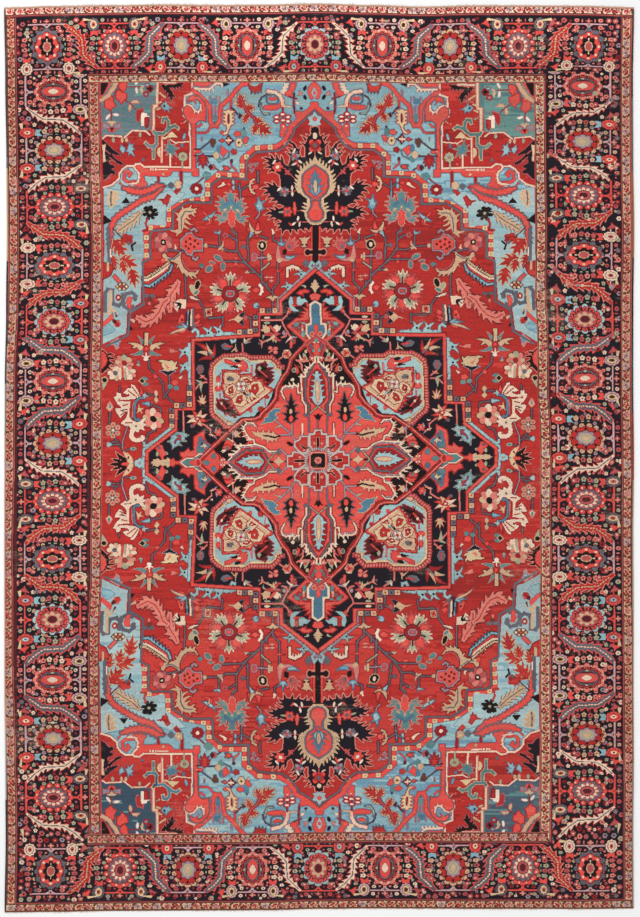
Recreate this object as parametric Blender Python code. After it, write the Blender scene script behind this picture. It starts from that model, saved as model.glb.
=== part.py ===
"""A room-size knotted Persian rug, lying flat with its pile up.

The rug is laid out as an ideal rectangle, centred on the origin, and place() then pulls every
point to the uneven outline that the loom and a long life on the floor have given it.
Lengths are in metres. +X runs across the rug, +Y towards its top end, +Z up, and the floor is z = 0.
"""

import math
import random

import bmesh
import bpy
from mathutils import Vector

# Driving dimensions: the rectangle that just holds the rug without its fringe.
RUG_WIDTH = 3.05
RUG_LENGTH = 4.40
PILE_THICKNESS = 0.010

# Overcast side cords: wool wrapped round the outermost warps along both long sides.
CORD_WIDTH = 0.0075
CORD_HEIGHT = 0.0095
CORD_SIDES = 8

# Flat-woven end bands, which hold the knots in, with the worn ends of the warps beyond them.
BAND_WIDTH = 0.009
BAND_THICKNESS = 0.004
STRANDS_PER_END = 140
STRAND_ROOT = 0.0030
STRAND_WIDTH = (0.0055, 0.0030)
STRAND_THICKNESS = (0.0026, 0.0014)
STRAND_LENGTH = (0.004, 0.010)
STRAND_SWING = 0.0045

SEAM = 0.0003
PILE_EDGE_ROUNDING = 0.0030
PILE_EDGE_SEGMENTS = 2
STEPS_ALONG = 56
STEPS_ACROSS = 40
SEED = 7

# How far each edge lies inside the ideal rectangle, in millimetres, at stations
# that are evenly spaced from the first end of that edge to the other.
EDGE_INSETS_MM = {
    "left": [2.4, 7.3, 4.8, 0.5, 0.5, 0.5, 1.5, 3.4, 9.7, 12.6, 10.6, 5.3, 0.0],
    "right": [2.9, 4.4, 1.9, 3.4, 2.9, 4.4, 1.5, 4.8, 4.4, 0.0, 4.8, 6.3, 1.0],
    "bottom": [0.0, 2.4, 6.8, 8.2, 9.2, 10.6, 16.9, 19.3, 18.4, 16.9, 16.9, 16.0, 18.9],
    "top": [18.9, 11.6, 7.7, 4.4, 6.8, 4.8, 0.0, 7.3, 14.5, 8.7, 8.7, 10.6, 17.9],
}

WOOL_RED = (0.36, 0.028, 0.030)
WOOL_DARK = (0.030, 0.018, 0.016)
BAND_PINK = (0.34, 0.16, 0.11)
HALF_WIDTH = RUG_WIDTH / 2
HALF_LENGTH = RUG_LENGTH / 2


def clear_scene():
    for obj in list(bpy.data.objects):
        bpy.data.objects.remove(obj)


def inset(edge, along):
    """How far that edge lies inside the rectangle, where along runs from -1 to 1."""
    stations = EDGE_INSETS_MM[edge]
    at = (min(max(along, -1.0), 1.0) + 1) / 2 * (len(stations) - 1)
    first = min(int(at), len(stations) - 2)
    share = (1 - math.cos(math.pi * (at - first))) / 2
    return (stations[first] * (1 - share) + stations[first + 1] * share) / 1000


def place(x, y, z):
    """A point of the ideal rectangle, pulled to the real outline."""
    across, along = x / HALF_WIDTH, y / HALF_LENGTH
    real_x = x + inset("left", along) * (1 - across) / 2 - inset("right", along) * (1 + across) / 2
    real_y = y + inset("bottom", across) * (1 - along) / 2 - inset("top", across) * (1 + along) / 2
    return Vector((real_x, real_y, z))


def spaced(start, end, steps):
    return [start + (end - start) * i / steps for i in range(steps + 1)]


def wool(name, colour, roughness):
    material = bpy.data.materials.new(name)
    material.use_nodes = True
    shader = material.node_tree.nodes["Principled BSDF"]
    shader.inputs["Base Color"].default_value = (*colour, 1)
    shader.inputs["Roughness"].default_value = roughness
    shader.inputs["Metallic"].default_value = 0.0
    return material


def add_object(name, mesh_builder, material):
    """Links a new mesh object made from a bmesh, with its faces pointing out."""
    bmesh.ops.recalc_face_normals(mesh_builder, faces=mesh_builder.faces)
    mesh = bpy.data.meshes.new(name)
    mesh_builder.to_mesh(mesh)
    mesh_builder.free()
    mesh.materials.append(material)
    obj = bpy.data.objects.new(name, mesh)
    bpy.context.scene.collection.objects.link(obj)
    return obj


def loft(builder, rings):
    """Adds a closed solid through rings of points, with a face on each end."""
    made = [[builder.verts.new(point) for point in ring] for ring in rings]
    count = len(made[0])
    for ring, following in zip(made, made[1:]):
        for i in range(count):
            j = (i + 1) % count
            builder.faces.new((ring[i], ring[j], following[j], following[i]))
    builder.faces.new(made[0])
    builder.faces.new(made[-1])


def pile_carpet(material):
    """The knotted cloth: one flat slab with the rug's outline and a softly rounded upper rim."""
    side = HALF_WIDTH - CORD_WIDTH - SEAM
    end = HALF_LENGTH - BAND_WIDTH - SEAM
    outline = [(x, -end) for x in spaced(-side, side, STEPS_ACROSS)[:-1]]
    outline += [(side, y) for y in spaced(-end, end, STEPS_ALONG)[:-1]]
    outline += [(x, end) for x in spaced(side, -side, STEPS_ACROSS)[:-1]]
    outline += [(-side, y) for y in spaced(end, -end, STEPS_ALONG)[:-1]]
    builder = bmesh.new()
    loft(builder, [[place(x, y, z) for x, y in outline] for z in (0.0, PILE_THICKNESS)])
    rim = [
        edge
        for edge in builder.edges
        if min(vert.co.z for vert in edge.verts) > PILE_THICKNESS / 2
    ]
    bmesh.ops.bevel(
        builder,
        geom=rim,
        offset=PILE_EDGE_ROUNDING,
        segments=PILE_EDGE_SEGMENTS,
        profile=0.5,
        affect="EDGES",
    )
    return add_object("pile_carpet", builder, material)


def side_cord(name, side, material):
    """One long side's overcast cord: a rounded section swept down the edge, flat where it lies."""
    middle = HALF_WIDTH - CORD_WIDTH / 2
    end = HALF_LENGTH - BAND_WIDTH - SEAM
    turn = 2 * math.pi / CORD_SIDES
    widest = math.cos(turn / 2)
    section = [
        (math.cos((i + 0.5) * turn) / widest / 2, math.sin((i + 0.5) * turn) / widest / 2)
        for i in range(CORD_SIDES)
    ]
    rings = []
    for y in spaced(-end, end, STEPS_ALONG):
        rings.append(
            [
                place(side * (middle + across * CORD_WIDTH), y, (up + 0.5) * CORD_HEIGHT)
                for across, up in section
            ]
        )
    builder = bmesh.new()
    loft(builder, rings)
    return add_object(name, builder, material)


def fringe_strands(name, end, rng):
    """The worn warp ends of one end, as a helper that the band takes in."""
    builder = bmesh.new()
    edge = "top" if end > 0 else "bottom"
    pitch = RUG_WIDTH / STRANDS_PER_END
    roots = [-HALF_WIDTH + (i + 0.5) * pitch for i in range(STRANDS_PER_END)]
    furthest_out = min(roots, key=lambda x: inset(edge, x / HALF_WIDTH))
    for root_x in roots:
        tip_x = root_x + rng.uniform(-STRAND_SWING, STRAND_SWING)
        length = rng.uniform(*STRAND_LENGTH)
        if root_x == furthest_out:
            length = STRAND_LENGTH[1]
        rings = []
        for x, y, width, thickness in (
            (root_x, HALF_LENGTH - STRAND_ROOT, STRAND_WIDTH[0], STRAND_THICKNESS[0]),
            (tip_x, HALF_LENGTH + length, STRAND_WIDTH[1], STRAND_THICKNESS[1]),
        ):
            ends = (x - width / 2, x + width / 2)
            rings.append(
                [place(ends[0], end * y, z) for z in (0.0, thickness)]
                + [place(ends[1], end * y, z) for z in (thickness, 0.0)]
            )
        loft(builder, rings)
    helper = add_object(name, builder, None)
    helper.hide_render = True
    helper.display_type = "WIRE"
    return helper


def end_band(name, end, material, rng):
    """One end's flat-woven band, with its warp strands fused to its outer edge."""
    rings = []
    for x in spaced(-HALF_WIDTH, HALF_WIDTH, STEPS_ACROSS):
        inner, outer = HALF_LENGTH - BAND_WIDTH, HALF_LENGTH
        rings.append(
            [
                place(x, end * inner, 0.0),
                place(x, end * outer, 0.0),
                place(x, end * outer, BAND_THICKNESS),
                place(x, end * inner, BAND_THICKNESS),
            ]
        )
    builder = bmesh.new()
    loft(builder, rings)
    band = add_object(name, builder, material)
    union = band.modifiers.new("strands", "BOOLEAN")
    union.operation = "UNION"
    union.solver = "EXACT"
    union.object = fringe_strands(name + "_strands", end, rng)
    return band


def main():
    clear_scene()
    rng = random.Random(SEED)
    pile = wool("knotted_wool", WOOL_RED, 0.95)
    dark_wool = wool("overcast_wool", WOOL_DARK, 0.95)
    cotton = wool("band_cotton", BAND_PINK, 0.95)
    pile_carpet(pile)
    side_cord("side_cord_left", -1, dark_wool)
    side_cord("side_cord_right", 1, dark_wool)
    end_band("end_band_top", 1, cotton, rng)
    end_band("end_band_bottom", -1, cotton, rng)


main()
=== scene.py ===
import contextlib
import math

import bpy
import numpy as np
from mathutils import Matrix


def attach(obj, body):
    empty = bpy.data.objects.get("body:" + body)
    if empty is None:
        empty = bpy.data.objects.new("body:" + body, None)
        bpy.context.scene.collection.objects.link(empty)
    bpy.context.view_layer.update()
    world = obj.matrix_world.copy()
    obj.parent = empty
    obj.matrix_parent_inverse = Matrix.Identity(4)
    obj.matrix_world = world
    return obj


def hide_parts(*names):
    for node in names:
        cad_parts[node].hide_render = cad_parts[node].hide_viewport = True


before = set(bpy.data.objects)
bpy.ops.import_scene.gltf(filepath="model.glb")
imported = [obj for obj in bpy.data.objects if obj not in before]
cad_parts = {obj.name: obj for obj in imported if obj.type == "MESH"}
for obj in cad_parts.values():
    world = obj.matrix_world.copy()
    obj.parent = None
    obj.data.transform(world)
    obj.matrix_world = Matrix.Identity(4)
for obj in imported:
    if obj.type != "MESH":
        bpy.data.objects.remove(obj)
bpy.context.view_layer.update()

# A room-size knotted rug, seen with its pile up. The pattern is drawn below, in centimetres
# from the rug's middle, and rounded to knots. The mesh then carries the knots as attributes, sixteen
# to a face, and the wool's finish reads them back. Everything else is in metres.


class Wire:
    # Wraps a socket, so that sums written on it add the Math nodes that work them out.
    def __init__(self, finish, socket):
        self.finish = finish
        self.socket = socket

    def math(self, operation, *others):
        inputs = dict(enumerate([self, *others]))
        return self.finish.node("ShaderNodeMath", {"operation": operation}, inputs)

    def __add__(self, other):
        return self.math("ADD", other)

    def __sub__(self, other):
        return self.math("SUBTRACT", other)

    def __mul__(self, other):
        return self.math("MULTIPLY", other)

    def __truediv__(self, other):
        return self.math("DIVIDE", other)

    def __mod__(self, other):
        return self.math("MODULO", other)

    def __gt__(self, other):
        return self.math("GREATER_THAN", other)

    def __rsub__(self, other):
        return self.finish.node("ShaderNodeMath", {"operation": "SUBTRACT"}, {0: other, 1: self})

    __radd__ = __add__
    __rmul__ = __mul__

    def floor(self):
        return self.math("FLOOR")

    def held(self):
        return self.math("MAXIMUM", 0).math("MINIMUM", 1)

    def other(self, name):
        return Wire(self.finish, self.socket.node.outputs[name])


class Finish:
    # One material: its constants go on the shader's own sockets, and wires feed what varies.
    def __init__(self, name, constants):
        self.material = bpy.data.materials.new(name)
        self.material.use_nodes = True
        self.tree = self.material.node_tree
        self.shader = self.tree.nodes["Principled BSDF"]
        for socket, value in constants.items():
            self.shader.inputs[socket].default_value = value

    def node(self, kind, settings=None, inputs=None, output=0):
        made = self.tree.nodes.new(kind)
        for name, value in (settings or {}).items():
            if name == "stops":
                self.fillRamp(made.color_ramp, value)
            else:
                setattr(made, name, value)
        for socket, value in (inputs or {}).items():
            if isinstance(value, Wire):
                self.tree.links.new(value.socket, made.inputs[socket])
            else:
                made.inputs[socket].default_value = value
        return Wire(self, made.outputs[output])

    def fillRamp(self, ramp, stops):
        while len(ramp.elements) < len(stops):
            ramp.elements.new(1)
        for element, (place, colour) in zip(ramp.elements, stops):
            element.position = place
            element.color = colour

    def noise(self, x, y, z, scale, detail, roughness):
        at = self.node("ShaderNodeCombineXYZ", None, {0: x, 1: y, 2: z})
        return self.node("ShaderNodeTexNoise", None,
                         {"Vector": at, "Scale": scale, "Detail": detail, "Roughness": roughness})

    def scaled(self, colour, factor):
        return self.node("ShaderNodeVectorMath", {"operation": "SCALE"}, {0: colour, 3: factor})

    def blend(self, share, colour, other):
        return self.node("ShaderNodeMix", {"data_type": "RGBA"}, {0: share, 6: colour, 7: other}, output=2)

    def feed(self, socket, wire):
        self.tree.links.new(wire.socket, self.shader.inputs[socket])


# The rug's outline is a rectangle, pulled in where the loom and long wear have pulled it.
rug = {
    "width": 3.05,
    "length": 4.40,
    "pileHeight": 0.010,
    "cordWidth": 0.0075,
    "cordHeight": 0.0095,
    "bandWidth": 0.009,
    "bandHeight": 0.004,
    "seam": 0.0003,
}

# How far each edge lies inside the rectangle, at even steps along it, in millimetres.
edgeInsetsMm = {
    "left": [2.4, 7.3, 4.8, 0.5, 0.5, 0.5, 1.5, 3.4, 9.7, 12.6, 10.6, 5.3, 0.0],
    "right": [2.9, 4.4, 1.9, 3.4, 2.9, 4.4, 1.5, 4.8, 4.4, 0.0, 4.8, 6.3, 1.0],
    "bottom": [0.0, 2.4, 6.8, 8.2, 9.2, 10.6, 16.9, 19.3, 18.4, 16.9, 16.9, 16.0, 18.9],
    "top": [18.9, 11.6, 7.7, 4.4, 6.8, 4.8, 0.0, 7.3, 14.5, 8.7, 8.7, 10.6, 17.9],
}


def inset(edge, along):
    stations = np.array(edgeInsetsMm[edge]) / 1000
    at = (np.clip(along, -1, 1) + 1) / 2 * (len(stations) - 1)
    first = np.minimum(at.astype(int), len(stations) - 2)
    share = (1 - np.cos(np.pi * (at - first))) / 2
    return stations[first] * (1 - share) + stations[first + 1] * share


def place(x, y):
    across, along = 2 * x / rug["width"], 2 * y / rug["length"]
    left, right = inset("left", along), inset("right", along)
    bottom, top = inset("bottom", across), inset("top", across)
    realX = x + left * (1 - across) / 2 - right * (1 + across) / 2
    realY = y + bottom * (1 - along) / 2 - top * (1 + along) / 2
    return realX, realY


def addObject(name, vertices, faces, material, smooth=True):
    mesh = bpy.data.meshes.new(name)
    corners = faces.shape[1]
    mesh.vertices.add(len(vertices))
    mesh.vertices.foreach_set("co", vertices.astype(np.float32).ravel())
    mesh.loops.add(faces.size)
    mesh.loops.foreach_set("vertex_index", faces.astype(np.int32).ravel())
    mesh.polygons.add(len(faces))
    mesh.polygons.foreach_set("loop_start", np.arange(0, faces.size, corners, dtype=np.int32))
    mesh.update(calc_edges=True)
    if smooth:
        mesh.shade_smooth()
    mesh.materials.append(material)
    made = bpy.data.objects.new(name, mesh)
    bpy.context.scene.collection.objects.link(made)
    return made


def addMap(mesh, name, corners):
    layer = mesh.uv_layers.new(name=name)
    layer.uv.foreach_set("vector", corners.astype(np.float32).ravel())


def gridFaces(rows, columns):
    # The corners of each face, for vertices that run along the rows.
    first = np.arange(rows - 1)[:, None] * columns + np.arange(columns - 1)[None, :]
    return np.stack([first, first + 1, first + columns + 1, first + columns], axis=-1).reshape(-1, 4)


# The dyed wools, each from 0 to 255 as in a colour picker. A wool's place also picks its dye lots.
wools = {
    "navy": (13, 17, 27),
    "black": (14, 9, 12),
    "red": (176, 43, 39),
    "crimson": (142, 30, 34),
    "coral": (216, 76, 68),
    "salmon": (214, 122, 108),
    "rose": (178, 80, 80),
    "sky": (134, 170, 178),
    "azure": (112, 152, 170),
    "mist": (150, 180, 180),
    "pale": (158, 181, 182),
    "blue": (74, 114, 134),
    "teal": (86, 124, 124),
    "sea": (102, 142, 136),
    "haze": (100, 122, 128),
    "steel": (70, 90, 104),
    "indigo": (52, 75, 90),
    "slate": (94, 93, 101),
    "lilac": (154, 132, 140),
    "cream": (226, 196, 170),
    "dove": (190, 174, 166),
    "mauve": (194, 154, 156),
    "tan": (174, 137, 110),          # a spare, which keeps the places of the wools after it
    "blush": (212, 88, 78),
    "madder": (150, 37, 35),
    "poppy": (190, 58, 51),
    "camel": (200, 163, 129),
    "straw": (212, 184, 143),
    "ivory": (236, 212, 192),
    "maroon": (80, 26, 32),
    "brown": (94, 56, 44),
    "sage": (158, 160, 132),
}

loom = {
    "block": 4,                      # knots along a side of one face of the mesh
    "knotsAcross": 1032,
    "knotsAlong": 1488,
    "across": 303.44,                # of the knotted cloth, in centimetres
    "along": 438.14,
    "mostWools": 32,                 # that a knot's number can tell apart
    "pullReach": 60,                 # square centimetres: the higher, the softer the pull of a mark
}


def linear(colour):
    # From the 0 to 255 of a colour picker to the light that the shader works in.
    shares = [part / 255 for part in colour]
    return [share / 12.92 if share <= 0.04045 else ((share + 0.055) / 1.055) ** 2.4 for share in shares]


class Loom:
    # Draws in centimetres from the rug's middle, or from wherever moved() has put the drawing.
    def __init__(self, ground):
        self.names = list(wools)
        self.chart = np.full((loom["knotsAlong"], loom["knotsAcross"]), self.names.index(ground))
        self.frame = np.array([[1.0, 0, 0], [0, 1, 0], [0, 0, 1]])
        self.knot = np.array([loom["across"] / loom["knotsAcross"], loom["along"] / loom["knotsAlong"]])
        self.marks = None

    def wandered(self, places):
        # Where the weaver's eye put what belongs at these places: each mark pulls on what is near it.
        if self.marks is None:
            return places
        apart = ((places[:, None, :] - self.marks[None, :, :2]) ** 2).sum(axis=-1)
        pull = 1 / (apart + loom["pullReach"]) ** 2
        return places + (pull[:, :, None] * self.marks[None, :, 2:]).sum(axis=1) / pull.sum(axis=1)[:, None]

    @contextlib.contextmanager
    def moved(self, x=0, y=0, turn=0, flipX=False, flipY=False, wide=1, tall=1):
        kept = self.frame
        c, s = math.cos(math.radians(turn)), math.sin(math.radians(turn))
        wide = -wide if flipX else wide
        tall = -tall if flipY else tall
        self.frame = kept @ np.array([[c * wide, -s * tall, x], [s * wide, c * tall, y], [0, 0, 1]])
        yield
        self.frame = kept

    def fill(self, points, wool):
        # Knots whose middles lie inside the outline get the wool.
        points = np.asarray(points, float)
        world = self.wandered(points @ self.frame[:2, :2].T + self.frame[:2, 2])
        rows, columns = self.chart.shape
        at = world / self.knot + (columns / 2 - 0.5, rows / 2 - 0.5)
        low = np.maximum(np.floor(at.min(axis=0)).astype(int), 0)
        high = np.minimum(np.ceil(at.max(axis=0)).astype(int) + 1, (columns, rows))
        if (high <= low).any():
            return
        marks = np.zeros((high[1] - low[1], high[0] - low[0] + 1), int)
        for (x0, y0), (x1, y1) in zip(at, np.roll(at, -1, axis=0)):
            if y0 > y1:
                x0, y0, x1, y1 = x1, y1, x0, y0
            crossed = np.arange(max(math.ceil(y0), low[1]), min(math.ceil(y1), high[1]))
            if len(crossed):
                x = np.ceil(x0 + (x1 - x0) * (crossed - y0) / (y1 - y0)).astype(int)
                np.add.at(marks, (crossed - low[1], np.clip(x, low[0], high[0]) - low[0]), 1)
        inside = np.cumsum(marks, axis=1)[:, :-1] % 2 == 1
        self.chart[low[1]:high[1], low[0]:high[0]][inside] = self.names.index(wool)

    def line(self, points, width, wool, closed=False):
        points = [np.array(point, float) for point in points]
        ends = points + points[:1] if closed else points
        for start, end in zip(ends, ends[1:]):
            length = np.hypot(*(end - start))
            if length == 0:
                continue
            along = (end - start) / length * width / 2
            side = np.array([-along[1], along[0]])
            self.fill([start - along + side, start - along - side, end + along - side, end + along + side],
                      wool)

    def shape(self, points, wool, edge=None, width=0.6):
        self.fill(points, wool)
        if edge:
            self.line(points, width, edge, closed=True)

    def box(self, x0, y0, x1, y1, wool):
        self.fill([(x0, y0), (x1, y0), (x1, y1), (x0, y1)], wool)

    def disc(self, x, y, rx, ry, wool):
        self.petals(x, y, rx, ry, wool, 1, 0)

    def petals(self, x, y, rx, ry, wool, count=8, depth=0.18, turn=0):
        # A round shape with scalloped edges.
        angles = np.linspace(0, 2 * math.pi, max(16, 8 * count), endpoint=False)
        reach = 1 - depth + depth * np.abs(np.cos(count * (angles - turn) / 2))
        self.fill(np.stack([x + rx * reach * np.cos(angles), y + ry * reach * np.sin(angles)], axis=-1),
                  wool)


def flower(pen, x, y, wool, heart, size=1.5, count=6):
    pen.petals(x, y, size, size * 0.9, wool, count, 0.2)
    pen.disc(x, y, size * 0.34, size * 0.32, heart)


def beadRing(pen, x, y, rx, ry, wool, count, size, turn=0):
    for k in range(count):
        way = 2 * math.pi * (k + turn) / count
        pen.disc(x + rx * math.cos(way), y + ry * math.sin(way), size, size, wool)


def fishtail(pen, x, y, wool, turn=0, length=3.8, spread=2.0):
    with pen.moved(x, y, turn):
        pen.fill([(0, 1.5), (length, spread), (length - 1.5, 0), (length, -spread), (0, -1.5)], wool)


def along(points, step):
    # Points at even steps along a line, with the direction at each.
    points = np.asarray(points, float)
    lengths = np.hypot(*np.diff(points, axis=0).T)
    ends = np.concatenate([[0], np.cumsum(lengths)])
    stops = np.linspace(0, ends[-1], max(2, round(ends[-1] / step)) + 1)
    places = np.stack([np.interp(stops, ends, points[:, k]) for k in (0, 1)], axis=-1)
    ways = np.gradient(places, axis=0)
    return places, ways / np.hypot(*ways.T)[:, None]


def toothed(points, tooth, pitch=2.0):
    # A closed outline with saw teeth along it.
    points = np.asarray(points, float)
    turning = np.roll(points, -1, axis=0)
    way = 1 if (points[:, 0] * turning[:, 1] - turning[:, 0] * points[:, 1]).sum() > 0 else -1
    ring = []
    for start, end in zip(points, turning):
        length = np.hypot(*(end - start))
        if length < 0.01:
            continue
        count = max(1, round(length / pitch))
        out = way * tooth * np.array([(end - start)[1], -(end - start)[0]]) / length
        for k in range(count):
            ring += [start + (end - start) * k / count, start + (end - start) * (k + 0.5) / count + out]
    return ring


def rimmed(pen, points, wool, rims=(), tooth=0, pitch=2.0):
    # A filled outline inside rims, the widest first, whose outer edge may be saw-toothed.
    for width, rim in rims:
        ring = toothed(points, tooth + width / 2, pitch) if tooth else points
        if tooth:
            pen.fill(ring, rim)
        pen.line(points, width, rim, closed=True)
    pen.fill(toothed(points, tooth * 0.7, pitch) if tooth else points, wool)


def sawLeaf(pen, spine, leaf, pitch=3.6):
    # A saw-edged leaf, whose teeth lean towards the end of its spine.
    places, ways = along(spine, pitch / 4)
    sides = np.stack([-ways[:, 1], ways[:, 0]], axis=-1)
    count = len(places)
    share = np.arange(count) / (count - 1)
    taper = np.clip(np.minimum(share, 1 - share) * 6, 0, 1)
    saw = np.array([0, 0.5, 1, 0.1])[np.arange(count) % 4] * (taper >= 0.6)
    for half, tooth, wool in ((leaf["half"] + leaf["edge"], leaf["tooth"], leaf["rim"]),
                              (leaf["half"], leaf["tooth"] * leaf["inner"], leaf["body"])):
        reach = (half * (0.7 + 0.3 * taper) + tooth * saw)[:, None]
        tips = places + ways * (0.7 * tooth * saw)[:, None]
        grow = half - leaf["half"]
        start, end = places[:1] - ways[:1] * grow, places[-1:] + ways[-1:] * grow
        pen.fill(np.concatenate([start, tips + sides * reach, end, (tips - sides * reach)[::-1]]), wool)
    if leaf["dashes"]:
        pen.line(places[3:-3], 0.7, "crimson")
        for i in range(4, count - 3, 2):
            pen.line([places[i] - ways[i] * 0.3, places[i] + ways[i] * 0.3], 0.6, leaf["vein"])
    else:
        pen.line(places[2:-2], 0.5, leaf["vein"])


def stem(pen, points, wool="slate", width=0.55):
    pen.line(points, width, wool)


def scatter(pen, box, ground, pairs, size, gap, seed):
    # Small flowers wherever enough bare ground is left for them, on a wavering grid.
    random = np.random.default_rng(seed)
    x0, y0, x1, y1 = box
    pitch = 2 * size + gap
    bare = np.pad(pen.chart == pen.names.index(ground), ((1, 0), (1, 0)))
    sums = bare.astype(int).cumsum(axis=0).cumsum(axis=1)
    reach = np.maximum(1, (size * 0.86 / pen.knot)).astype(int)
    whole = (2 * reach[0] + 1) * (2 * reach[1] + 1)
    placed = []
    for row, y in enumerate(np.arange(y0, y1, pitch * 0.5)):
        for x in np.arange(x0 + (row % 2) * pitch / 2, x1, pitch * 0.5):
            spot = np.array([x, y]) + random.uniform(-0.3, 0.3, 2)
            column, line = (spot / pen.knot + np.array(pen.chart.shape[::-1]) / 2).astype(int)
            left, right = column - reach[0], column + reach[0] + 1
            low, high = line - reach[1], line + reach[1] + 1
            if left < 0 or low < 0 or right >= bare.shape[1] or high >= bare.shape[0]:
                continue
            free = sums[high, right] - sums[low, right] - sums[high, left] + sums[low, left]
            crowded = any(abs(px - spot[0]) + abs(py - spot[1]) < pitch * 1.15
                          and math.hypot(px - spot[0], py - spot[1]) < pitch for px, py in placed[-90:])
            if free < whole or crowded:
                continue
            placed.append(spot)
            wool, heart = pairs[random.integers(len(pairs))]
            if heart:
                flower(pen, *spot, wool, heart, size * random.uniform(0.92, 1.12))
            else:
                pen.disc(*spot, size * random.uniform(0.7, 1.1), size * random.uniform(0.6, 1.0), wool)


def flickShape(x0, y0, x1, y1, width, bend=0.0, grow=0.0):
    # A curved, tapering finger from its root to its tip.
    start, end = np.array([x0, y0], float), np.array([x1, y1], float)
    way = (end - start) / np.hypot(*(end - start))
    side = np.array([-way[1], way[0]])
    steps = np.linspace(0, 1, 6)[:, None]
    spine = start + (end + way * grow - start) * steps + side * bend * np.sin(steps * math.pi) * 1.0
    half = side * (width / 2 * (1 - steps) ** 0.8 + grow * (1 - steps * 0.4))
    return np.concatenate([spine + half, (spine - half)[::-1]])


def flamed(pen, body, fingers, wool, edge, width=0.6):
    # An open outline, closed along its straight last side, with fingers on it and a thin edge round it all.
    if edge:
        pen.line(body, width * 2, edge)
        for finger in fingers:
            pen.fill(flickShape(*finger, grow=width), edge)
    pen.fill(body, wool)
    for finger in fingers:
        pen.fill(flickShape(*finger), wool)


def bothSides(points):
    # A half outline that starts and ends on the axis, with its mirror image.
    return list(points) + [(-x, y) for x, y in points[::-1] if x]


def petalled(pen, x, y, size, wools, rim, heart, count=6, turn=0, core=None, squash=1.0):
    # A flower of separate petals with a thin rim, a heart and, sometimes, darker petal cores.
    for k in range(count):
        way = 2 * math.pi * (k + turn) / count
        with pen.moved(x + size * 0.6 * math.cos(way), y + size * squash * 0.6 * math.sin(way),
                       math.degrees(way)):
            if rim:
                pen.disc(0, 0, size * 0.46 + 0.3, size * 0.34 + 0.3, rim)
    for k in range(count):
        way = 2 * math.pi * (k + turn) / count
        with pen.moved(x + size * 0.6 * math.cos(way), y + size * squash * 0.6 * math.sin(way),
                       math.degrees(way)):
            pen.disc(0, 0, size * 0.46, size * 0.34, wools[k % len(wools)])
            if core:
                pen.disc(size * 0.05, 0, size * 0.2, size * 0.12, core)
    pen.disc(x, y, size * 0.33, size * 0.33 * squash, heart)


def flicks(pen, wool, *fingers, edge=None, width=0.35):
    if edge:
        for finger in fingers:
            pen.fill(flickShape(*finger, grow=width), edge)
    for finger in fingers:
        pen.fill(flickShape(*finger), wool)


# The main border is a winding stem of saw-edged leaves with a rosette in each bend.
border = {
    "side": 129.2,                   # from the middle to the middle of a side border
    "end": 200.2,
    "sideHalf": 16.85,
    "endHalf": 13.65,
    "sidePitch": 28.58,
    "endPitch": 32.9,
    "firstUnit": 178.5,
}

# The rosettes' rings from the outermost in: reach across and along, wool, lobes, their depth,
# and the wool of a thin rim. A ring without depth is one of separate round petals.
rosettes = {"oval": [(8.0, 5.6, "salmon", 12, 0, "crimson"), (7.5, 5.1, "red", 12, 0.16, "maroon"),
                     (6.3, 4.1, "slate", 12, 0.16, "black"), (5.4, 3.3, "maroon", 12, 0.1, None),
                     (5.2, 2.6, "coral", 2, 0.3, "rose"), (2.5, 1.3, "cream", 4, 0.1, "rose")],
            "cream": [(8.2, 5.6, "camel", 14, 0, "maroon"), (7.8, 5.2, "red", 12, 0.1, "maroon"),
                      (5.0, 3.4, "lilac", 8, 0.2, "maroon"), (3.0, 1.8, "sage", 8, 0.05, "camel"),
                      (2.0, 1.1, "camel", 4, 0.05, None)], "coral": [(8.2, 5.7, "coral", 14, 0, "crimson"),
                                                                     (7.5, 5.2, "slate", 12, 0.14,
                                                                      "maroon"), (6.0, 4.2, "rose", 10,
                                                                                  0.16, None),
                                                                     (5.6, 4.0, "cream", 12, 0.42, None),
                                                                     (3.3, 2.2, "rose", 8, 0.05, "maroon"),
                                                                     (2.2, 1.3, "maroon", 6, 0.05, None)],
            "slate": [(8.3, 5.6, "slate", 12, 0, "black"), (7.8, 5.2, "coral", 8, 0.14, "maroon"),
                      (5.6, 3.1, "black", 8, 0.26, "maroon"), (2.9, 1.8, "camel", 8, 0.1, None),
                      (2.4, 1.4, "rose", 6, 0.1, None)], "pale": [(8.2, 5.5, "pale", 12, 0, "maroon"),
                                                                  (6.7, 4.5, "coral", 12, 0, "maroon"),
                                                                  (6.0, 4.0, "rose", 12, 0.1, "maroon"),
                                                                  (4.9, 3.4, "camel", 8, 0.36, None),
                                                                  (2.3, 1.5, "maroon", 6, 0.05, "rose")],}

# Each kind of unit: ladder, discs round the rosette, side rosette's rim, field and heart, fishtail,
# and the two wools of the small flowers.
units = {
    "oval": ("mauve", "salmon", "mauve", "straw", "brown", "coral", "salmon", "cream"),
    "cream": ("mauve", "lilac", "coral", "coral", "cream", "sky", "rose", "camel"),
    "coral": ("coral", "sage", "slate", "straw", "rose", "coral", "rose", "sage"),
    "slate": ("mauve", "camel", "cream", "cream", "rose", "coral", "salmon", "rose"),
    "pale": ("coral", "camel", "coral", "rose", "pale", "sky", "rose", "sage"),
}

leaves = {"cream": {"rim": "red", "body": "cream", "vein": "slate", "half": 0.75, "edge": 0.3,
                    "tooth": 1.7, "inner": 0.72, "dashes": False},
          "red": {"rim": "salmon", "body": "red", "vein": "camel", "half": 0.95, "edge": 0.45,
                  "tooth": 1.5, "inner": 0.7, "dashes": True},
          "slate": {"rim": "coral", "body": "slate", "vein": "cream", "half": 1.25, "edge": 0.45,
                    "tooth": 1.5, "inner": 0.62, "dashes": True},}

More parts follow.
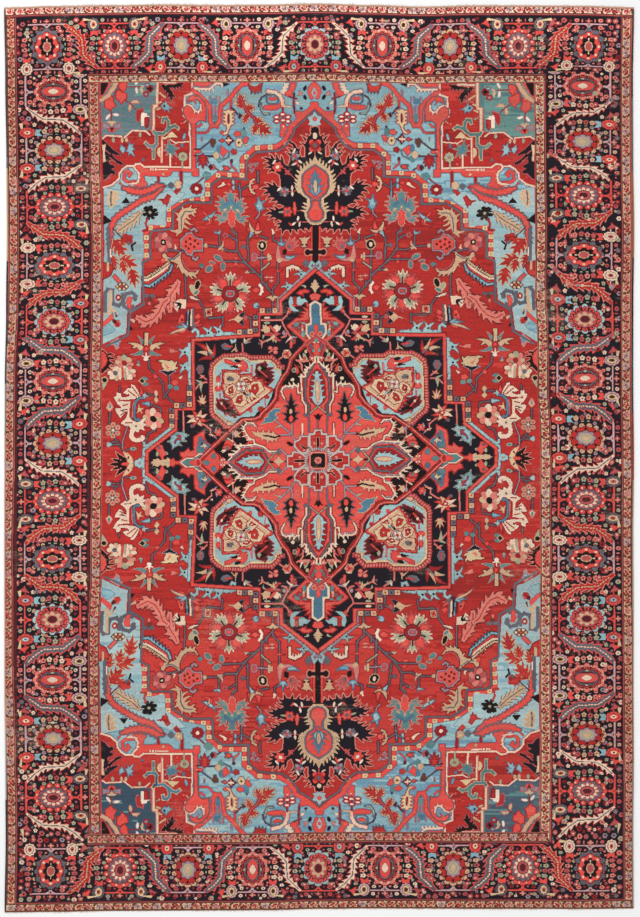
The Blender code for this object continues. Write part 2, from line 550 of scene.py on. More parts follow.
smallFlowers = [("rose", "cream"), ("salmon", "crimson"), ("rose", "black"), ("cream", "rose"),
                ("crimson", "salmon"), ("sage", "rose"), ("lilac", "navy"), ("rose", "camel"),
                ("slate", "rose"), ("crimson", "black"), ("rose", "slate")]


def borderRosette(pen, rings):
    for rx, ry, wool, lobes, depth, rim in rings:
        if depth:
            if rim:
                pen.petals(0, 0, rx + 0.45, ry + 0.4, rim, lobes, depth)
            pen.petals(0, 0, rx, ry, wool, lobes, depth)
        else:
            size = 2.6 * (rx + ry) / lobes / 2
            beadRing(pen, 0, 0, rx, ry, rim, lobes, size + 0.35)
            beadRing(pen, 0, 0, rx, ry, wool, lobes, size)


def smallFlower(pen, x, y, wool, heart, size=1.25):
    # Four or five dots round a heart.
    for k in range(5):
        way = 2 * math.pi * (k + 0.25) / 5
        pen.disc(x + size * 0.62 * math.cos(way), y + size * 0.62 * math.sin(way), size * 0.42,
                 size * 0.42, wool)
    pen.disc(x, y, size * 0.32, size * 0.32, heart)


def borderUnit(pen, kind, openSide, stretch=1):
    ladder, discs, rim, field, heart, tail, one, other = units[kind]
    with pen.moved(flipX=openSide < 0):
        for side in (-1, 1):
            pen.line([(13.4 * side, -7.6), (13.4 * side, 7.6)], 1.3, "maroon")
            pen.line([(13.4 * side, -7.6), (13.4 * side, 7.6)], 0.8, ladder)
            pen.line([(13.4 * side, 1.9), (12.2 * side, 0.4), (9.4 * side, 0), (12.2 * side, -0.4),
                      (13.4 * side, -1.9)], 0.6, ladder)
            petalled(pen, 15.2 * side, 0, 1.3, ["rose" if side < 0 else "salmon"], "maroon", "camel", 4)
            for up in (-1, 1):
                pen.box(min(16.2 * side, 14.6 * side), 2.7 * up - 0.25, max(16.2 * side, 14.6 * side),
                        2.7 * up + 0.25, "salmon" if kind in ("oval", "slate") else "rose")
        for up in (-1, 1):
            for x, y, wool, core, size in ((-15.6, 5.0, one, "crimson", 1.15),
                                           (-11.4, 4.9, one, "crimson", 1.2),
                                           (11.2, 4.6, "crimson" if kind == "coral" else other, "black",
                                            0.95), (15.6, 5.0, other, "rose", 1.0),
                                           (-11, 2.4, "crimson", None, 0.6), (11, 2.2, one, None, 0.55),
                                           (-15.4, 7.6, "crimson", None, 0.6),
                                           (-9.2, 6.6, other, None, 0.7), (7.8, 6.4, one, None, 0.6)):
                pen.disc(x, y * up, size, size * 0.9, wool)
                if core:
                    pen.disc(x, y * up, size * 0.4, size * 0.36, core)
            pen.line([(13.0, 8.9 * up), (13.0, 12.0 * up)], 0.6, rim)
            for rx, ry, wool, lobes, depth in ((4.2, 2.8, "maroon", 10, 0.1), (3.9, 2.5, rim, 10, 0.12),
                                               (3.0, 1.75, "maroon", 8, 0.1), (2.7, 1.5, field, 8, 0.16),
                                               (1.5, 0.85, heart, 6, 0.05), (0.6, 0.4, "black", 4, 0.05)):
                pen.petals(13.0, 8.9 * up, rx, ry, wool, lobes, depth)
            fishtail(pen, 9.1, 8.7 * up, tail, 180, 3.4, 1.7)
            for x, y, wool, core in ((-4.4, 9.4, one, "maroon"), (-1.4, 9.9, other, "crimson"),
                                     (1.6, 9.5, one, "navy"), (4.6, 9.2, other, "rose")):
                smallFlower(pen, x, y * up, wool, core, 1.3)
            for x, y in ((-8.9, 3.9), (8.9, 3.9), (-4.5, 6.8), (4.5, 6.8)):
                pen.disc(x, y * up, 0.95, 0.85, discs)
                pen.disc(x, y * up, 0.35, 0.3, "crimson")
            for x in (-1.4, 1.5):
                pen.box(x - 0.65, 7.7 * up - 0.25, x + 0.65, 7.7 * up + 0.25, "sage")
        with pen.moved(wide=stretch):
            borderRosette(pen, rosettes[kind])
            for turn in range(12):
                way = (turn + 0.5) * math.pi / 6
                pen.disc(8.3 * math.cos(way), 5.9 * math.sin(way), 0.42, 0.38,
                         "rose" if kind in ("cream", "pale", "slate") else "cream")
            if kind in ("oval", "coral", "pale"):
                for turn in range(12):
                    way = turn * math.pi / 6
                    pen.disc(6.9 * math.cos(way), 4.7 * math.sin(way), 0.42, 0.36,
                             {"oval": "rose", "coral": "rose", "pale": "maroon"}[kind])
            if kind in ("cream", "slate"):
                for turn in range(8):
                    way = turn * math.pi / 4
                    pen.disc(6.5 * math.cos(way), 4.3 * math.sin(way), 0.65, 0.55,
                             "black" if kind == "cream" else "cream")
            for up in (-1, 1):
                if kind == "oval":
                    pen.disc(0, 3.5 * up, 0.8, 0.5, "sage")
                elif kind == "slate":
                    pen.box(min(4.4 * up, 3.2 * up), -0.25, max(4.4 * up, 3.2 * up), 0.25, "cream")


def borderLeaf(pen, kind, slope):
    with pen.moved(flipX=slope > 0):
        sawLeaf(pen, [(-13.4, 6.8), (-9.5, 3.9), (-5.4, 0.9), (4.4, 0.4), (9.2, -2.8), (13.2, -6.8)],
                leaves[kind], 3.2)
        for side, x, y in ((-1, -13.8, -0.4), (1, 13.8, 0.6)):
            flicks(pen, "rose" if side < 0 else "coral", (x, y, x - 2.4 * side, y + 1.4 * side, 1.9, 0),
                   (x, y, x + 2.4 * side, y + 0.4 * side, 1.9, 0),
                   (x, y, x - 0.4 * side, y - 1.8 * side, 1.6, 0), edge="crimson", width=0.25)
            flicks(pen, "straw", (x + 2.2 * side, y + 0.4 * side, x + 1.6 * side, y + 5 * side, 1.7, 0))
            smallFlower(pen, x - 4.4 * side, y + 1.2 * side, "cream" if side < 0 else "sage", "rose", 1.0)
        for x, y in ((-9.6, 8.4), (9.4, -8.6), (-6.2, 5.2), (6.2, -5.2)):
            smallFlower(pen, x, y, "rose", "cream", 1.25)


def sideBorder(pen, flip):
    kinds = ["oval", "cream", "coral", "slate", "pale"]
    leafKinds = ["cream", "cream", "red", "red", "slate"] * 2 + ["slate", "cream", "cream"]
    leafKinds[5] = "slate"
    with pen.moved(flipX=flip):
        pen.box(-border["side"] - border["sideHalf"], -188, -border["side"] + border["sideHalf"], 187,
                "navy")
        for k in range(13):
            y = border["firstUnit"] - k * border["sidePitch"]
            with pen.moved(-border["side"], y):
                borderUnit(pen, kinds[k % 5], 1 if k % 2 == 0 else -1)
            with pen.moved(-border["side"], y - border["sidePitch"] / 2):
                borderLeaf(pen, leafKinds[k], -1 if k % 2 == 0 else 1)


def endBorder(pen, flip):
    kinds = ["slate", "coral", "cream", "oval", "pale", "oval", "cream", "coral", "slate"]
    leafKinds = ["red", "slate", "slate", "cream", "cream", "slate", "slate", "red"]
    pitch = border["endPitch"]
    wide, tall = border["endHalf"] / border["sideHalf"], pitch / border["sidePitch"]
    with pen.moved(flipY=flip):
        pen.box(-146, border["end"] - border["endHalf"], 146, border["end"] + border["endHalf"], "navy")
        for k, kind in enumerate(kinds):
            with pen.moved((k - 4) * pitch, border["end"], turn=-90, wide=wide, tall=tall):
                borderUnit(pen, kind, -1 if k % 2 else 1, 1.12)
        for k, kind in enumerate(leafKinds):
            with pen.moved((k - 3.5) * pitch, border["end"], turn=-90, wide=wide, tall=tall):
                borderLeaf(pen, kind, -1 if k % 2 else 1)


# The field is drawn for its right half and mirrored. These are the edges of its stepped band,
# and the middles of the small squares on it.
steps = [(0, 170.8), (6, 165.5), (11.8, 160.5), (12.1, 158.5), (15.3, 153.7), (19, 151.6), (29.3, 151.6),
         (34.3, 147.5), (35.3, 146), (35.3, 138.6), (47.3, 138.6), (53.3, 133.6), (53.5, 125.8),
         (64.3, 125.8), (72.6, 120), (73, 112.6), (82.5, 111.8), (85, 109), (85, 97)]
innerSteps = [(0, 168.4), (5, 163.8), (10, 159.6), (10.3, 157.6), (13.6, 152.4), (17.6, 149.6),
              (28.4, 149.6), (32.4, 146.6), (33.3, 145), (33.3, 136.6), (46.5, 136.6), (51.3, 132.7),
              (51.5, 123.8), (63.6, 123.8), (70.6, 119), (71, 110.6), (81.5, 109.9), (83, 108), (83, 97),
              (87, 95), (87, 76), (94, 72), (95, 62), (105.5, 55)]
squares = [(21.8, 151.6), (27.9, 151.6), (33.2, 147.6), (35.5, 143.2), (35.5, 138.7), (41.8, 138.7),
           (47.8, 137.6), (53.3, 132.6), (53.3, 128.1), (55.8, 125.8), (61.3, 125.8), (66.8, 124.5),
           (72.8, 120), (72.8, 115), (76, 112.6), (82.2, 111.3), (85, 107), (85, 103), (85, 98.5)]


def spandrel(pen):
    # The sky ground between the stepped band and the top guard.
    pen.fill(steps[:-1] + [(106, 111), (106, 182.4), (0, 182.4)], "sky")
    pen.line(steps, 2.4, "coral")
    for x, y in squares:
        pen.box(x - 1.15, y - 1.1, x + 1.15, y + 1.1, "straw")
        pen.disc(x, y, 0.35, 0.3, "brown")


def topMiddle(pen):
    # On the axis, from the top guard down into the point of the stepped band.
    for half, wool in (([(0, 182.4), (1.4, 181.6), (3, 179.6), (3.4, 177.2), (2.6, 175.6), (2.4, 174.2),
                         (1.2, 173.6), (0, 174.6)], "coral"), ([(0, 172.6), (1.6, 172.6), (2.2, 171.4),
                                                                (1.2, 169.6), (0, 169)], "coral"),
                       ([(0, 179.8), (1.6, 177), (0, 174)], "pale")):
        pen.fill(bothSides(half), wool)
    for side in (-1, 1):
        for y, turn in ((179.2, 25), (174.8, -25)):
            with pen.moved(4.6 * side, y, turn * side):
                pen.disc(0, 0, 0.75, 1.3, "black")
        flicks(pen, "salmon", (6.2 * side, 176.4, 7.4 * side, 178, 1.0, 0),
               (6.2 * side, 176.4, 7.8 * side, 176, 1.0, 0), edge="rose", width=0.2)
    pen.disc(0, 176.9, 0.8, 0.9, "coral")
    pen.fill(bothSides([(0, 168), (1.2, 166), (3.4, 165.2), (2.4, 163), (3.2, 161.4), (0, 160.6)]), "pale")
    pen.disc(0, 164.2, 1.1, 1.2, "coral")


palmetteBody = [(0, 160.2), (1.7, 160), (2, 158.6), (1.9, 156.6), (3.4, 155), (4.6, 152.4), (4.9, 149),
                (4.9, 145.6), (6.6, 145.4), (7.2, 146.5), (8.0, 149.6), (9.2, 150.4), (10.6, 150),
                (11.8, 147.8), (12.2, 144), (13.2, 141.6), (14.8, 142.6), (16, 144.6), (19, 146),
                (21.6, 146.2), (21.8, 142.4), (20.8, 140), (18.6, 139), (17.2, 137.8), (16.8, 134),
                (16.9, 131.6), (18.6, 132.4), (20.4, 133.4), (23, 132.4), (23.4, 130.4), (21.6, 128),
                (19.6, 126), (17.6, 123.6), (15.4, 122.4), (15.8, 121.6), (18.6, 121), (21.4, 120.4),
                (22, 118.6), (20.6, 117.2), (18.6, 116.2), (16.6, 115), (17.6, 113.6), (17.2, 111.6),
                (15.6, 110.4), (12, 110.8), (9, 110.4), (6, 111), (3, 110.8), (1.5, 111.2), (0, 111.2)]
palmetteFingers = [(3.0, 154.8, 4.4, 156.8, 1.0, 0.2), (4.4, 153.6, 6.8, 156.2, 1.1, 0.3),
                   (4.6, 150.8, 7.2, 152.8, 1.1, 0.3), (9.6, 149.8, 12.2, 153.4, 1.8, 0.5),
                   (11.4, 152.8, 14.8, 152.4, 1.5, 0.6), (8.0, 148.6, 6.8, 150.8, 1.0, 0),
                   (11.4, 148.6, 13.8, 150.4, 1.1, 0.3), (12.0, 146.6, 14.4, 148.4, 1.0, 0.3),
                   (16, 143.6, 16.6, 147.2, 1.5, 0.2), (18.4, 145, 19.2, 148.2, 1.5, 0.2),
                   (20.6, 145.6, 22.2, 148.4, 1.4, 0.3), (21.2, 145, 25.6, 146.8, 1.8, 0.5),
                   (21.4, 143.6, 25.0, 144.2, 1.5, 0.5), (21.2, 142, 24.6, 141.8, 1.4, 0.4),
                   (20.6, 140.6, 22.8, 139.4, 1.3, 0.3), (19.4, 132.2, 21.0, 135.2, 1.5, 0.2),
                   (21.2, 132.4, 24.4, 134.8, 1.6, 0.4), (22.6, 131.6, 26.8, 131.8, 1.7, 0.5),
                   (22.6, 130, 25.6, 128.6, 1.5, 0.4), (21.2, 127.8, 24.0, 126.4, 1.4, 0.4),
                   (19.4, 125.8, 22.4, 124.8, 1.4, 0.4), (17.6, 124, 20.2, 123.2, 1.2, 0.3),
                   (18.6, 120.4, 20.6, 122.8, 1.4, 0.2), (20.6, 120, 23.6, 121.6, 1.4, 0.4),
                   (21.2, 119.2, 25.2, 118.2, 1.7, 0.5), (20.6, 117.8, 23.2, 116.0, 1.4, 0.3),
                   (18.6, 116.4, 20.4, 114.6, 1.2, 0.3), (17.0, 113.6, 19.8, 113.2, 1.3, 0.3),
                   (17.2, 112.2, 19.2, 110.6, 1.3, 0.3), (15.8, 111, 16.6, 108.4, 1.4, 0),
                   (12.6, 111, 12.2, 108.4, 1.5, 0), (9.6, 110.8, 8.8, 108.6, 1.5, 0),
                   (6.4, 111.2, 5.4, 109.2, 1.4, 0), (3.8, 111, 3.0, 109.6, 1.2, 0)]


def palmette(pen):
    # The dark flame palmette on the axis: its right half.
    flamed(pen, palmetteBody, palmetteFingers, "navy", "salmon", 0.55)
    pen.fill([(6, 144), (12, 143.4), (14, 140), (16, 139), (16, 131), (20, 130), (19, 127), (14, 122.6),
              (12, 118), (8, 116), (6.4, 122)], "navy")
    for points in ([(9.4, 134.8), (12.4, 138), (14.6, 140.6), (17, 141.4)], [(9.8, 129.4), (14.8, 129.3)],
                   [(6.4, 119.6), (13.6, 119.3)], [(2.4, 113.9), (9.6, 114.2)]):
        stem(pen, points, "rose", 0.45)
    petalled(pen, 9.8, 146.3, 2.4, ["slate", "lilac"], None, "coral", 6)
    petalled(pen, 18.3, 141.8, 2.6, ["coral"], None, "ivory", 6)
    petalled(pen, 15.3, 129.4, 2.4, ["slate", "lilac"], None, "coral", 7)
    petalled(pen, 13.8, 119.3, 2.5, ["coral"], "crimson", "slate", 6)
    for x, y, turn, wool in ((10.2, 148.7, 25, "ivory"), (19.9, 144.5, 40, "ivory"),
                             (17.6, 131, 48, "ivory"), (16.9, 119.4, 90, "sage"), (8.6, 115.8, 8, "ivory"),
                             (7.8, 113, 10, "cream"), (10.9, 113.2, 60, "ivory"),
                             (12.4, 113.2, -40, "coral"), (11.3, 130.8, 0, "cream"),
                             (11.3, 128, 0, "cream"), (9.3, 143.2, 60, "coral"), (8.4, 142, -20, "coral"),
                             (7.2, 143.3, -50, "ivory"), (10.2, 142.3, 70, "ivory")):
        with pen.moved(x, y, turn):
            pen.disc(0, 0, 0.5, 1.3, wool)
    with pen.moved(13.6, 138.6, -40):
        pen.disc(0, 0, 0.6, 1.8, "coral")
        pen.disc(0, 0, 1.6, 0.5, "rose")
    pen.fill([(9.4, 117.6), (10.6, 117.4), (11.2, 120.6), (10.8, 124.2), (9.8, 124), (9.3, 121)], "coral")


def palmetteHeart(pen):
    # What stands on the palmette's axis.
    pen.disc(0, 159, 1.5, 1.5, "black")
    pen.disc(0, 155.9, 1.1, 1.6, "cream")
    for k in range(4):
        with pen.moved(0, 151, 45 + 90 * k):
            pen.disc(2.0, 0, 1.9, 1.5, "coral")
    pen.disc(0, 151, 2.2, 2.2, "red")
    pen.petals(0, 151.2, 1.2, 1.2, "slate", 4, 0.3)
    for side in (-1, 1):
        with pen.moved(2.4 * side, 147.4, 62 * side):
            pen.disc(0, 0, 0.4, 1.1, "cream")
    pen.line([(0, 148.6), (0, 145)], 0.5, "rose")
    body = [(0, 143.6), (3.4, 141.6), (6.8, 138.6), (8.2, 136), (8.4, 131), (6.6, 127.4), (4.0, 125.4),
            (3.8, 122.4), (3.9, 120.6), (5.2, 118.8), (4.9, 115.6), (2.4, 113), (0, 112.4)]
    fingers = [(0.6, 143, 0, 145.8, 1.4, 0)]
    fingers += [(x, y, x + 0.9, y + 2.6, 1.3, -0.15) for x,
                y in ((1.6, 142.2), (3.2, 141), (4.6, 139.8), (6.2, 138.8))]
    fingers += [(x, y, x + 2.1, y + 1.5, 1.3, -0.25) for x,
                y in ((6.8, 137.8), (7.6, 135.8), (7.9, 133.8), (8.0, 131.9), (7.7, 130.1), (7.1, 128.6))]
    fingers += [(3.6, 122.4, 6.0, 123.4, 1.1, -0.2), (3.8, 120.8, 6.6, 121.6, 1.1, -0.2),
                (4.2, 119.2, 6.8, 119.8, 1.1, -0.2)]
    fingers += [(-x0, y0, -x1, y1, width, -bend) for x0, y0, x1, y1, width, bend in fingers]
    flamed(pen, bothSides(body), fingers, "camel", "straw", 0.2)
    for half, wool in (([(0, 142.2), (5.2, 138.8), (6.8, 136.6), (7.0, 130.8), (5.4, 127.4), (2.9, 125.4),
                         (2.7, 123.4), (2.8, 121.4), (4.4, 118.6), (4.1, 116), (2.2, 114), (0, 113.4)],
                        "slate"), ([(0, 141.2), (4.6, 138.2), (6.0, 136.2), (6.2, 131), (4.7, 128),
                                    (2.2, 126), (0, 125.4)], "coral"),
                       ([(0, 126.6), (2.1, 125.4), (2.0, 124.4), (0, 125)], "rose"),
                       ([(0, 124.4), (1.5, 124), (1.9, 121.2), (3.6, 118.8), (3.4, 116.4), (1.6, 114.6),
                         (0, 114.4)], "coral")):
        pen.fill(bothSides(half), wool)
    flame = [(0, 139.4), (0.7, 138), (1.3, 135.4), (2.2, 134.8), (2.1, 131), (2.6, 129.4), (1.2, 126.9),
             (0, 126.5)]
    licks = [(0.8, 136, 2.6, 137.6, 1.1, -0.3), (1.4, 133.2, 3.6, 135.4, 1.2, -0.3),
             (1.7, 130.8, 4.6, 132.8, 1.3, -0.4), (1.8, 128.4, 3.9, 130, 1.2, -0.4),
             (0, 136.8, 0, 140, 1.2, 0)]
    licks += [(-x0, y0, -x1, y1, width, -bend) for x0, y0, x1, y1, width, bend in licks]
    flamed(pen, bothSides(flame), licks, "blue", None)
    pen.fill(bothSides([(0, 133.4), (2.0, 132), (2.4, 129.2), (1.3, 127.4), (0, 127)]), "sky")
    pen.disc(0, 131.2, 1.3, 3.7, "slate")
    pen.disc(0, 131.2, 0.85, 3.3, "camel")


def oakLeaf(pen, x, y, turn, size, wool, edge, vein=None):
    # A long leaf with pointed lobes down both sides, from its root at x, y.
    with pen.moved(x, y, turn, wide=size, tall=size):
        fingers = [(5.2, 0, 8.2, 0, 1.8, 0)]
        for side in (-1, 1):
            fingers += [(0.8, 0.5 * side, 2.4, 2.8 * side, 1.4, 0.3 * side),
                        (2.6, 0.6 * side, 4.6, 3.4 * side, 1.6, 0.4 * side),
                        (4.4, 0.6 * side, 6.6, 2.4 * side, 1.3, 0.3 * side)]
        flamed(pen, [(-0.6, 0), (0.8, 1.1), (3, 1.5), (5, 1.1), (6.4, 0), (5, -1.1), (3, -1.5),
                     (0.8, -1.1), (-0.6, 0)], fingers, wool, edge, 0.35 / size)
        if vein:
            pen.line([(0.4, 0), (5.2, 0)], 0.5, vein)


def skyVines(pen):
    # The coral vine, the beast's head and the coral rail beside the red box.
    vine = [(29.6, 182), (33, 181.8), (36, 179.2), (38.6, 176), (41, 173.8), (43.6, 171.6), (44.4, 168.6),
            (44.6, 164.4), (46, 162), (48, 161.9), (49.2, 164), (49.4, 168.6), (49.6, 171), (51.8, 173.6),
            (55, 176.4), (58, 178.4)]
    for wool, width in (("rose", 2.3), ("coral", 1.8)):
        pen.line(vine, width, wool)
        for points in ([(38.7, 176), (38.7, 170.4)], [(49, 161.6), (50.6, 159), (52, 158.3), (57, 158.3)],
                       [(53.8, 162.6), (55, 161.4), (57.4, 161)]):
            pen.line(points, width * 0.5, wool)
    for x, y, reach in ((40.2, 176.6, 2.6), (44.4, 173.2, 2.8), (49.2, 173.4, 2.6), (46, 174, 2)):
        pen.line([(x, y), (x, y + reach)], 0.35, "rose")
        pen.line([(x + 0.45, y), (x + 0.45, y + reach * 0.8)], 0.35, "lilac")
    pen.fill([(45.6, 172.4), (46.6, 175), (49, 175), (49, 172.4)], "blue")
    for k in range(4):
        pen.line([(45.7 + k * 0.85, 166.8), (45.7 + k * 0.85, 171.8 - abs(k - 1.4) * 0.8)], 0.5,
                 "rose" if k % 2 else "lilac")
    pen.disc(46.9, 166.2, 1.2, 1.5, "teal")
    pen.disc(46.9, 163.6, 0.5, 0.9, "slate")
    beast = [(51.4, 163.8), (51.2, 170), (52.4, 173.2), (55, 175.6), (58, 176), (60, 175), (60.8, 173.2),
             (60.4, 171.8), (58.8, 171.6), (58.2, 173), (57.4, 173.6), (57.2, 172.2), (56, 171.4),
             (55.4, 172.6), (54.4, 171.6), (54.4, 169), (55.4, 167.4), (57.6, 168.4), (59, 170.6),
             (61, 171), (62.8, 169.6), (63, 167), (61.2, 164.6), (59.4, 163), (58.6, 161), (58.6, 140.6),
             (56.6, 140.6), (56.6, 162.4), (55, 164.2), (52.6, 164.2)]
    pen.line(beast, 0.8, "slate", closed=True)
    pen.fill(beast, "coral")
    pocket = [(54.2, 171.4), (54.8, 173), (56, 173.9), (57.8, 173.9), (59, 172.9), (60.6, 172.2),
              (58.8, 171.2), (57.6, 169.8), (56.4, 168.9), (55.2, 169.4)]
    pen.line(pocket, 0.6, "slate", closed=True)
    pen.fill(pocket, "sky")
    flicks(pen, "coral", (58.4, 174.2, 56.2, 171.6, 1.7, -0.3))
    for wool, width in (("rose", 1.1), ("cream", 0.7)):
        pen.line([(53.9, 171.6), (54, 169.8), (55.2, 168.2), (57, 168.8), (58.6, 170.8), (60.4, 171.5)],
                 width, wool)
    flicks(pen, "cream", (54.2, 169.6, 53.2, 168.4, 0.9, 0), (55.2, 168.6, 55.2, 166.8, 0.9, 0),
           (56.8, 168.8, 57.2, 167.2, 0.9, 0))
    pen.box(55.2, 136.8, 58.6, 140.6, "coral")


def skyMotifs(pen):
    # Here and in the next two, x and y are as seen, and moved() takes the field's own shift off.
    skyVines(pen)
    # coral flower at the top with a jagged cream leaf and a hook
    pen.shape([(6.4, 182), (9.4, 182), (10, 179), (11.4, 177.6), (13, 177.4), (12.4, 176.4), (10.4, 175.4),
               (8.6, 175.2), (8.4, 177.6), (7.2, 178.8), (6.8, 180.2)], "coral", "rose", 0.3)
    pen.fill([(9.6, 182), (12.6, 182), (12.6, 180.4), (13.4, 180), (13, 179), (14.4, 178.4), (14.4, 177),
              (12.2, 176.6), (12, 177.8), (10.8, 178.4), (11.6, 179.2), (10.2, 179.8), (10.8, 180.6)],
             "cream")
    for wool, width in (("rose", 2.1), ("cream", 1.5)):
        pen.line([(20.2, 178.2), (17, 177.6), (14.6, 176), (13.4, 173.6), (13, 171)], width, wool)
    pen.line([(12.9, 173), (12.9, 170.8), (9.4, 170.4)], 0.9, "camel")
    for wool, width in (("rose", 1.1), ("maroon", 0.7)):
        pen.line([(7.6, 176.8), (7.8, 172), (7.4, 167.4)], width, wool)
        pen.line([(6.4, 174.2), (10, 175.4)], width * 0.7, wool)
    pen.fill([(4.8, 171.2), (5.6, 172.8), (7, 173), (6.6, 171.6)], "cream")
    pen.petals(4.2, 169.4, 0.75, 0.75, "maroon", 4, 0.2)
    pen.fill([(1.6, 167.8), (2.4, 168.4), (4, 167.8), (6.4, 168.4), (7.4, 167), (6.8, 164.4), (4, 164.4)],
             "coral")
    # pale flower and the coral comb under it
    pen.fill([(15, 173.4), (15.4, 175.8), (17, 176.9), (20.4, 176.8), (21.6, 175.4), (21.2, 172.8),
              (20, 171.8), (16, 171.8)], "slate")
    pen.fill([(15.6, 173.4), (16, 175.4), (17.4, 176.3), (20, 176.2), (20.9, 175), (20.5, 173),
              (19.4, 172.4), (16.4, 172.4)], "sky")
    pen.fill([(15.8, 174.8), (17, 175.6), (18.2, 175.2), (19.4, 175.7), (20.4, 174.6), (19, 173.6),
              (17, 173.7)], "coral")
    pen.fill(toothed([(14.2, 172.8), (15.6, 171.4), (19, 171.5), (22, 171.3), (23, 170.2), (21.6, 169.4),
                      (19, 169), (15.6, 169.4), (14.2, 170.6)], 0.35, 1.0), "coral")
    pen.line([(20.8, 176.8), (23.6, 175.2), (24.6, 173.4), (25, 171)], 0.6, "maroon")
    pen.line([(24, 172.4), (23.8, 169.4), (22.4, 167.2), (20, 167.3)], 1.1, "slate")
    pen.line([(24, 171.4), (23.6, 169.4), (22.2, 167.4), (20.4, 167.4)], 0.5, "sage")
    # coral flower with ivory hearts
    pen.line([(13.3, 170), (13.3, 160.6)], 0.9, "crimson")
    for x, y in ((10.7, 165.5), (10.7, 163.4), (13.4, 166.9), (13.2, 164), (16.3, 165.6), (16.3, 163.6)):
        pen.disc(x, y, 1.75, 1.15, "crimson")
        pen.disc(x, y, 1.5, 0.95, "coral")
        pen.disc(x, y, 0.95, 0.5, "ivory")
    pen.fill([(11, 159.8), (12, 162.4), (14.6, 162.6), (14.8, 156), (13, 156)], "coral")
    pen.disc(13, 161, 0.4, 0.4, "ivory")
    # red palmette under the guard
    flamed(pen, [(23.2, 182), (23.8, 179.6), (25, 178.4), (28.4, 178.4), (29.6, 179.8), (30, 182)],
           [(24.2, 179.2, 23.6, 177.6, 1.0, 0), (25.4, 178.6, 25.2, 177.2, 1.0, 0),
            (26.8, 178.4, 26.8, 177, 1.0, 0), (28.2, 178.6, 28.6, 177.2, 1.0, 0)], "red", "brown", 0.25)
    pen.fill([(24.6, 182.2), (25.6, 181), (27.2, 180.6), (28.6, 181.2), (30, 182.2)], "pale")
    # red oak leaves on one trunk
    for x, y, turn, size in ((33.6, 170.6, 84, 0.9), (32, 170.2, 176, 0.66), (30.6, 167.4, -64, 0.6),
                             (27.2, 164.6, 192, 0.62), (25.6, 162, 212, 1.0), (26.2, 162.6, -72, 0.66)):
        oakLeaf(pen, x, y, turn, size, "red", "camel", None)
    for wool, width in (("red", 1.7), ("rose", 0.5)):
        pen.line([(33.8, 175.4), (32.6, 172), (30.6, 168.4), (27.4, 165.6), (25.8, 161.6)], width, wool)
    pen.line([(35.6, 177.8), (35.6, 172.4)], 0.4, "teal")
    pen.line([(36.2, 177), (36.2, 172)], 0.35, "camel")
    flicks(pen, "camel", (36.2, 172.2, 38, 173.6, 0.8, 0))
    pen.line([(38.6, 170.6), (37.6, 170), (35.6, 167.6)], 0.8, "maroon")
    pen.fill([(32.9, 167), (34.7, 168.1), (35.3, 166), (34.4, 165.4)], "maroon")
    # camel palmette with a maroon slit
    spikes = [(40 + 1.2 * side, y, 40 + 2.9 * side, y + 0.5, 1.3, 0) for side in (-1, 1) for y in (168.4,
                                                                                                   166.6,
                                                                                                   164.8,
                                                                                                   163)]
    flamed(pen, [(40, 170), (41.2, 168.8), (41.8, 166), (41.4, 163.4), (40.8, 161.8), (40.6, 160.4),
                 (41.4, 159), (43.4, 159), (42.6, 157.8), (40.8, 158.2), (39.9, 160.4), (39.2, 162),
                 (38.5, 163.6), (38.2, 166), (38.8, 168.8)], spikes, "straw", "coral", 0.4)
    pen.disc(43.2, 158.9, 1.1, 0.9, "coral")
    pen.disc(40, 165.4, 0.8, 2.6, "rose")
    pen.box(39.7, 163.4, 40.3, 167.6, "maroon")
    # cream strip under the guard
    pen.fill([(39.4, 182), (42.8, 182.6), (42.6, 180.8), (41, 181.2)], "black")
    pen.fill([(47.6, 182.6), (58.6, 182.6), (57.4, 180.4), (51.6, 180.4), (49.4, 181)], "coral")
    for wool, width in (("rose", 1.3), ("cream", 0.9)):
        pen.line([(43.4, 180.8), (43.4, 182), (46.4, 182.1), (48.6, 180), (49.8, 179.4), (57.2, 179.3)],
                 width, wool)
    flicks(pen, "cream", *[(x, 179.6, x - 0.5, 177.6, 1.3, 0) for x in (47.9, 49.8, 51.6, 53.4, 55.2)])
    # flowers
    for points, wool, width in (([(32.4, 161), (32.4, 158)], "maroon", 0.7),
                                ([(49.4, 154.2), (54.4, 150.2), (57, 150)], "maroon", 0.6),
                                ([(47.4, 147.1), (57, 146.9)], "maroon", 0.7),
                                ([(39.4, 149.8), (40, 147.2), (43.6, 145.4)], "slate", 0.5),
                                ([(38.5, 145), (38.3, 143), (35.8, 140.9)], "coral", 0.8),
                                ([(45.2, 140.2), (47.6, 141.7)], "maroon", 0.5),
                                ([(52.4, 136.6), (57.6, 132)], "crimson", 0.6),
                                ([(53.4, 154.4), (53.4, 156)], "rose", 0.5)):
        pen.line(points, width, wool)
    pen.fill([(31.6, 160.2), (33.4, 160.2), (34.2, 157.8), (33, 156.4), (31.4, 157.4)], "teal")
    pen.petals(35.5, 158.4, 2.0, 1.5, "coral", 5, 0.16)
    pen.fill([(29.8, 156.6), (31.6, 157.2), (33, 155.4), (32.4, 153.4), (30.8, 154.2)], "coral")
    pen.fill([(30.4, 153.6), (32, 153.6), (31.4, 152)], "camel")
    pen.petals(34.8, 154.2, 2.0, 2.4, "rose", 6, 0.14)
    pen.petals(34.8, 154.2, 1.7, 2.1, "straw", 6, 0.14)
    pen.petals(34.8, 154.3, 0.8, 0.8, "brown", 4, 0.5)
    pen.fill([(36.8, 155), (38.6, 156.4), (40, 158.2), (40.8, 156.8), (42, 155.2), (40.6, 153.4),
              (39.6, 152.4), (38.6, 154)], "maroon")
    petalled(pen, 40, 155.2, 1.5, ["cream", "salmon"], None, "ivory", 4)
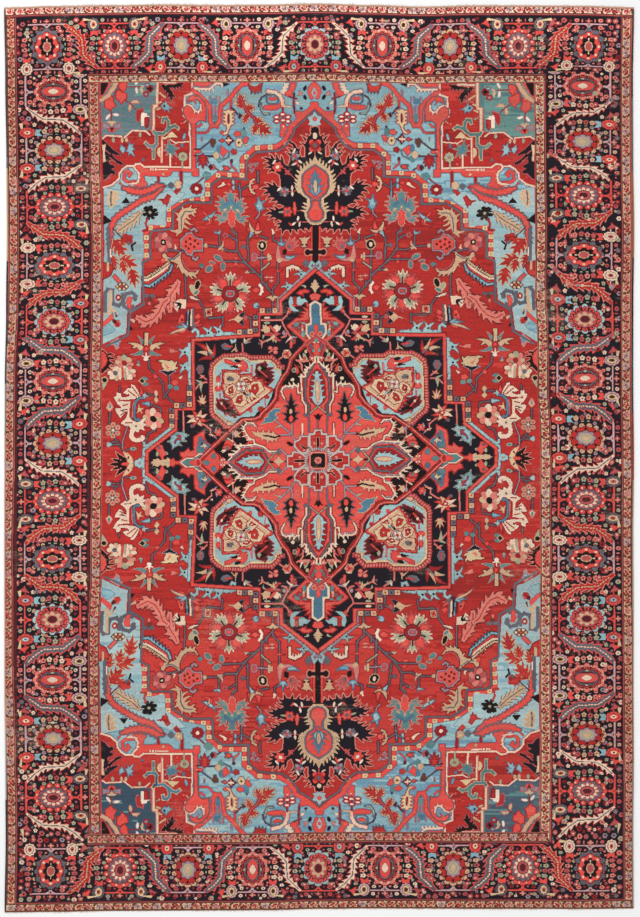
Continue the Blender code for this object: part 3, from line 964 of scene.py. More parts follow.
    pen.shape([(41.8, 155.1), (43, 156.1), (45, 155), (43, 154.1)], "coral", "crimson", 0.25)
    pen.petals(48, 154.3, 1.9, 1.7, "brown", 5, 0.24)
    pen.fill([(46.6, 153.8), (49.2, 153.8), (48.6, 151.4), (47.4, 151.4)], "brown")
    pen.petals(37.2, 149.9, 1.7, 1.5, "red", 5, 0.2)
    pen.fill([(39.8, 150), (43.8, 152.8), (44.2, 149), (42.4, 146.8), (41.4, 148.6)], "coral")
    pen.disc(44.9, 150.8, 0.95, 1.9, "blue")
    pen.petals(46.2, 147.7, 1.6, 1.9, "camel", 4, 0.14)
    pen.fill([(42.8, 146.2), (44.8, 147), (46.2, 145), (44.8, 143.8)], "teal")
    pen.petals(55.4, 149, 1.8, 1.0, "coral", 4, 0.16)
    pen.disc(57, 149.2, 0.4, 0.4, "camel")
    oakLeaf(pen, 53.1, 147.4, -90, 0.8, "red", "crimson")
    pen.disc(38.3, 145.5, 0.7, 0.9, "maroon")
    pen.shape([(38.9, 142), (40.4, 142.9), (43, 142.7), (42.2, 141.5), (43, 140.5), (40, 140.7)], "coral",
              "brown", 0.25)
    pen.disc(48, 141.5, 1.0, 1.5, "rose")
    pen.petals(49.3, 141.5, 1.1, 1.5, "maroon", 4, 0.2)
    pen.petals(51.2, 137.2, 2.1, 1.8, "teal", 5, 0.2)
    for wool, reach in (("crimson", 3.2), ("red", 2.7), ("crimson", 2.2)):
        pen.petals(56.4, 130.7, reach, reach * 0.9, wool, 8, 0.16)
    pen.disc(56.4, 130.7, 0.95, 0.9, "ivory")


def redBox(pen):
    # What stands on the red ground between the sky ground and the teal corner.
    flamed(pen, [(62.8, 181.5), (66, 181.2), (68, 180.4), (71.6, 180), (75, 179.8), (74, 178), (71.8, 177),
                 (70.6, 175.6), (70, 173.4), (69, 172.4), (68.4, 174.8), (68.6, 176.4), (69.8, 177.6),
                 (70.4, 178.8), (68, 179), (65.6, 179.4)],
           [(64.8, 180, 63.6, 178.8, 1.1, 0), (66.2, 179.6, 65.4, 178, 1.1, 0),
            (67.8, 179.2, 67.2, 177.8, 1.1, 0), (72.6, 178.4, 73.4, 176.4, 1.2, 0),
            (71.6, 177, 72.6, 175, 1.2, 0), (70.6, 175.4, 71.6, 173.6, 1.1, 0),
            (68.8, 175.4, 67.2, 174.4, 1.1, 0)], "black", "rose", 0.4)
    pen.line([(67.4, 181.3), (75.4, 181)], 0.9, "cream")
    pen.line([(71.4, 180.6), (72.6, 179.6)], 0.5, "salmon")
    flamed(pen, [(70, 169.8), (71.2, 171), (73.4, 171.4), (75, 169.8), (73.6, 168.2), (71, 168)],
           [(70.8, 169.4, 68, 169.1, 1.2, 0), (72, 171, 72.6, 172.8, 1.2, 0),
            (71, 168.6, 70.4, 166.8, 1.0, 0), (72.8, 168.6, 73.2, 166.9, 1.0, 0)], "sky", None)
    pen.disc(73.1, 169.9, 0.5, 0.5, "black")
    for points in ([(74.8, 171.6), (76.4, 171)], [(75.4, 168.6), (76.8, 168)],
                   [(72.8, 174), (74.2, 174.9), (75.4, 175.7)]):
        pen.line(points, 0.9, "camel")
    pen.disc(74.2, 172.8, 1.0, 0.7, "coral")
    flicks(pen, "sage", (75.2, 164.2, 77.4, 165.4, 1.0, 0))
    pen.petals(63.8, 162.4, 1.0, 1.1, "coral", 4, 0.3)
    pen.line([(61.2, 164), (62.6, 162.6)], 0.4, "camel")
    # teal vine and the camel bird that it meets
    pen.fill([(65.8, 155.6), (68.8, 158.4), (71, 156.4), (70, 155.2)], "straw")
    pen.line([(70.2, 156), (72.2, 154.9), (74, 155)], 0.9, "straw")
    for points in ([(73.7, 162.6), (73.4, 164), (71.8, 164.2), (70.7, 162.8), (70.6, 160.4), (71.6, 158.4),
                    (73.2, 157), (77.8, 157), (78.6, 158)], [(65.7, 160), (67.2, 161), (69.4, 160.2),
                                                             (71, 158.6)], [(76.8, 157), (76.8, 152),
                                                                            (78.3, 149.6), (78.4, 145.2)],
                   [(77.6, 151.4), (78.8, 150.6), (81, 150.8), (82.6, 152.2)]):
        pen.line(points, 1.9, "camel")
    for points in ([(73.7, 162.8), (73.4, 164), (71.8, 164.2), (70.7, 162.8), (70.6, 160.4), (71.6, 158.4),
                    (73.2, 157), (77.8, 157), (78.4, 157.8)],
                   [(66, 160.2), (67.2, 161), (69.4, 160.2), (71, 158.6)],
                   [(76.8, 157), (76.8, 152), (78.3, 149.6), (78.4, 145.4)],
                   [(77.6, 151.4), (78.8, 150.6), (81, 150.8), (82.4, 152)]):
        pen.line(points, 1.25, "teal")
    pen.line([(74, 155.2), (74, 143.2)], 1.3, "salmon")
    pen.line([(73.8, 155.2), (73.8, 143.6)], 0.6, "cream")
    pen.fill([(74.6, 150.6), (76, 150), (76.6, 148), (76, 146.4), (74.8, 145.6)], "straw")
    pen.line([(60, 153.7), (67, 152.9), (69.4, 154.2)], 0.6, "cream")
    pen.fill([(61.3, 157.9), (62.6, 157.6), (63.4, 155.2), (62.8, 154.2), (61.8, 155.4)], "sky")
    pen.box(62.8, 150.8, 64.2, 152.6, "blue")
    flamed(pen, [(67, 150.2), (68.6, 152), (70.4, 152.2), (71.6, 150.6), (71, 148.4), (69, 147),
                 (67.4, 148)], [(70, 151.6, 70.6, 154.6, 1.5, 0), (71, 151, 72.8, 152, 1.2, 0),
                                (71.2, 149.4, 73, 149, 1.2, 0), (70.4, 147.8, 71.6, 146.6, 1.2, 0),
                                (68.8, 147.6, 68.2, 145.6, 1.2, 0), (67.6, 148.4, 65.8, 145.8, 1.3, 0),
                                (67.4, 150, 64.6, 150.4, 1.3, 0), (68, 151.4, 66.4, 152.4, 1.1, 0)],
           "teal", "salmon", 0.25)
    pen.fill([(68, 149.6), (69.4, 151), (70.6, 150), (69, 148.4)], "blue")
    beadRing(pen, 63, 146.2, 1.5, 1.5, "sage", 8, 0.9)
    pen.disc(63, 146.2, 1.5, 1.5, "sage")
    pen.disc(63, 146.2, 0.8, 0.8, "crimson")
    pen.disc(63, 146.2, 0.4, 0.4, "sage")
    pen.line([(63.2, 144.2), (63.2, 141)], 0.9, "sage")
    pen.line([(69.4, 147), (69.4, 141)], 0.9, "cream")
    petalled(pen, 83.8, 144.3, 0.9, ["sky"], None, "slate", 4)
    pen.disc(66.6, 142.8, 0.9, 0.8, "coral")


def tealCorner(pen):
    teal = [(77.5, 182.4), (77.5, 171), (79.9, 169.4), (79.9, 158.8), (82.6, 157.9), (89.6, 158),
            (93.8, 154.9), (95.2, 155.6), (102.6, 155.6), (104.8, 154), (104.8, 182.4)]
    pen.line(teal, 0.9, "rose", closed=True)
    pen.fill(teal, "teal")
    for wool, width in (("rose", 1.8), ("camel", 1.3), ("cream", 0.6)):
        pen.line([(76.8, 182.4), (76.8, 171)], width, wool)
        pen.line([(77, 169.6), (78.5, 169.4), (78.5, 159)], width, wool)
    for points in ([(80.4, 156), (82.6, 157.7), (89.6, 157.8), (93.6, 154.6)],
                   [(95, 155), (102.6, 155.4), (104.8, 153.8)]):
        pen.line(points, 0.95, "rose")
        pen.line(points, 0.65, "cream")
    for x, y, wool in ((85.6, 156, "sage"), (92.6, 153.4, "camel"), (94.8, 153.4, "camel"),
                       (99.2, 153.4, "sage")):
        pen.disc(x, y, 0.75, 1.2, wool)
    # flower with a black star
    for x, y, rx, ry in ((82, 179.2, 1.4, 1.2), (82.6, 174.9, 1.7, 1.5), (80.6, 177.6, 1.9, 1.9)):
        pen.disc(x, y, rx, ry, "crimson")
    pen.disc(82, 179.3, 1.0, 0.8, "sky")
    pen.disc(82.6, 174.9, 1.2, 1.0, "coral")
    pen.disc(82.6, 174.8, 0.8, 0.6, "sky")
    pen.fill([(79, 177.5), (80, 177.9), (80.2, 179), (81.2, 178), (83, 177.6), (81, 177.1), (80.2, 175.6),
              (80, 177)], "black")
    pen.fill([(83, 179.2), (85, 178.9), (85.8, 177), (84.6, 174.9), (84, 176.6), (84.4, 177.8)], "camel")
    pen.line([(85.6, 178.4), (92, 178.4)], 0.55, "crimson")
    for x, y, turn in ((87.2, 180.6, 28), (87.3, 176.5, -8), (97.6, 164.9, -84), (101.5, 163.8, 38)):
        with pen.moved(x, y, turn):
            pen.disc(0, 0, 0.85, 1.75, "lilac")
            pen.disc(0, 0, 0.6, 1.5, "ivory")
    # coral petals under a camel ridge, and the black corner beyond
    pen.line([(96.4, 178.6), (97.6, 175.4), (98.8, 172.4)], 1.6, "slate")
    for body in ([(91.8, 180.6), (93.4, 181), (96, 179.8), (96, 177.6), (94, 175.8), (92.4, 177.4)],
                 [(92, 175), (94.2, 175.6), (96, 176.8), (97.6, 176), (97.6, 172.6), (95.8, 171.4),
                  (95, 169.8), (93.6, 171.4), (92.2, 172.6)],
                 [(99, 174), (101, 173.2), (103.2, 171.4), (103.2, 168.6), (101, 167.4), (100.2, 166.4),
                  (99.4, 168), (97.6, 169), (98.6, 171)]):
        pen.line(body, 0.5, "crimson", closed=True)
        pen.fill(body, "coral")
    for width, wool in ((2.2, "rose"), (1.7, "camel")):
        pen.line([(96.2, 181.8), (97.4, 180), (98.4, 178), (100, 176), (101.2, 174), (103.4, 172.6),
                  (104.6, 172)], width, wool)
    beadRing(pen, 99.6, 176.6, 3.4, 4.4, "sage", 1, 0.8, 0.22)
    pen.line([(98.8, 182.2), (101.4, 178), (104.8, 173.6)], 1.2, "coral")
    pen.fill([(100, 182.4), (104.9, 182.4), (104.9, 174.2), (103.6, 174.8), (101.8, 178.4)], "black")
    pen.shape([(85.4, 170.4), (87.4, 172.2), (89.4, 171.8), (90.4, 170.4)], "camel", "rose", 0.25)
    pen.line([(93, 171.8), (90, 170), (87.6, 167.2)], 0.55, "crimson")
    with pen.moved(90.7, 168.2, 8):
        pen.disc(0, 0, 0.95, 1.9, "rose")
        pen.disc(0, 0, 0.7, 1.6, "camel")
    # tulip
    pen.fill([(83.6, 168.6), (85.4, 168), (87.4, 167.4), (88, 164.4), (87.6, 161.6), (86.2, 161.4),
              (85.4, 163.4), (83.6, 166.4)], "rose")
    pen.fill([(84, 168), (85.4, 167.2), (87.2, 166.8), (87.4, 162.6), (86.2, 162), (85.4, 164.4)], "red")
    pen.fill([(80.6, 164.2), (81, 160), (82.2, 158.6), (83.6, 160.4), (83.8, 164.6)], "crimson")
    pen.fill([(81.2, 163.8), (81.6, 160.4), (82.4, 159.6), (83, 160.6), (83.2, 164)], "red")
    pen.fill([(80.4, 164.4), (82, 165), (82, 165.8), (84.8, 166.2), (85.2, 164.2), (85.1, 160),
              (83.4, 160), (83.4, 164.2)], "ivory")
    # hanging flower
    pen.line([(100, 166.8), (99.8, 161.8)], 0.6, "crimson")
    for side in (-1, 1):
        pen.shape([(99.8 + 1 * side, 160.2), (99.8 + 4.2 * side, 161), (99.8 + 4.4 * side, 158.6),
                   (99.8 + 1 * side, 158.8)], "lilac", "rose", 0.4)
        pen.fill([(99.8 + 1.4 * side, 159.9), (99.8 + 2.8 * side, 159.9), (99.8 + 2.8 * side, 159.2),
                  (99.8 + 1.4 * side, 159.2)], "sky")
    pen.disc(99.8, 158, 2.0, 1.3, "coral")
    pen.fill([(97.4, 161.2), (98.6, 162), (101, 162), (102.2, 161.2), (100.8, 160.8), (99.8, 159.4),
              (98.8, 160.8)], "camel")
    pen.fill([(98.7, 159), (100.9, 159), (99.8, 157.2)], "maroon")


def cornerGround(pen):
    # Sky and pale grounds under the red box, with the coral beam between.
    pen.fill([(72, 112), (72, 119.6), (63.6, 125), (53, 127), (53, 134), (57, 139.6), (86, 140),
              (104.8, 136), (104.8, 97), (84, 97), (84, 110), (80.6, 112.8)], "sky")
    pen.fill([(72, 112), (72, 119.6), (66, 124), (62, 128), (70, 129.4), (80, 125.4), (88, 128),
              (104.8, 131), (104.8, 97), (84, 97), (84, 110), (80.6, 112.8)], "pale")
    red = [(59, 182.4), (59, 177), (62.6, 175.6), (62.8, 171), (63.4, 169), (63, 166), (60, 163),
           (60, 141), (83.4, 141), (85.6, 142.4), (88.6, 142.2), (93, 141.6), (97, 138), (97.2, 135.6),
           (100.6, 132.6), (104.8, 131.4), (104.8, 182.4)]
    pen.fill(red, "red")
    # coral beam
    pen.fill([(56.8, 140.6), (83.6, 140.6), (85.6, 142), (88.4, 141.8), (89, 140.4), (87, 138.4),
              (86, 136), (87, 133.4), (92, 132.4), (96, 133.8), (97.4, 133.2), (94.8, 131.2), (88, 130.6),
              (83, 130.8), (81.2, 132.6), (83, 134.2), (83.4, 136.6), (80.6, 136.4), (76.4, 136.2),
              (76.2, 132.6), (75, 132.6), (74.8, 136.2), (71, 136.2), (69.2, 137), (68, 138.8),
              (65, 138.8), (64.6, 131.6), (63.4, 131.6), (63.2, 138.8), (58.6, 138.8), (56.8, 137)],
             "coral")
    pen.line([(64, 138.8), (64, 131.4)], 0.9, "crimson")
    pen.line([(75.6, 136), (75.6, 132.4)], 0.8, "crimson")
    pen.petals(73.1, 137.5, 0.8, 0.8, "camel", 4, 0.2)
    pen.line([(71, 139.8), (76, 139.7)], 0.7, "cream")
    for x in (77, 78.5, 79.8):
        pen.box(x - 0.45, 139.1, x + 0.45, 140.3, "cream")
    # scroll
    pen.disc(91.2, 136.8, 4.9, 4.3, "sky")
    pen.line([(89, 133.6), (92.6, 133.4), (94.4, 135), (94.2, 138), (92.4, 139), (91, 137.8),
              (91.8, 136.8)], 1.7, "coral")
    pen.line([(90, 132), (94.4, 132.6), (96.2, 134.6)], 1.2, "pale")
    cream = [(60, 171.4), (62, 171), (63.2, 169.2), (62.8, 166.2), (60.6, 164.2), (59.6, 162.8),
             (59.7, 157), (59.2, 155.6), (59.4, 141), (83.4, 140.9), (85.6, 142.4), (88, 142.3),
             (89.2, 141.2), (88.4, 139.8), (86.9, 138.6), (86.4, 136.6), (86.6, 134.4), (88, 132.9),
             (91.6, 132.7)]
    rim = [(89, 141.4), (92.8, 141.4), (95, 140), (96.9, 137.8), (97, 135.4), (100.6, 132.3), (104.8, 131)]
    top = [(58.6, 182), (58.6, 176.8), (60, 176.3), (62.3, 175.4), (62.4, 171)]
    for width, wool in ((1.25, "rose"), (0.8, "cream")):
        for points in (cream, rim, top):
            pen.line(points, width, wool)
    for y in (162.4, 161.2, 160):
        pen.box(58, y - 0.35, 59.8, y + 0.35, "cream")
    pen.fill([(59.6, 156.6), (58.2, 155.6), (58, 153.4), (59.6, 153.2)], "cream")
    for x, y in ((86.2, 137.6), (86, 135.6), (87, 133.2)):
        pen.box(x - 0.6, y - 0.3, x + 0.5, y + 0.3, "cream")


def redSide(pen):
    # The sky leaf and the black half palmette beside the guard.
    flamed(pen, [(89.6, 151.4), (91.6, 151.4), (92.4, 149.6), (91.6, 147.4), (90, 147.4), (89.2, 149.4)],
           [(91, 151, 91.6, 153.2, 1.2, 0), (90, 151, 88.6, 152, 1.1, 0), (89.8, 149.6, 87.8, 149, 1.2, 0),
            (90.2, 148, 88.2, 145.4, 1.4, 0), (91.2, 147.8, 92, 145.8, 1.1, 0),
            (92, 148.8, 93.6, 148, 1.1, 0)], "sky", None)
    pen.fill([(93.2, 150), (94.6, 150.6), (95.8, 151.8), (96.2, 149.2), (94.6, 147), (93.6, 148.6)], "sky")
    petalled(pen, 93, 151.6, 1.3, ["crimson"], None, "red", 5)
    black = [(104.8, 153.8), (102, 151.4), (99.8, 149.2), (97.2, 147.6), (96, 146.4), (98.6, 146.8),
             (100.6, 147.4), (99.4, 145.6), (97.2, 144), (94.8, 142.8), (95.2, 141.8), (98, 142.8),
             (100.4, 144.4), (101.8, 144.2), (101.8, 142.6), (99.4, 141.6), (99, 140.6), (101, 140),
             (99, 138.8), (99.2, 137.4), (101.4, 137.6), (103, 135.6), (104.8, 134.4)]
    pen.line(black, 0.8, "rose")
    pen.fill(black, "navy")
    for points in ([(98.6, 143.4), (101.4, 145.4)], [(101.2, 147.2), (103, 148.6)],
                   [(100.6, 137.4), (104, 134.4)]):
        pen.line(points, 0.6, "rose")
    pen.fill([(103, 151.6), (104.8, 151.2), (104.8, 143.2), (103.4, 143.6), (103.8, 147.6)], "camel")
    pen.line([(104, 151), (104.2, 144)], 0.4, "cream")


def cornerMotifs(pen):
    cornerGround(pen)
    tealCorner(pen)
    redBox(pen)
    redSide(pen)
    # serrated coral vines over the pale ground
    for points, half in (([(72.6, 131.6), (76, 131.4), (80, 129.6), (84.6, 128.6), (90, 129.2),
                           (95.6, 131)], 1.1), ([(73.6, 130.4), (78, 126.6), (85, 124.4), (90, 121.8),
                                                 (95, 119), (98.6, 116.4), (101, 112), (101.8, 98)], 1.0)):
        sawLeaf(pen, points, {"rim": "slate", "body": "coral", "vein": "coral", "half": half, "edge": 0.7,
                              "tooth": 0.9, "inner": 1, "dashes": False}, 2.4)
    pen.fill([(91.2, 123.4), (96, 123.4), (94.8, 125), (93.6, 126.4), (92.4, 125)], "black")
    pen.fill([(92.6, 123), (94.8, 123), (93.6, 121.8)], "sky")
    flamed(pen, [(98.4, 129), (101.6, 129.6), (102.6, 126.6), (102.6, 123), (101, 121), (99.8, 122.6),
                 (98.8, 126)], [(99, 127.6, 97, 128.4, 1.4, 0), (99, 125.6, 96.8, 126, 1.4, 0),
                                (99.6, 123.6, 97.8, 123.6, 1.2, 0)], "camel", "straw", 0.3)
    pen.line([(101, 129), (101.4, 125), (101, 122.4)], 0.7, "slate")
    # black flower
    for x, y, rx, ry in ((79.6, 118.4, 2.6, 2.2), (77.4, 119.6, 1.4, 0.9), (77, 117.4, 1.4, 0.8),
                         (81.8, 120.6, 1.6, 1.1), (79.4, 121, 1.2, 1.0), (82.6, 117.8, 1.4, 0.9),
                         (81, 115.8, 1.2, 0.9), (78.4, 115.9, 1.0, 0.7)):
        pen.disc(x, y, rx, ry, "black")
    flicks(pen, "black", (78, 118, 75, 118.6, 0.9, 0), (80, 120, 80.6, 122.6, 0.9, 0),
           (81.6, 119.4, 84.4, 119.4, 0.9, 0))
    pen.disc(79.9, 118.6, 0.8, 0.7, "sage")
    pen.line([(81.4, 115.6), (82.4, 113.4), (82, 110.6), (84.2, 110.2)], 1.1, "red")
    sawLeaf(pen, [(84.4, 119.4), (88.4, 115.6), (93.4, 112.6), (98, 109.6)],
            {"rim": "maroon", "body": "camel", "vein": "slate", "half": 1.2, "edge": 0.35, "tooth": 2.0,
             "inner": 1, "dashes": False}, 2.6)
    pen.fill([(100.6, 114.8), (104.8, 118), (104.8, 113)], "black")
    pen.petals(92.5, 106.2, 3.6, 2.9, "red", 5, 0.24)
    pen.petals(92.1, 105.6, 2.2, 1.6, "crimson", 4, 0.3)
    pen.line([(88.3, 104.6), (90.1, 103.2), (89.5, 101)], 1.0, "black")
    pen.petals(65.6, 132.4, 2.0, 2.2, "camel", 5, 0.24)
    pen.disc(65.6, 132.6, 0.6, 0.6, "straw")
    pen.petals(69.2, 131.8, 1.6, 1.5, "slate", 4, 0.2)
    pen.fill([(64, 130.2), (66.6, 130.6), (68.2, 128.6), (66.6, 127)], "red")
    pen.fill([(71.2, 131.8), (73.4, 131.4), (72.4, 130.4)], "red")
    flamed(pen, [(69.4, 126.2), (71, 127.4), (72.4, 125.4), (73.8, 124.2), (73, 122.6), (70.6, 123)],
           [(72.6, 124, 75.8, 124.6, 1.2, 0.3), (71.4, 123.4, 71.6, 121.4, 1.2, 0)], "red", "crimson", 0.25)


def edgeMotifs(pen):
    # Pale ground down the side, from the teal corner to the field's edge.
    pen.fill([(87, 98), (87, 96), (88.6, 76.6), (95.4, 72.6), (96, 62.6), (99, 61.4), (107.4, 55.8),
              (107.4, 98)], "pale")
    # red leaves with camel edges
    oakLeaf(pen, 101.6, 105.6, -128, 1.25, "red", "camel", "coral")
    oakLeaf(pen, 103.6, 98, -115, 0.8, "red", "camel")
    oakLeaf(pen, 98.4, 96.6, -160, 1.2, "red", "camel", "coral")
    oakLeaf(pen, 97.6, 95.6, -100, 0.8, "red", "camel")
    oakLeaf(pen, 92.6, 91.6, -100, 1.1, "red", "camel", "coral")
    # red bird with a dark tail
    pen.fill([(92.8, 107.4), (97, 107.4), (98.4, 105.4), (97.2, 103.4), (95.6, 105.2), (93.6, 105.6)],
             "red")
    flicks(pen, "slate", (94.4, 105.2, 91.6, 103.4, 1.3, 0.3), (94.8, 104.8, 93.2, 103, 1.1, 0))
    pen.line([(97.2, 107), (100, 109.4), (102, 111.4)], 0.6, "maroon")
    for points in ([(104.6, 110.4), (104.6, 94.6)],):
        pen.line(points, 1.9, "slate")
    pen.box(103.4, 97.6, 104.1, 101.6, "ivory")
    flamed(pen, [(107.6, 95), (104.6, 94.4), (102.6, 92), (104, 88.8), (107.6, 86.8)],
           [(104, 94, 101.4, 91.6, 1.3, 0)], "red", "maroon", 0.35)
    pen.box(104.8, 90.6, 106, 95, "camel")
    # trellis of beads
    ring = [(94.4, 83.4), (96.4, 85.4), (100, 85.4), (102, 83.4), (100, 81.4), (96.4, 81.4)]
    pen.fill(ring, "brown")
    for x, y, wool in ((95.8, 83.4, "cream"), (97.2, 84.6, "camel"), (99.4, 84.6, "cream"),
                       (100.6, 83.4, "camel"), (99.4, 82.2, "cream"), (97.2, 82.2, "camel"),
                       (98.3, 83.4, "coral")):
        pen.disc(x, y, 0.65, 0.6, wool)
    pen.line([(99.8, 86), (102, 88.2)], 2.4, "slate")
    pen.line([(99.8, 86), (102, 88.2)], 1.6, "coral")
    # scrolls
    for points in ([(90.8, 79.2), (93, 80.8), (96, 80), (97.4, 77.6), (97, 74.6), (94.4, 73.2),
                    (92.4, 74.6)], [(98, 79.6), (97.8, 76), (99.6, 74.6), (102.4, 75.2), (103, 78.4),
                                    (102.8, 81.6), (105.4, 82), (106.4, 80.4), (106.4, 72)]):
        pen.line(points, 1.7, "slate")
    pen.disc(91.4, 78.4, 1.3, 1.5, "slate")
    pen.fill(toothed([(93, 78.8), (95, 78.6), (96, 76.6), (95, 74.2), (93.6, 73.4), (93.4, 76)], 0.4, 1.2),
             "coral")
    pen.disc(100, 78.2, 1.4, 1.6, "red")
    pen.disc(100, 78.2, 0.6, 0.6, "cream")
    pen.line([(103.6, 81), (103.8, 76), (104.4, 71)], 1.5, "camel")
    flicks(pen, "camel", (104, 73.6, 99.6, 70.8, 1.8, 0.2), (104, 71.4, 107, 70, 1.6, 0))
    flicks(pen, "maroon", (100.6, 69.6, 101.6, 72, 1.2, 0))
    pen.fill([(102.6, 71.4), (107.4, 66.8), (107.4, 64.4), (102, 68.8)], "coral")
    pen.petals(100.4, 66.8, 1.9, 1.8, "coral", 6, 0.2)
    pen.disc(101.8, 67.6, 1.0, 1.0, "maroon")
    pen.disc(100.2, 66.4, 0.8, 0.8, "red")
    pen.fill([(101, 64), (104.6, 66.4), (107.4, 64), (107.4, 60), (103, 62)], "sky")


def tealPalmette(pen):
    half = [(0, 129.4), (1.5, 128.8), (1.7, 123.4), (2.9, 123.2), (3.3, 125.8), (5.2, 126), (5.4, 123),
            (6.3, 121.2), (5.0, 120), (4.5, 118.6), (5.4, 116.8), (6.6, 116.2), (5.4, 115), (3.6, 115.2),
            (2.4, 116.4), (1.5, 119.6), (0, 120.4)]
    fingers = [(0, 128.6, 0, 130.8, 1.3, 0)]
    for side in (-1, 1):
        fingers += [(x0 * side, y0, x1 * side, y1, width, bend * side) for x0, y0, x1, y1, width,
                    bend in ((1.0, 128.2, 3.2, 129.2, 1.1, 0.3), (1.4, 126.4, 2.6, 127.6, 0.8, 0.2),
                             (3.6, 125.2, 3.4, 127.4, 1.0, 0), (4.8, 125.2, 6.8, 127.2, 1.2, 0.3),
                             (5.0, 123.8, 7.8, 124.4, 1.2, 0.3), (5.6, 121.6, 8.2, 122.6, 1.1, 0.3),
                             (4.6, 119.6, 6.6, 120.2, 0.9, 0.2), (5.0, 116.8, 8.8, 117.8, 1.6, 0.5),
                             (5.6, 115.8, 8, 115.6, 1.2, 0.3), (4.4, 115.6, 6.2, 113.6, 1.2, 0.3))]
    flamed(pen, bothSides(half), fingers, "teal", "salmon", 0.45)
    pen.fill(bothSides([(0, 124.6), (1.2, 123.4), (3.4, 121.8), (4.6, 122.6), (3.6, 124), (0, 126.6)]),
             "blue")
    for side in (-1, 1):
        with pen.moved(3.4 * side, 118.2, 20 * side):
            pen.disc(0, 0, 1.5, 2.1, "salmon")
            pen.disc(0, 0, 1.2, 1.8, "teal")
        with pen.moved(3.2 * side, 120.9, -25 * side):
            pen.disc(0, 0, 1.1, 0.5, "camel")
    pen.fill(bothSides([(0, 122.4), (0.7, 120.6), (2.2, 119.6), (1.7, 118), (2.4, 116.6), (1.6, 115.8),
                        (1.9, 114.2), (0, 111.6)]), "salmon")
    pen.fill(bothSides([(0, 121.6), (0.5, 120), (1.8, 119.2), (1.2, 118), (1.8, 116.8), (1.1, 116),
                        (1.2, 114), (0, 113)]), "coral")
    pen.disc(0, 122.2, 0.5, 0.7, "camel")
    pen.line([(0, 112.6), (0, 110.4), (-2, 109)], 0.6, "slate")


def serratedPetal(pen, wool, edge, core):
    # One petal of a great rosette, pointing along +x.
    body = [(3.2, 0.9), (4.6, 1.5), (6.6, 1.7), (8, 0.9), (8.6, 0), (8, -0.9), (6.6, -1.7), (4.6, -1.5),
            (3.2, -0.9)]
    fingers = [(7.6, 0, 10.2, 0, 1.4, 0)]
    for side in (-1, 1):
        fingers += [(6.6, 0.9 * side, 9.4, 2.0 * side, 1.0, 0.2 * side),
                    (5.4, 1.0 * side, 7.6, 2.8 * side, 1.0, 0.2 * side),
                    (4.2, 1.0 * side, 5.6, 2.5 * side, 0.8, 0.2 * side)]
    flamed(pen, body, fingers, wool, edge, 0.4)
    pen.fill([(3.2, 0.4), (6.4, 0.5), (7.2, 0), (6.4, -0.5), (3.2, -0.4)], core)


def greatRosette(pen, x, y, size=1.0):
    for k in range(10):
        turn = 90 + 36 * k
        with pen.moved(x, y, turn, wide=size, tall=size):
            if k % 2:
                serratedPetal(pen, "coral", "rose", "coral")
            else:
                serratedPetal(pen, "sage", "cream", "maroon")
    pen.disc(x, y, 4.3 * size, 4.1 * size, "maroon")
    pen.disc(x, y, 3.9 * size, 3.7 * size, "crimson")
    pen.petals(x, y, 2.3 * size, 1.8 * size, "lilac", 4, 0.08, math.pi / 4)
    pen.box(x - 1.5, y - 1.05, x + 1.5, y + 1.05, "slate")
    pen.box(x - 1.1, y - 0.8, x + 1.1, y + 0.8, "coral")


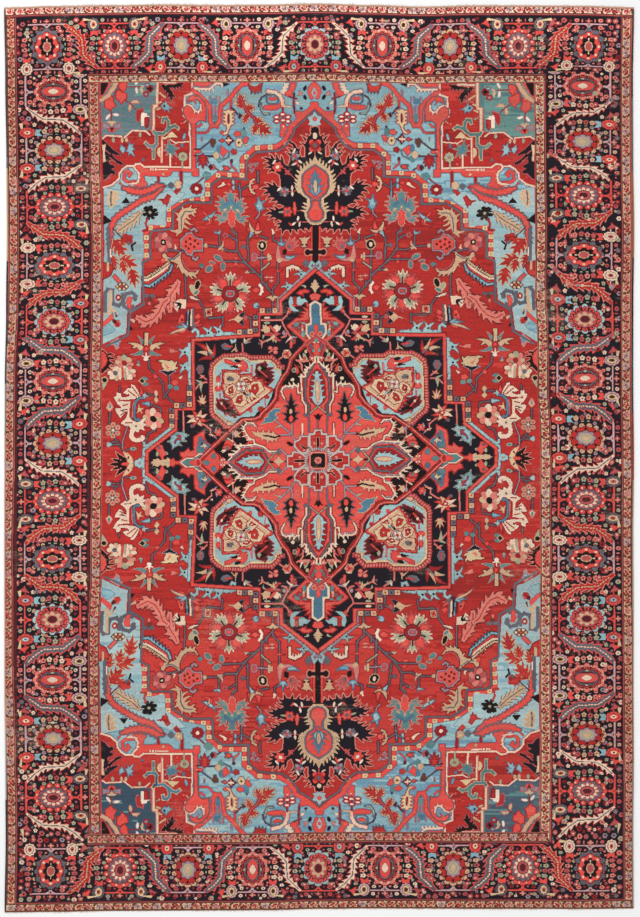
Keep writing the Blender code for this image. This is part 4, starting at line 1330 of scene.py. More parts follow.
def nearPalmette(pen):
    # On the red ground beside and below the palmette.
    for points in ([(27.8, 140.4), (27.8, 135.2)], [(32.6, 133.6), (36.6, 131.2)],
                   [(36.8, 134.6), (36.6, 126)], [(36.8, 131.6), (39.8, 133.8)],
                   [(27.4, 121.4), (27.7, 118.8), (29.4, 117)], [(21, 109), (21, 106.2), (19.6, 105.2)],
                   [(23.8, 106.8), (28, 108.2)], [(33.7, 107.4), (33.9, 105), (33.9, 96.4)],
                   [(33.9, 103.2), (36.2, 103.2)], [(27.1, 88), (30.3, 91), (33.7, 94), (38.2, 99.4),
                                                    (38.9, 101.1), (44.4, 101.3), (46.9, 102.9),
                                                    (54.4, 103.4)], [(39.5, 101.2), (39.5, 109.4),
                                                                     (41.6, 111.4)], [(40, 106.2),
                                                                                      (42.8, 108.4),
                                                                                      (45, 108.6)],
                   [(47.9, 103), (48.1, 108.9)], [(27.6, 88.4), (31.4, 92.2), (36.6, 96.2), (46.4, 96.6)],
                   [(27.1, 101.4), (27.1, 80.6)], [(22.8, 97.8), (30.4, 97.8)], [(27.2, 92), (23.2, 95)],
                   [(18.6, 95.4), (18.6, 85.6), (21.7, 82.4), (21.7, 72.8)], [(27.1, 86.8), (22.4, 81)],
                   [(24.6, 85.6), (24.8, 83.2)], [(31, 91), (34.4, 91.4)]):
        pen.line(points, 1.25, "maroon")
    for points, wool in (([(27.8, 140.4), (27.8, 135.2)], "slate"),
                         ([(32.6, 133.6), (36.6, 131.2)], "slate"), ([(36.8, 134.6), (36.6, 126)], "sky"),
                         ([(36.8, 131.6), (39.8, 133.8)], "slate"),
                         ([(27.4, 121.4), (27.7, 118.8), (29.4, 117)], "lilac"),
                         ([(21, 109), (21, 106.2), (19.6, 105.2)], "slate"),
                         ([(23.8, 106.8), (28, 108.2)], "slate"),
                         ([(33.7, 107.4), (33.9, 105), (33.9, 96.4)], "slate"),
                         ([(33.9, 103.2), (36.2, 103.2)], "slate"),
                         ([(27.1, 88), (30.3, 91), (33.7, 94), (38.2, 99.4), (38.9, 101.1), (44.4, 101.3),
                           (46.9, 102.9), (54.4, 103.4)], "slate"),
                         ([(39.5, 101.2), (39.5, 109.4), (41.6, 111.4)], "slate"),
                         ([(40, 106.2), (42.8, 108.4), (45, 108.6)], "slate"),
                         ([(47.9, 103), (48.1, 108.9)], "slate"),
                         ([(27.6, 88.4), (31.4, 92.2), (36.6, 96.2), (46.4, 96.6)], "slate"),
                         ([(27.1, 101.4), (27.1, 80.6)], "slate"), ([(22.8, 97.8), (30.4, 97.8)], "lilac"),
                         ([(27.2, 92), (23.2, 95)], "sage"), ([(18.6, 95.4), (18.6, 85.6), (21.7, 82.4),
                                                               (21.7, 72.8)], "slate"),
                         ([(27.1, 86.8), (22.4, 81)], "slate"), ([(24.6, 85.6), (24.8, 83.2)], "slate"),
                         ([(31, 91), (34.4, 91.4)], "slate")):
        pen.line(points, 0.65, wool)
    for x, y in ((28.6, 143.8), (31.2, 143.4), (30.6, 141.2)):
        petalled(pen, x, y, 1.3, ["lilac", "rose"], None, "slate", 5)
    # bracket with a coral heart
    pen.line([(29.8, 136.6), (31.2, 135.6), (31.8, 133.6), (31.6, 131.8), (30.8, 130.4), (29.8, 129.7)],
             1.5, "maroon")
    pen.line([(29.8, 136.6), (31.2, 135.6), (31.8, 133.6), (31.6, 131.8), (30.8, 130.4), (29.8, 129.7)],
             1.0, "camel")
    flicks(pen, "camel", (30.8, 134.8, 29.6, 134.6, 0.8, 0), (30.8, 131.4, 29.6, 132.0, 0.8, 0))
    pen.disc(29.0, 132.9, 1.6, 1.5, "coral")
    pen.disc(29.6, 134.2, 0.35, 0.35, "black")
    pen.disc(29.6, 131.4, 0.35, 0.35, "black")
    # blue buds
    flamed(pen, [(27.9, 126.6), (28.6, 124.6), (28.9, 122.4), (28.1, 120.9), (26.6, 120.9), (25.9, 122.4),
                 (26.2, 124.8)], [(27.4, 124, 27.9, 128, 1.4, 0), (26.8, 124.2, 24.4, 125.6, 1.2, -0.3),
                                  (26.4, 122.4, 25.0, 121.9, 1.0, 0.2),
                                  (28.6, 122.8, 29.8, 124.2, 1.0, 0.2)], "sky", "blue", 0.3)
    for y in (135.2, 132.2):
        pen.disc(39.9, y, 0.8, 1.3, "sky")
    pen.petals(42.2, 133.9, 1.4, 1.1, "coral", 5, 0.3)
    flicks(pen, "cream", (44.6, 134, 48.8, 131.4, 1.6, -0.3), (45.8, 133.4, 45.2, 134.8, 0.8, 0),
           edge="crimson")
    with pen.moved(x=41.6):
        tealPalmette(pen)
    # tulip in coral, camel and sky
    flicks(pen, "coral", (29.2, 110, 28.4, 115.8, 3.0, 0.2), (33, 110.6, 33.8, 112.6, 2.2, 0),
           (29, 109.4, 29.2, 107, 2.0, 0), edge="crimson")
    flicks(pen, "camel", (31, 110.2, 32.8, 115, 2.2, -0.4), (30.2, 110, 26.4, 111, 1.6, 0.6), edge="maroon")
    flicks(pen, "sky", (31.4, 110, 33.3, 106.8, 2.4, 0.2), edge="maroon")
    flicks(pen, "cream", (20.8, 109, 21.9, 111.6, 1.6, 0.3))
    # camel flower with two eyes
    flamed(pen, [(3.4, 106.2), (6.8, 106.4), (6.8, 104.2), (7.0, 102.6), (5.5, 101.4), (4.1, 102.8),
                 (4.2, 104.4)], [(4.4, 105.6, 2.4, 107.3, 1.1, 0.2), (6.6, 105.4, 8.4, 106.2, 1.1, 0.2),
                                 (5.4, 105.8, 5.6, 107.2, 0.9, 0)], "camel", "crimson", 0.35)
    for x in (4.6, 6.5):
        pen.disc(x, 103.1, 0.55, 0.5, "black")
    pen.fill([(4.6, 102.2), (6.4, 102.2), (5.5, 101)], "slate")
    # rose carnation with its tulip
    flamed(pen, [(10.4, 104.8), (13, 105), (14.6, 103), (13.6, 101), (11.6, 100.8), (10.2, 102.4)],
           [(11, 104.2, 8.6, 105.2, 1.1, 0.3), (11.8, 104.6, 10.2, 106.8, 1.1, 0.3),
            (12.6, 104.6, 12.8, 107, 1.1, 0), (10.6, 103, 8.4, 103, 1.0, 0.2),
            (13.6, 104.2, 14.8, 105.6, 1.0, 0)], "rose", "salmon", 0.35)
    pen.disc(13.0, 102.4, 0.7, 0.9, "slate")
    pen.fill([(14.2, 101.6), (16.2, 101), (16.2, 98.6), (14.2, 99.2)], "black")
    flicks(pen, "sky", (16.8, 102.8, 17, 107.4, 1.7, 0), (16.6, 103.6, 14.6, 105, 1.4, 0.2),
           (17, 103.6, 19, 105.4, 1.4, -0.2), (14.8, 97.4, 9, 98.6, 2.4, 0.7), edge="blue", width=0.25)
    flicks(pen, "salmon", (18.2, 96.8, 18.4, 103.2, 2.4, -0.2), (17.4, 96.8, 12.6, 96.2, 1.6, 0.3),
           edge="lilac", width=0.3)
    pen.petals(17.9, 96.2, 1.3, 1.1, "camel", 4, 0.2)
    pen.petals(4.6, 94.4, 1.7, 1.9, "slate", 4, 0.34)
    # cream bracket over the medallion
    pen.line([(7.0, 90.9), (8.6, 92.2), (11.2, 93.1), (13.6, 92.3), (13.7, 88.4)], 1.9, "maroon")
    pen.line([(7.0, 90.9), (8.6, 92.2), (11.2, 93.1), (13.6, 92.3), (13.7, 88.4)], 1.25, "cream")
    flicks(pen, "cream", (9.4, 92, 9.2, 90.8, 0.7, 0), (10.8, 92.4, 10.6, 91, 0.7, 0),
           (12.2, 92.2, 12, 90.8, 0.7, 0))
    # eye on its stem, with a bracket and a rose heart
    pen.disc(26.7, 103.6, 2.5, 2.6, "camel")
    pen.disc(26.7, 103.6, 2.1, 2.2, "black")
    pen.disc(26.7, 103.6, 0.8, 1.2, "cream")
    flicks(pen, "camel", (25, 104.8, 23.6, 106, 0.9, 0), (28.4, 104.6, 29.4, 103, 0.8, 0))
    pen.line([(23.6, 99.2), (23.6, 96.5)], 1.0, "camel")
    pen.line([(22.4, 98.4), (22.4, 97.2)], 1.0, "camel")
    pen.disc(30.8, 98.2, 1.7, 2.1, "lilac")
    pen.disc(30.8, 98.2, 1.3, 1.7, "rose")
    pen.disc(36.3, 103.2, 1.1, 1.1, "slate")
    petalled(pen, 45.2, 108.5, 1.6, ["rose"], None, "crimson", 5)
    pen.disc(55.1, 103.4, 1.0, 1.0, "camel")
    flicks(pen, "camel", (47, 103, 46.2, 106, 1.2, 0.2), (47, 102.6, 49.2, 101.4, 1.4, 0.2),
           (46.6, 102.4, 46.6, 101, 0.9, 0))
    flicks(pen, "sky", (48.2, 109, 47.8, 111.8, 1.5, 0.2), (48.4, 109.4, 51, 109.4, 1.3, 0.2),
           (50, 109.6, 50.6, 111.2, 0.9, 0))
    for y in (98, 95):
        pen.petals(40.1, y, 1.5, 0.9, "coral", 4, 0.36)
    pen.fill([(33.2, 90.6), (35.8, 90.6), (34.6, 92.2)], "camel")
    # lily of teal petals
    for x, y, turn, rx, ry in ((48.9, 98, 28, 2.1, 1.2), (46.4, 94, 95, 1.9, 1.1),
                               (53.3, 92.8, -32, 1.9, 1.4), (51.8, 95.6, 20, 1.5, 0.8)):
        with pen.moved(x, y, turn):
            pen.disc(0, 0, rx + 0.4, ry + 0.4, "salmon")
            pen.disc(0, 0, rx, ry, "teal")
    flicks(pen, "coral", (48.6, 94, 51.6, 98.2, 1.1, 0.2), (48.6, 94, 54.4, 95.8, 1.1, 0.2),
           (49.6, 94.6, 49.4, 91, 1.6, 0), (48, 94, 47.4, 91, 1.0, 0))
    pen.disc(49.6, 93.8, 1.2, 1.6, "red")
    # tulip by the stepped band
    flicks(pen, "sky", (53, 116.8, 49.6, 120.2, 1.9, 0.4), (53.4, 116.8, 56.4, 115.4, 2.0, -0.3),
           edge="slate", width=0.25)
    flicks(pen, "coral", (54, 117.6, 57.6, 121.6, 1.2, 0.2), (54.6, 118, 56, 119.4, 1.6, 0),
           (52, 114.4, 57, 113, 1.5, -0.3), (52, 116, 51, 113, 1.2, 0))
    flicks(pen, "camel", (53, 116.4, 52.6, 113.6, 0.9, 0))
    # eight small things between the palmette and the medallion
    for x, y in ((22.0, 88.2), (24.6, 88.4), (22.2, 86.6)):
        petalled(pen, x, y, 1.2, ["salmon", "rose"], None, "camel", 4)
    flicks(pen, "coral", (18.6, 91, 15.8, 91.4, 1.0, 0), (18.6, 91, 21.2, 91.4, 1.0, 0))
    pen.petals(30.0, 82.4, 2.0, 1.5, "coral", 4, 0.3)
    pen.line([(28.2, 84.8), (27.2, 83.4), (27, 81.6), (27.8, 80.2)], 1.2, "ivory")
    for side in (-1, 1):
        flicks(pen, "camel", (21.7, 77.4, 21.7 + 3.6 * side, 78.2, 1.8, 0.8 * side),
               (21.7, 78, 21.7 + 1.2 * side, 79.6, 0.8, 0), edge="maroon", width=0.25)
    pen.disc(29.8, 74.6, 1.5, 1.6, "sky")
    pen.line([(27.4, 73), (29, 74.2)], 0.6, "slate")
    # camel leaf beside the stepped band
    flamed(pen, [(59, 119), (61, 120.6), (64, 121), (67, 119.5), (68.6, 117), (68.2, 112), (68.6, 109),
                 (66.6, 109.2), (65.6, 112), (65.2, 115), (63.4, 117.4), (61, 118.2), (59, 119)],
           [(61.6, 118.6, 59.4, 116.8, 1.3, 0.3), (64.2, 116.8, 61.6, 115.2, 1.3, 0.3),
            (65, 114.8, 61.2, 112.8, 1.5, 0.5), (65.6, 112.2, 62.4, 110.6, 1.3, 0.3),
            (61, 120, 58.6, 121.2, 1.2, 0.2), (63, 120.4, 61.6, 122.6, 1.2, 0.2),
            (66, 119.6, 66, 121.8, 1.2, 0), (68, 117, 70.2, 118.6, 1.2, 0.2),
            (68, 114.4, 69.8, 115.6, 1.0, 0.2), (67.6, 109.8, 72.4, 109.8, 1.9, -0.4),
            (67.4, 109.4, 69.8, 106.8, 1.4, 0.2)], "camel", "crimson", 0.4)
    pen.line([(61, 119.4), (65, 119), (66.6, 116), (66.8, 110)], 0.6, "slate")
    # coral cartouche with curled ends
    for points in ([(61.9, 107.6), (61.9, 110.2), (60.6, 111), (59.4, 109.8)],
                   [(61.9, 99.4), (61.6, 97.4), (60.2, 96.6), (59.2, 97.6)]):
        pen.line(points, 1.6, "maroon")
        pen.line(points, 1.0, "lilac")
    rimmed(pen, [(57, 105.8), (60.4, 106.4), (62.2, 108.6), (64.2, 108), (65.6, 106.4), (67, 105.2),
                 (67.2, 102.2), (65.2, 101), (64, 99.2), (62.6, 99), (61.4, 101), (57.2, 101.2),
                 (56.8, 103.4)], "coral", [(1.9, "maroon"), (1.3, "lilac")])
    for x, y in ((58.8, 104), (60.4, 105.2), (60.8, 102.4), (62.6, 103.6), (62.8, 106.2), (64.8, 104.6),
                 (63.6, 101.6), (65, 102.6)):
        pen.disc(x, y, 0.5, 0.55, "maroon")
    petalled(pen, 76.4, 104.4, 4.4, ["salmon", "rose"], "slate", "black", 8, 0.5)
    pen.disc(76.4, 104.4, 0.6, 0.6, "cream")
    flicks(pen, "cream", (70, 101.4, 70.6, 103.8, 1.1, 0), (70, 101.4, 72, 101, 0.9, 0))
    for points in ([(74.6, 43.4), (74.6, 36), (77.4, 31.8)], [(65.6, 89.6), (65.6, 78.4)],
                   [(60.6, 81), (57.6, 76.4), (54.8, 72.8)], [(47, 69.8), (54.2, 70), (56, 73.4)],
                   [(46.6, 65.8), (46.6, 70)], [(32.3, 68.4), (32.3, 62)], [(32.6, 68.2), (35.4, 70)],
                   [(84.8, 50.8), (84.4, 46), (80.8, 42), (77.8, 38.6), (77.4, 33.6), (71, 28.4)],
                   [(81, 31.8), (86, 32)], [(104, 21), (104, 27)], [(98.4, 6.4), (100, 9.2), (103, 8.8)],
                   [(74, 101), (66.6, 100)]):
        pen.line(points, 1.25, "maroon")
        pen.line(points, 0.65, "slate")


def redField(pen):
    # The red ground between the stepped band and the medallion.
    crab = {"rim": "salmon", "body": "coral", "vein": "rose", "half": 1.5, "edge": 0.5, "tooth": 1.9,
            "inner": 0.8, "dashes": False}
    nearPalmette(pen)
    # bow-shaped camel leaf
    flamed(pen, [(57.9, 92.8), (60.3, 90.9), (63.7, 90.8), (66.3, 92.6), (67.7, 95.4), (67.9, 98),
                 (67.3, 100.4), (69.7, 98.4), (71.9, 97), (74.6, 97.6), (75.9, 99.6), (77.1, 98.8),
                 (76.9, 96.2), (74.3, 95.2), (71.3, 95.2), (69.3, 94.2), (67.9, 91.2), (65.3, 89.6),
                 (61.9, 89.2), (59.3, 90.4), (57.9, 92.8)],
           [(61, 89.8, 59.4, 88.0, 1.2, 0), (63.2, 89.8, 61.6, 87.8, 1.2, 0),
            (65.4, 90.4, 64.2, 88.2, 1.2, 0), (67.4, 91.8, 66.8, 89.6, 1.1, 0),
            (68.8, 94, 70.2, 92.2, 1.0, 0)], "camel", "maroon", 0.3)
    pen.line([(59.2, 92.2), (62.6, 91.4), (65.4, 93), (67, 96)], 0.7, "rose")
    pen.line([(68.4, 98.6), (71.4, 96.6), (74.4, 96.6)], 0.6, "slate")
    pen.petals(76.9, 96, 1.3, 1.5, "coral", 5, 0.2)
    greatRosette(pen, 42.7, 81.0)
    # bud in a camel rim, with two leaves
    for x, y, turn, rx, ry, wool, rim in ((59.2, 85.2, 20, 1.2, 2.2, "black", "camel"),
                                          (61.8, 83.4, -30, 1.0, 1.9, "sage", "camel"),
                                          (60, 81.8, 60, 0.8, 1.5, "teal", "camel")):
        with pen.moved(x, y, turn):
            pen.disc(0, 0, rx + 0.45, ry + 0.45, rim)
            pen.disc(0, 0, rx, ry, wool)
    flicks(pen, "cream", (62.6, 79.8, 58.4, 78.4, 1.3, 0.2), (62.4, 79.4, 64, 80.6, 1.0, 0), edge="maroon",
           width=0.25)
    # fish
    pen.fill([(65.5, 78.6), (68.4, 79), (71.4, 77.9), (72.4, 75.6), (70.2, 73.2), (69.6, 75), (66, 74.8)],
             "cream")
    flicks(pen, "navy", (68, 76.4, 72.6, 77.2, 1.3, 0.2), (68.4, 76, 70, 73.8, 1.2, 0),
           (69, 77, 71, 75, 1.0, 0))
    pen.disc(68.9, 76.6, 0.7, 0.8, "black")
    # pair of striped leaves on the slant
    upper = [(73.4, 93.8), (77, 91.0), (81, 88.4), (84.4, 86.6), (86.4, 86.6)]
    lower = [(72.4, 93.6), (73.4, 90.8), (77, 88.2), (81, 85.4), (83.6, 83.8), (86.4, 84.2)]
    pen.line([(x + 0.3, y + 0.9) for x, y in upper], 2.4, "black")
    pen.line([(x + 0.5, y + 1.3) for x, y in upper], 0.9, "camel")
    flicks(pen, "camel", (77.6, 91.4, 79.2, 93, 1.1, 0), (79.6, 90.4, 81, 91.8, 1.1, 0),
           (81.8, 89, 83.2, 90.2, 1.0, 0), edge="black")
    pen.line(upper, 1.0, "cream")
    pen.line([(72.8, 94.4), (74.6, 91.4), (79, 88.2), (83.6, 85.2), (86.2, 85.2)], 0.9, "coral")
    pen.line(lower, 1.8, "black")
    pen.line(lower, 1.2, "sky")
    flicks(pen, "sky", *[(x, y, x - 0.6, y - 1.6, 1.1, 0) for x,
                         y in ((74.2, 90), (75.8, 88.8), (77.4, 87.6), (79, 86.6), (80.6, 85.4),
                               (82, 84.4))], edge="black", width=0.25)
    # salmon leaf with its teeth outlined
    crab = {"rim": "maroon", "body": "salmon", "vein": "coral", "half": 1.45, "edge": 0.45, "tooth": 1.9,
            "inner": 1, "dashes": False}
    sawLeaf(pen, [(68.8, 87), (70.6, 83.6), (73.4, 80.4), (74.2, 76.6), (74, 72.8)], crab, 2.7)
    sawLeaf(pen, [(73.8, 79), (77.4, 76.8), (79.4, 73.2), (82.6, 69.8), (86.4, 68.4), (91.2, 70.6)], crab,
            2.7)
    for side in (-1, 1):
        with pen.moved(83.9 + 1.5 * side, 79.6, 0):
            pen.disc(0, 0, 1.5, 0.8, "slate")
    pen.disc(83.9, 78.3, 1.1, 1.2, "brown")
    pen.disc(84.2, 76.4, 0.6, 0.8, "salmon")
    # striped fan
    pen.fill(toothed([(60, 66.4), (61, 72), (58.6, 71.4)], 1.2, 2), "coral")
    flicks(pen, "coral", (62, 67.6, 58.2, 70.6, 2.2, 0.3), (62, 67.2, 57.4, 67.8, 1.8, 0.2), edge="crimson")
    pen.fill([(66.9, 67.2), (70.4, 67.6), (69.6, 70.4), (68.4, 72.6), (66.8, 71.8)], "coral")
    pen.disc(68, 69.8, 0.45, 0.45, "maroon")
    for x, wool, top in ((62.4, "slate", 74.8), (63.4, "cream", 74.2), (64.4, "black", 73),
                         (65.2, "sky", 74), (66.0, "maroon", 73)):
        pen.line([(x - 0.4, top), (x + 0.2, 66.8)], 0.85, wool)
    pen.disc(63.6, 65.7, 1.7, 1.2, "maroon")
    flicks(pen, "slate", (63.4, 65.8, 60, 68.2, 1.3, 0.2))
    flicks(pen, "sky", (65.6, 66, 68.8, 68.2, 1.8, 0.2), (66, 65.8, 71.6, 66.4, 1.8, 0.3), edge="slate",
           width=0.25)
    flicks(pen, "camel", (66.6, 65.4, 74.6, 62.6, 1.5, 0.4), edge="slate", width=0.25)
    flicks(pen, "coral", (66.4, 64.4, 70.6, 62.6, 1.6, 0.2))
    rimmed(pen, [(52.7, 71.4), (55.1, 71.4), (55.1, 73.8), (52.7, 73.8)], "coral",
           [(1.5, "maroon"), (0.9, "camel")])
    pen.disc(53.9, 72.6, 0.4, 0.4, "black")
    pen.line([(56.3, 74), (56.3, 70.6)], 0.8, "slate")
    # camel heart with black ears by the medallion's step
    flamed(pen, [(36, 68.6), (37.4, 70.6), (38.4, 70.8), (40.4, 69), (40.4, 67.8), (38.4, 66.2), (37, 67),
                 (36, 68.6)], [(39.6, 68.4, 44, 67.6, 0.9, 0.2)], "camel", None)
    for y, tip in ((70.2, 71.6), (66.4, 65.2)):
        flicks(pen, "black", (37.6, y - (tip - y) * 0.6, 35.6, tip, 2.0, 0), edge="slate", width=0.3)
    pen.disc(34.9, 68.6, 0.9, 1.3, "rose")
    # camel and teal lily
    with pen.moved(x=86.1, y=56.4):
        for side in (-1, 1):
            flicks(pen, "camel", (1.8 * side, -1.0, 9.2 * side, 2.0, 2.9, 0.9 * side),
                   (5.2 * side, 0.2, 7 * side, -0.6, 1.4, 0), edge="maroon", width=0.3)
            flicks(pen, "teal", (1.6 * side, -2.0, 7.6 * side, -3.8, 2.3, -0.5 * side),
                   (1.6 * side, 1.8, 4.2 * side, 5.6, 1.7, 0.3 * side), edge="salmon", width=0.25)
        pen.line([(0, 1.4), (0, 6)], 2.6, "maroon")
        pen.line([(0, 1.4), (0, 6.2)], 1.9, "camel")
        pen.petals(-0.2, -0.6, 1.9, 1.9, "red", 5, 0.2)
        pen.petals(-0.2, -0.6, 1.2, 1.2, "coral", 5, 0.2)
        flicks(pen, "ivory", (0, -5.6, 0, -1.6, 1.1, 0), (0, -5, -2.4, -3.9, 1.1, 0),
               (0, -5, 2.2, -3.8, 1.1, 0))
        pen.disc(0, -5.8, 1.1, 0.9, "ivory")
    # camel bloom in its black cup
    flamed(pen, [(78.4, 48.4), (76.4, 49.8), (74.6, 49.6), (73.2, 50), (71.4, 48.4), (71.2, 46.4),
                 (72.4, 44.8), (73.8, 43.6), (77, 43.6), (78.2, 44.6), (77.2, 45.6), (78.2, 47)],
           [(76.6, 48.8, 80.6, 49.6, 2.0, 0.4), (72, 48, 70.6, 49.8, 1.4, 0.3),
            (71.6, 46, 69.8, 46.6, 1.2, 0)], "straw", "maroon", 0.3)
    pen.line([(77, 48.2), (75.2, 47.2), (75, 45)], 0.4, "camel")
    flicks(pen, "salmon", (74.8, 46, 76.6, 49, 1.8, -0.4))
    flicks(pen, "black", (75.3, 43.2, 71.4, 44.6, 1.8, -0.3), (75.3, 43.2, 79.2, 44.6, 1.8, 0.3),
           edge="lilac", width=0.4)
    flicks(pen, "cream", (69.4, 41.2, 67.8, 42.6, 1.2, 0), edge="slate", width=0.2)
    pen.petals(71.8, 39.3, 2.1, 1.6, "coral", 5, 0.26)
    for x, y in ((71.2, 36.8), (74.2, 37.3)):
        pen.disc(x, y, 1.3, 1.1, "teal")
    pen.fill([(82, 40.2), (80, 41), (81.4, 43.4), (82.8, 41.8)], "coral")
    for y, turn in ((40, 20), (36.8, -20)):
        with pen.moved(86.7, y, turn):
            pen.disc(0, 0, 1.6, 0.9, "teal")
    pen.fill([(86.4, 38.4), (88.4, 40.4), (90.4, 38.4), (88.4, 36.4)], "camel")
    pen.fill([(87, 38.4), (88.4, 39.8), (89.7, 38.4), (88.4, 37)], "navy")
    flicks(pen, "sky", (89.6, 47.6, 90, 50.2, 1.5, 0))
    pen.petals(89.8, 47.4, 0.9, 0.7, "sage", 4, 0.2)
    for y in (33.2, 30):
        pen.petals(81.4, y, 1.1, 1.5, "camel", 4, 0.26)
    flicks(pen, "black", (84.8, 26.6, 84.6, 29, 1.1, 0), (84.8, 26.6, 84.6, 24, 1.1, 0))
    flicks(pen, "sky", (84.6, 26.8, 89.2, 26.9, 2.4, 0), edge="slate", width=0.2)
    for points in ([(83.8, 26.8), (79.4, 26.7), (78.9, 24.7), (80.3, 23.3)],
                   [(82, 14.4), (85.6, 12.6), (86.9, 8.6)]):
        pen.line(points, 1.2, "maroon")
        pen.line(points, 0.6, "slate")
    petalled(pen, 83.0, 20.0, 5.2, ["camel", "salmon", "cream", "salmon"], "maroon", "black", 8)
    # rosettes and the black half palmette at the edge
    petalled(pen, 96.6, 47.2, 4.4, ["camel", "salmon", "sage"], "maroon", "crimson", 8)
    petalled(pen, 94.6, 42.4, 3.6, ["salmon", "cream"], "maroon", "sage", 7)
    petalled(pen, 101, 41.6, 3.6, ["cream", "camel"], "maroon", "slate", 7)
    for x, wool in ((95.2, "cream"), (96.4, "sage"), (97.6, "coral"), (98.8, "cream")):
        pen.line([(x, 39), (x, 44)], 0.9, wool)
    flamed(pen, [(107.6, 53.4), (105.4, 51.4), (104, 48.6), (103.4, 46), (105, 43.4), (107.6, 41)],
           [(105, 50.6, 101.6, 50.8, 1.4, -0.3), (104.4, 48.8, 100.2, 48.2, 1.4, -0.3),
            (104, 46.6, 100.6, 45, 1.3, -0.3), (104.8, 44.4, 102.4, 42.6, 1.2, -0.2)], "black", "salmon",
           0.45)
    pen.fill(toothed([(107.6, 43.6), (105.6, 45.6), (105, 48.4), (106, 51), (107.6, 52.2)], 0.5, 1.4),
             "coral")
    pen.disc(106.2, 38.2, 1.8, 1.7, "camel")
    pen.disc(106.2, 38.2, 1.2, 1.1, "black")
    flicks(pen, "sage", (106, 36.8, 107, 33.4, 2.2, 0.2))
    flamed(pen, [(98.6, 58.6), (100, 60), (101.4, 58.6), (103.4, 57.2), (101.4, 55.8), (100.6, 54),
                 (99.6, 55.2)], [(101, 57, 104, 56, 1.4, 0)], "lilac", "salmon", 0.4)
    pen.disc(100.2, 57.4, 1.1, 1.2, "sky")
    for x, y, wool in ((97.9, 93.6, "red"), (57.2, 94.2, "teal"), (57.6, 55.2, "coral")):
        pen.petals(x, y, 1.5, 1.2, wool, 4, 0.3)
    flicks(pen, "salmon", (74.4, 54.6, 69.4, 54.8, 1.6, 0.3), (72, 54.8, 75, 55.8, 1.2, 0))
    flicks(pen, "camel", (91.8, 68.4, 94.6, 69.6, 1.6, 0))
    pen.fill([(92.6, 64.6), (95.6, 64.6), (94, 66.6)], "black")


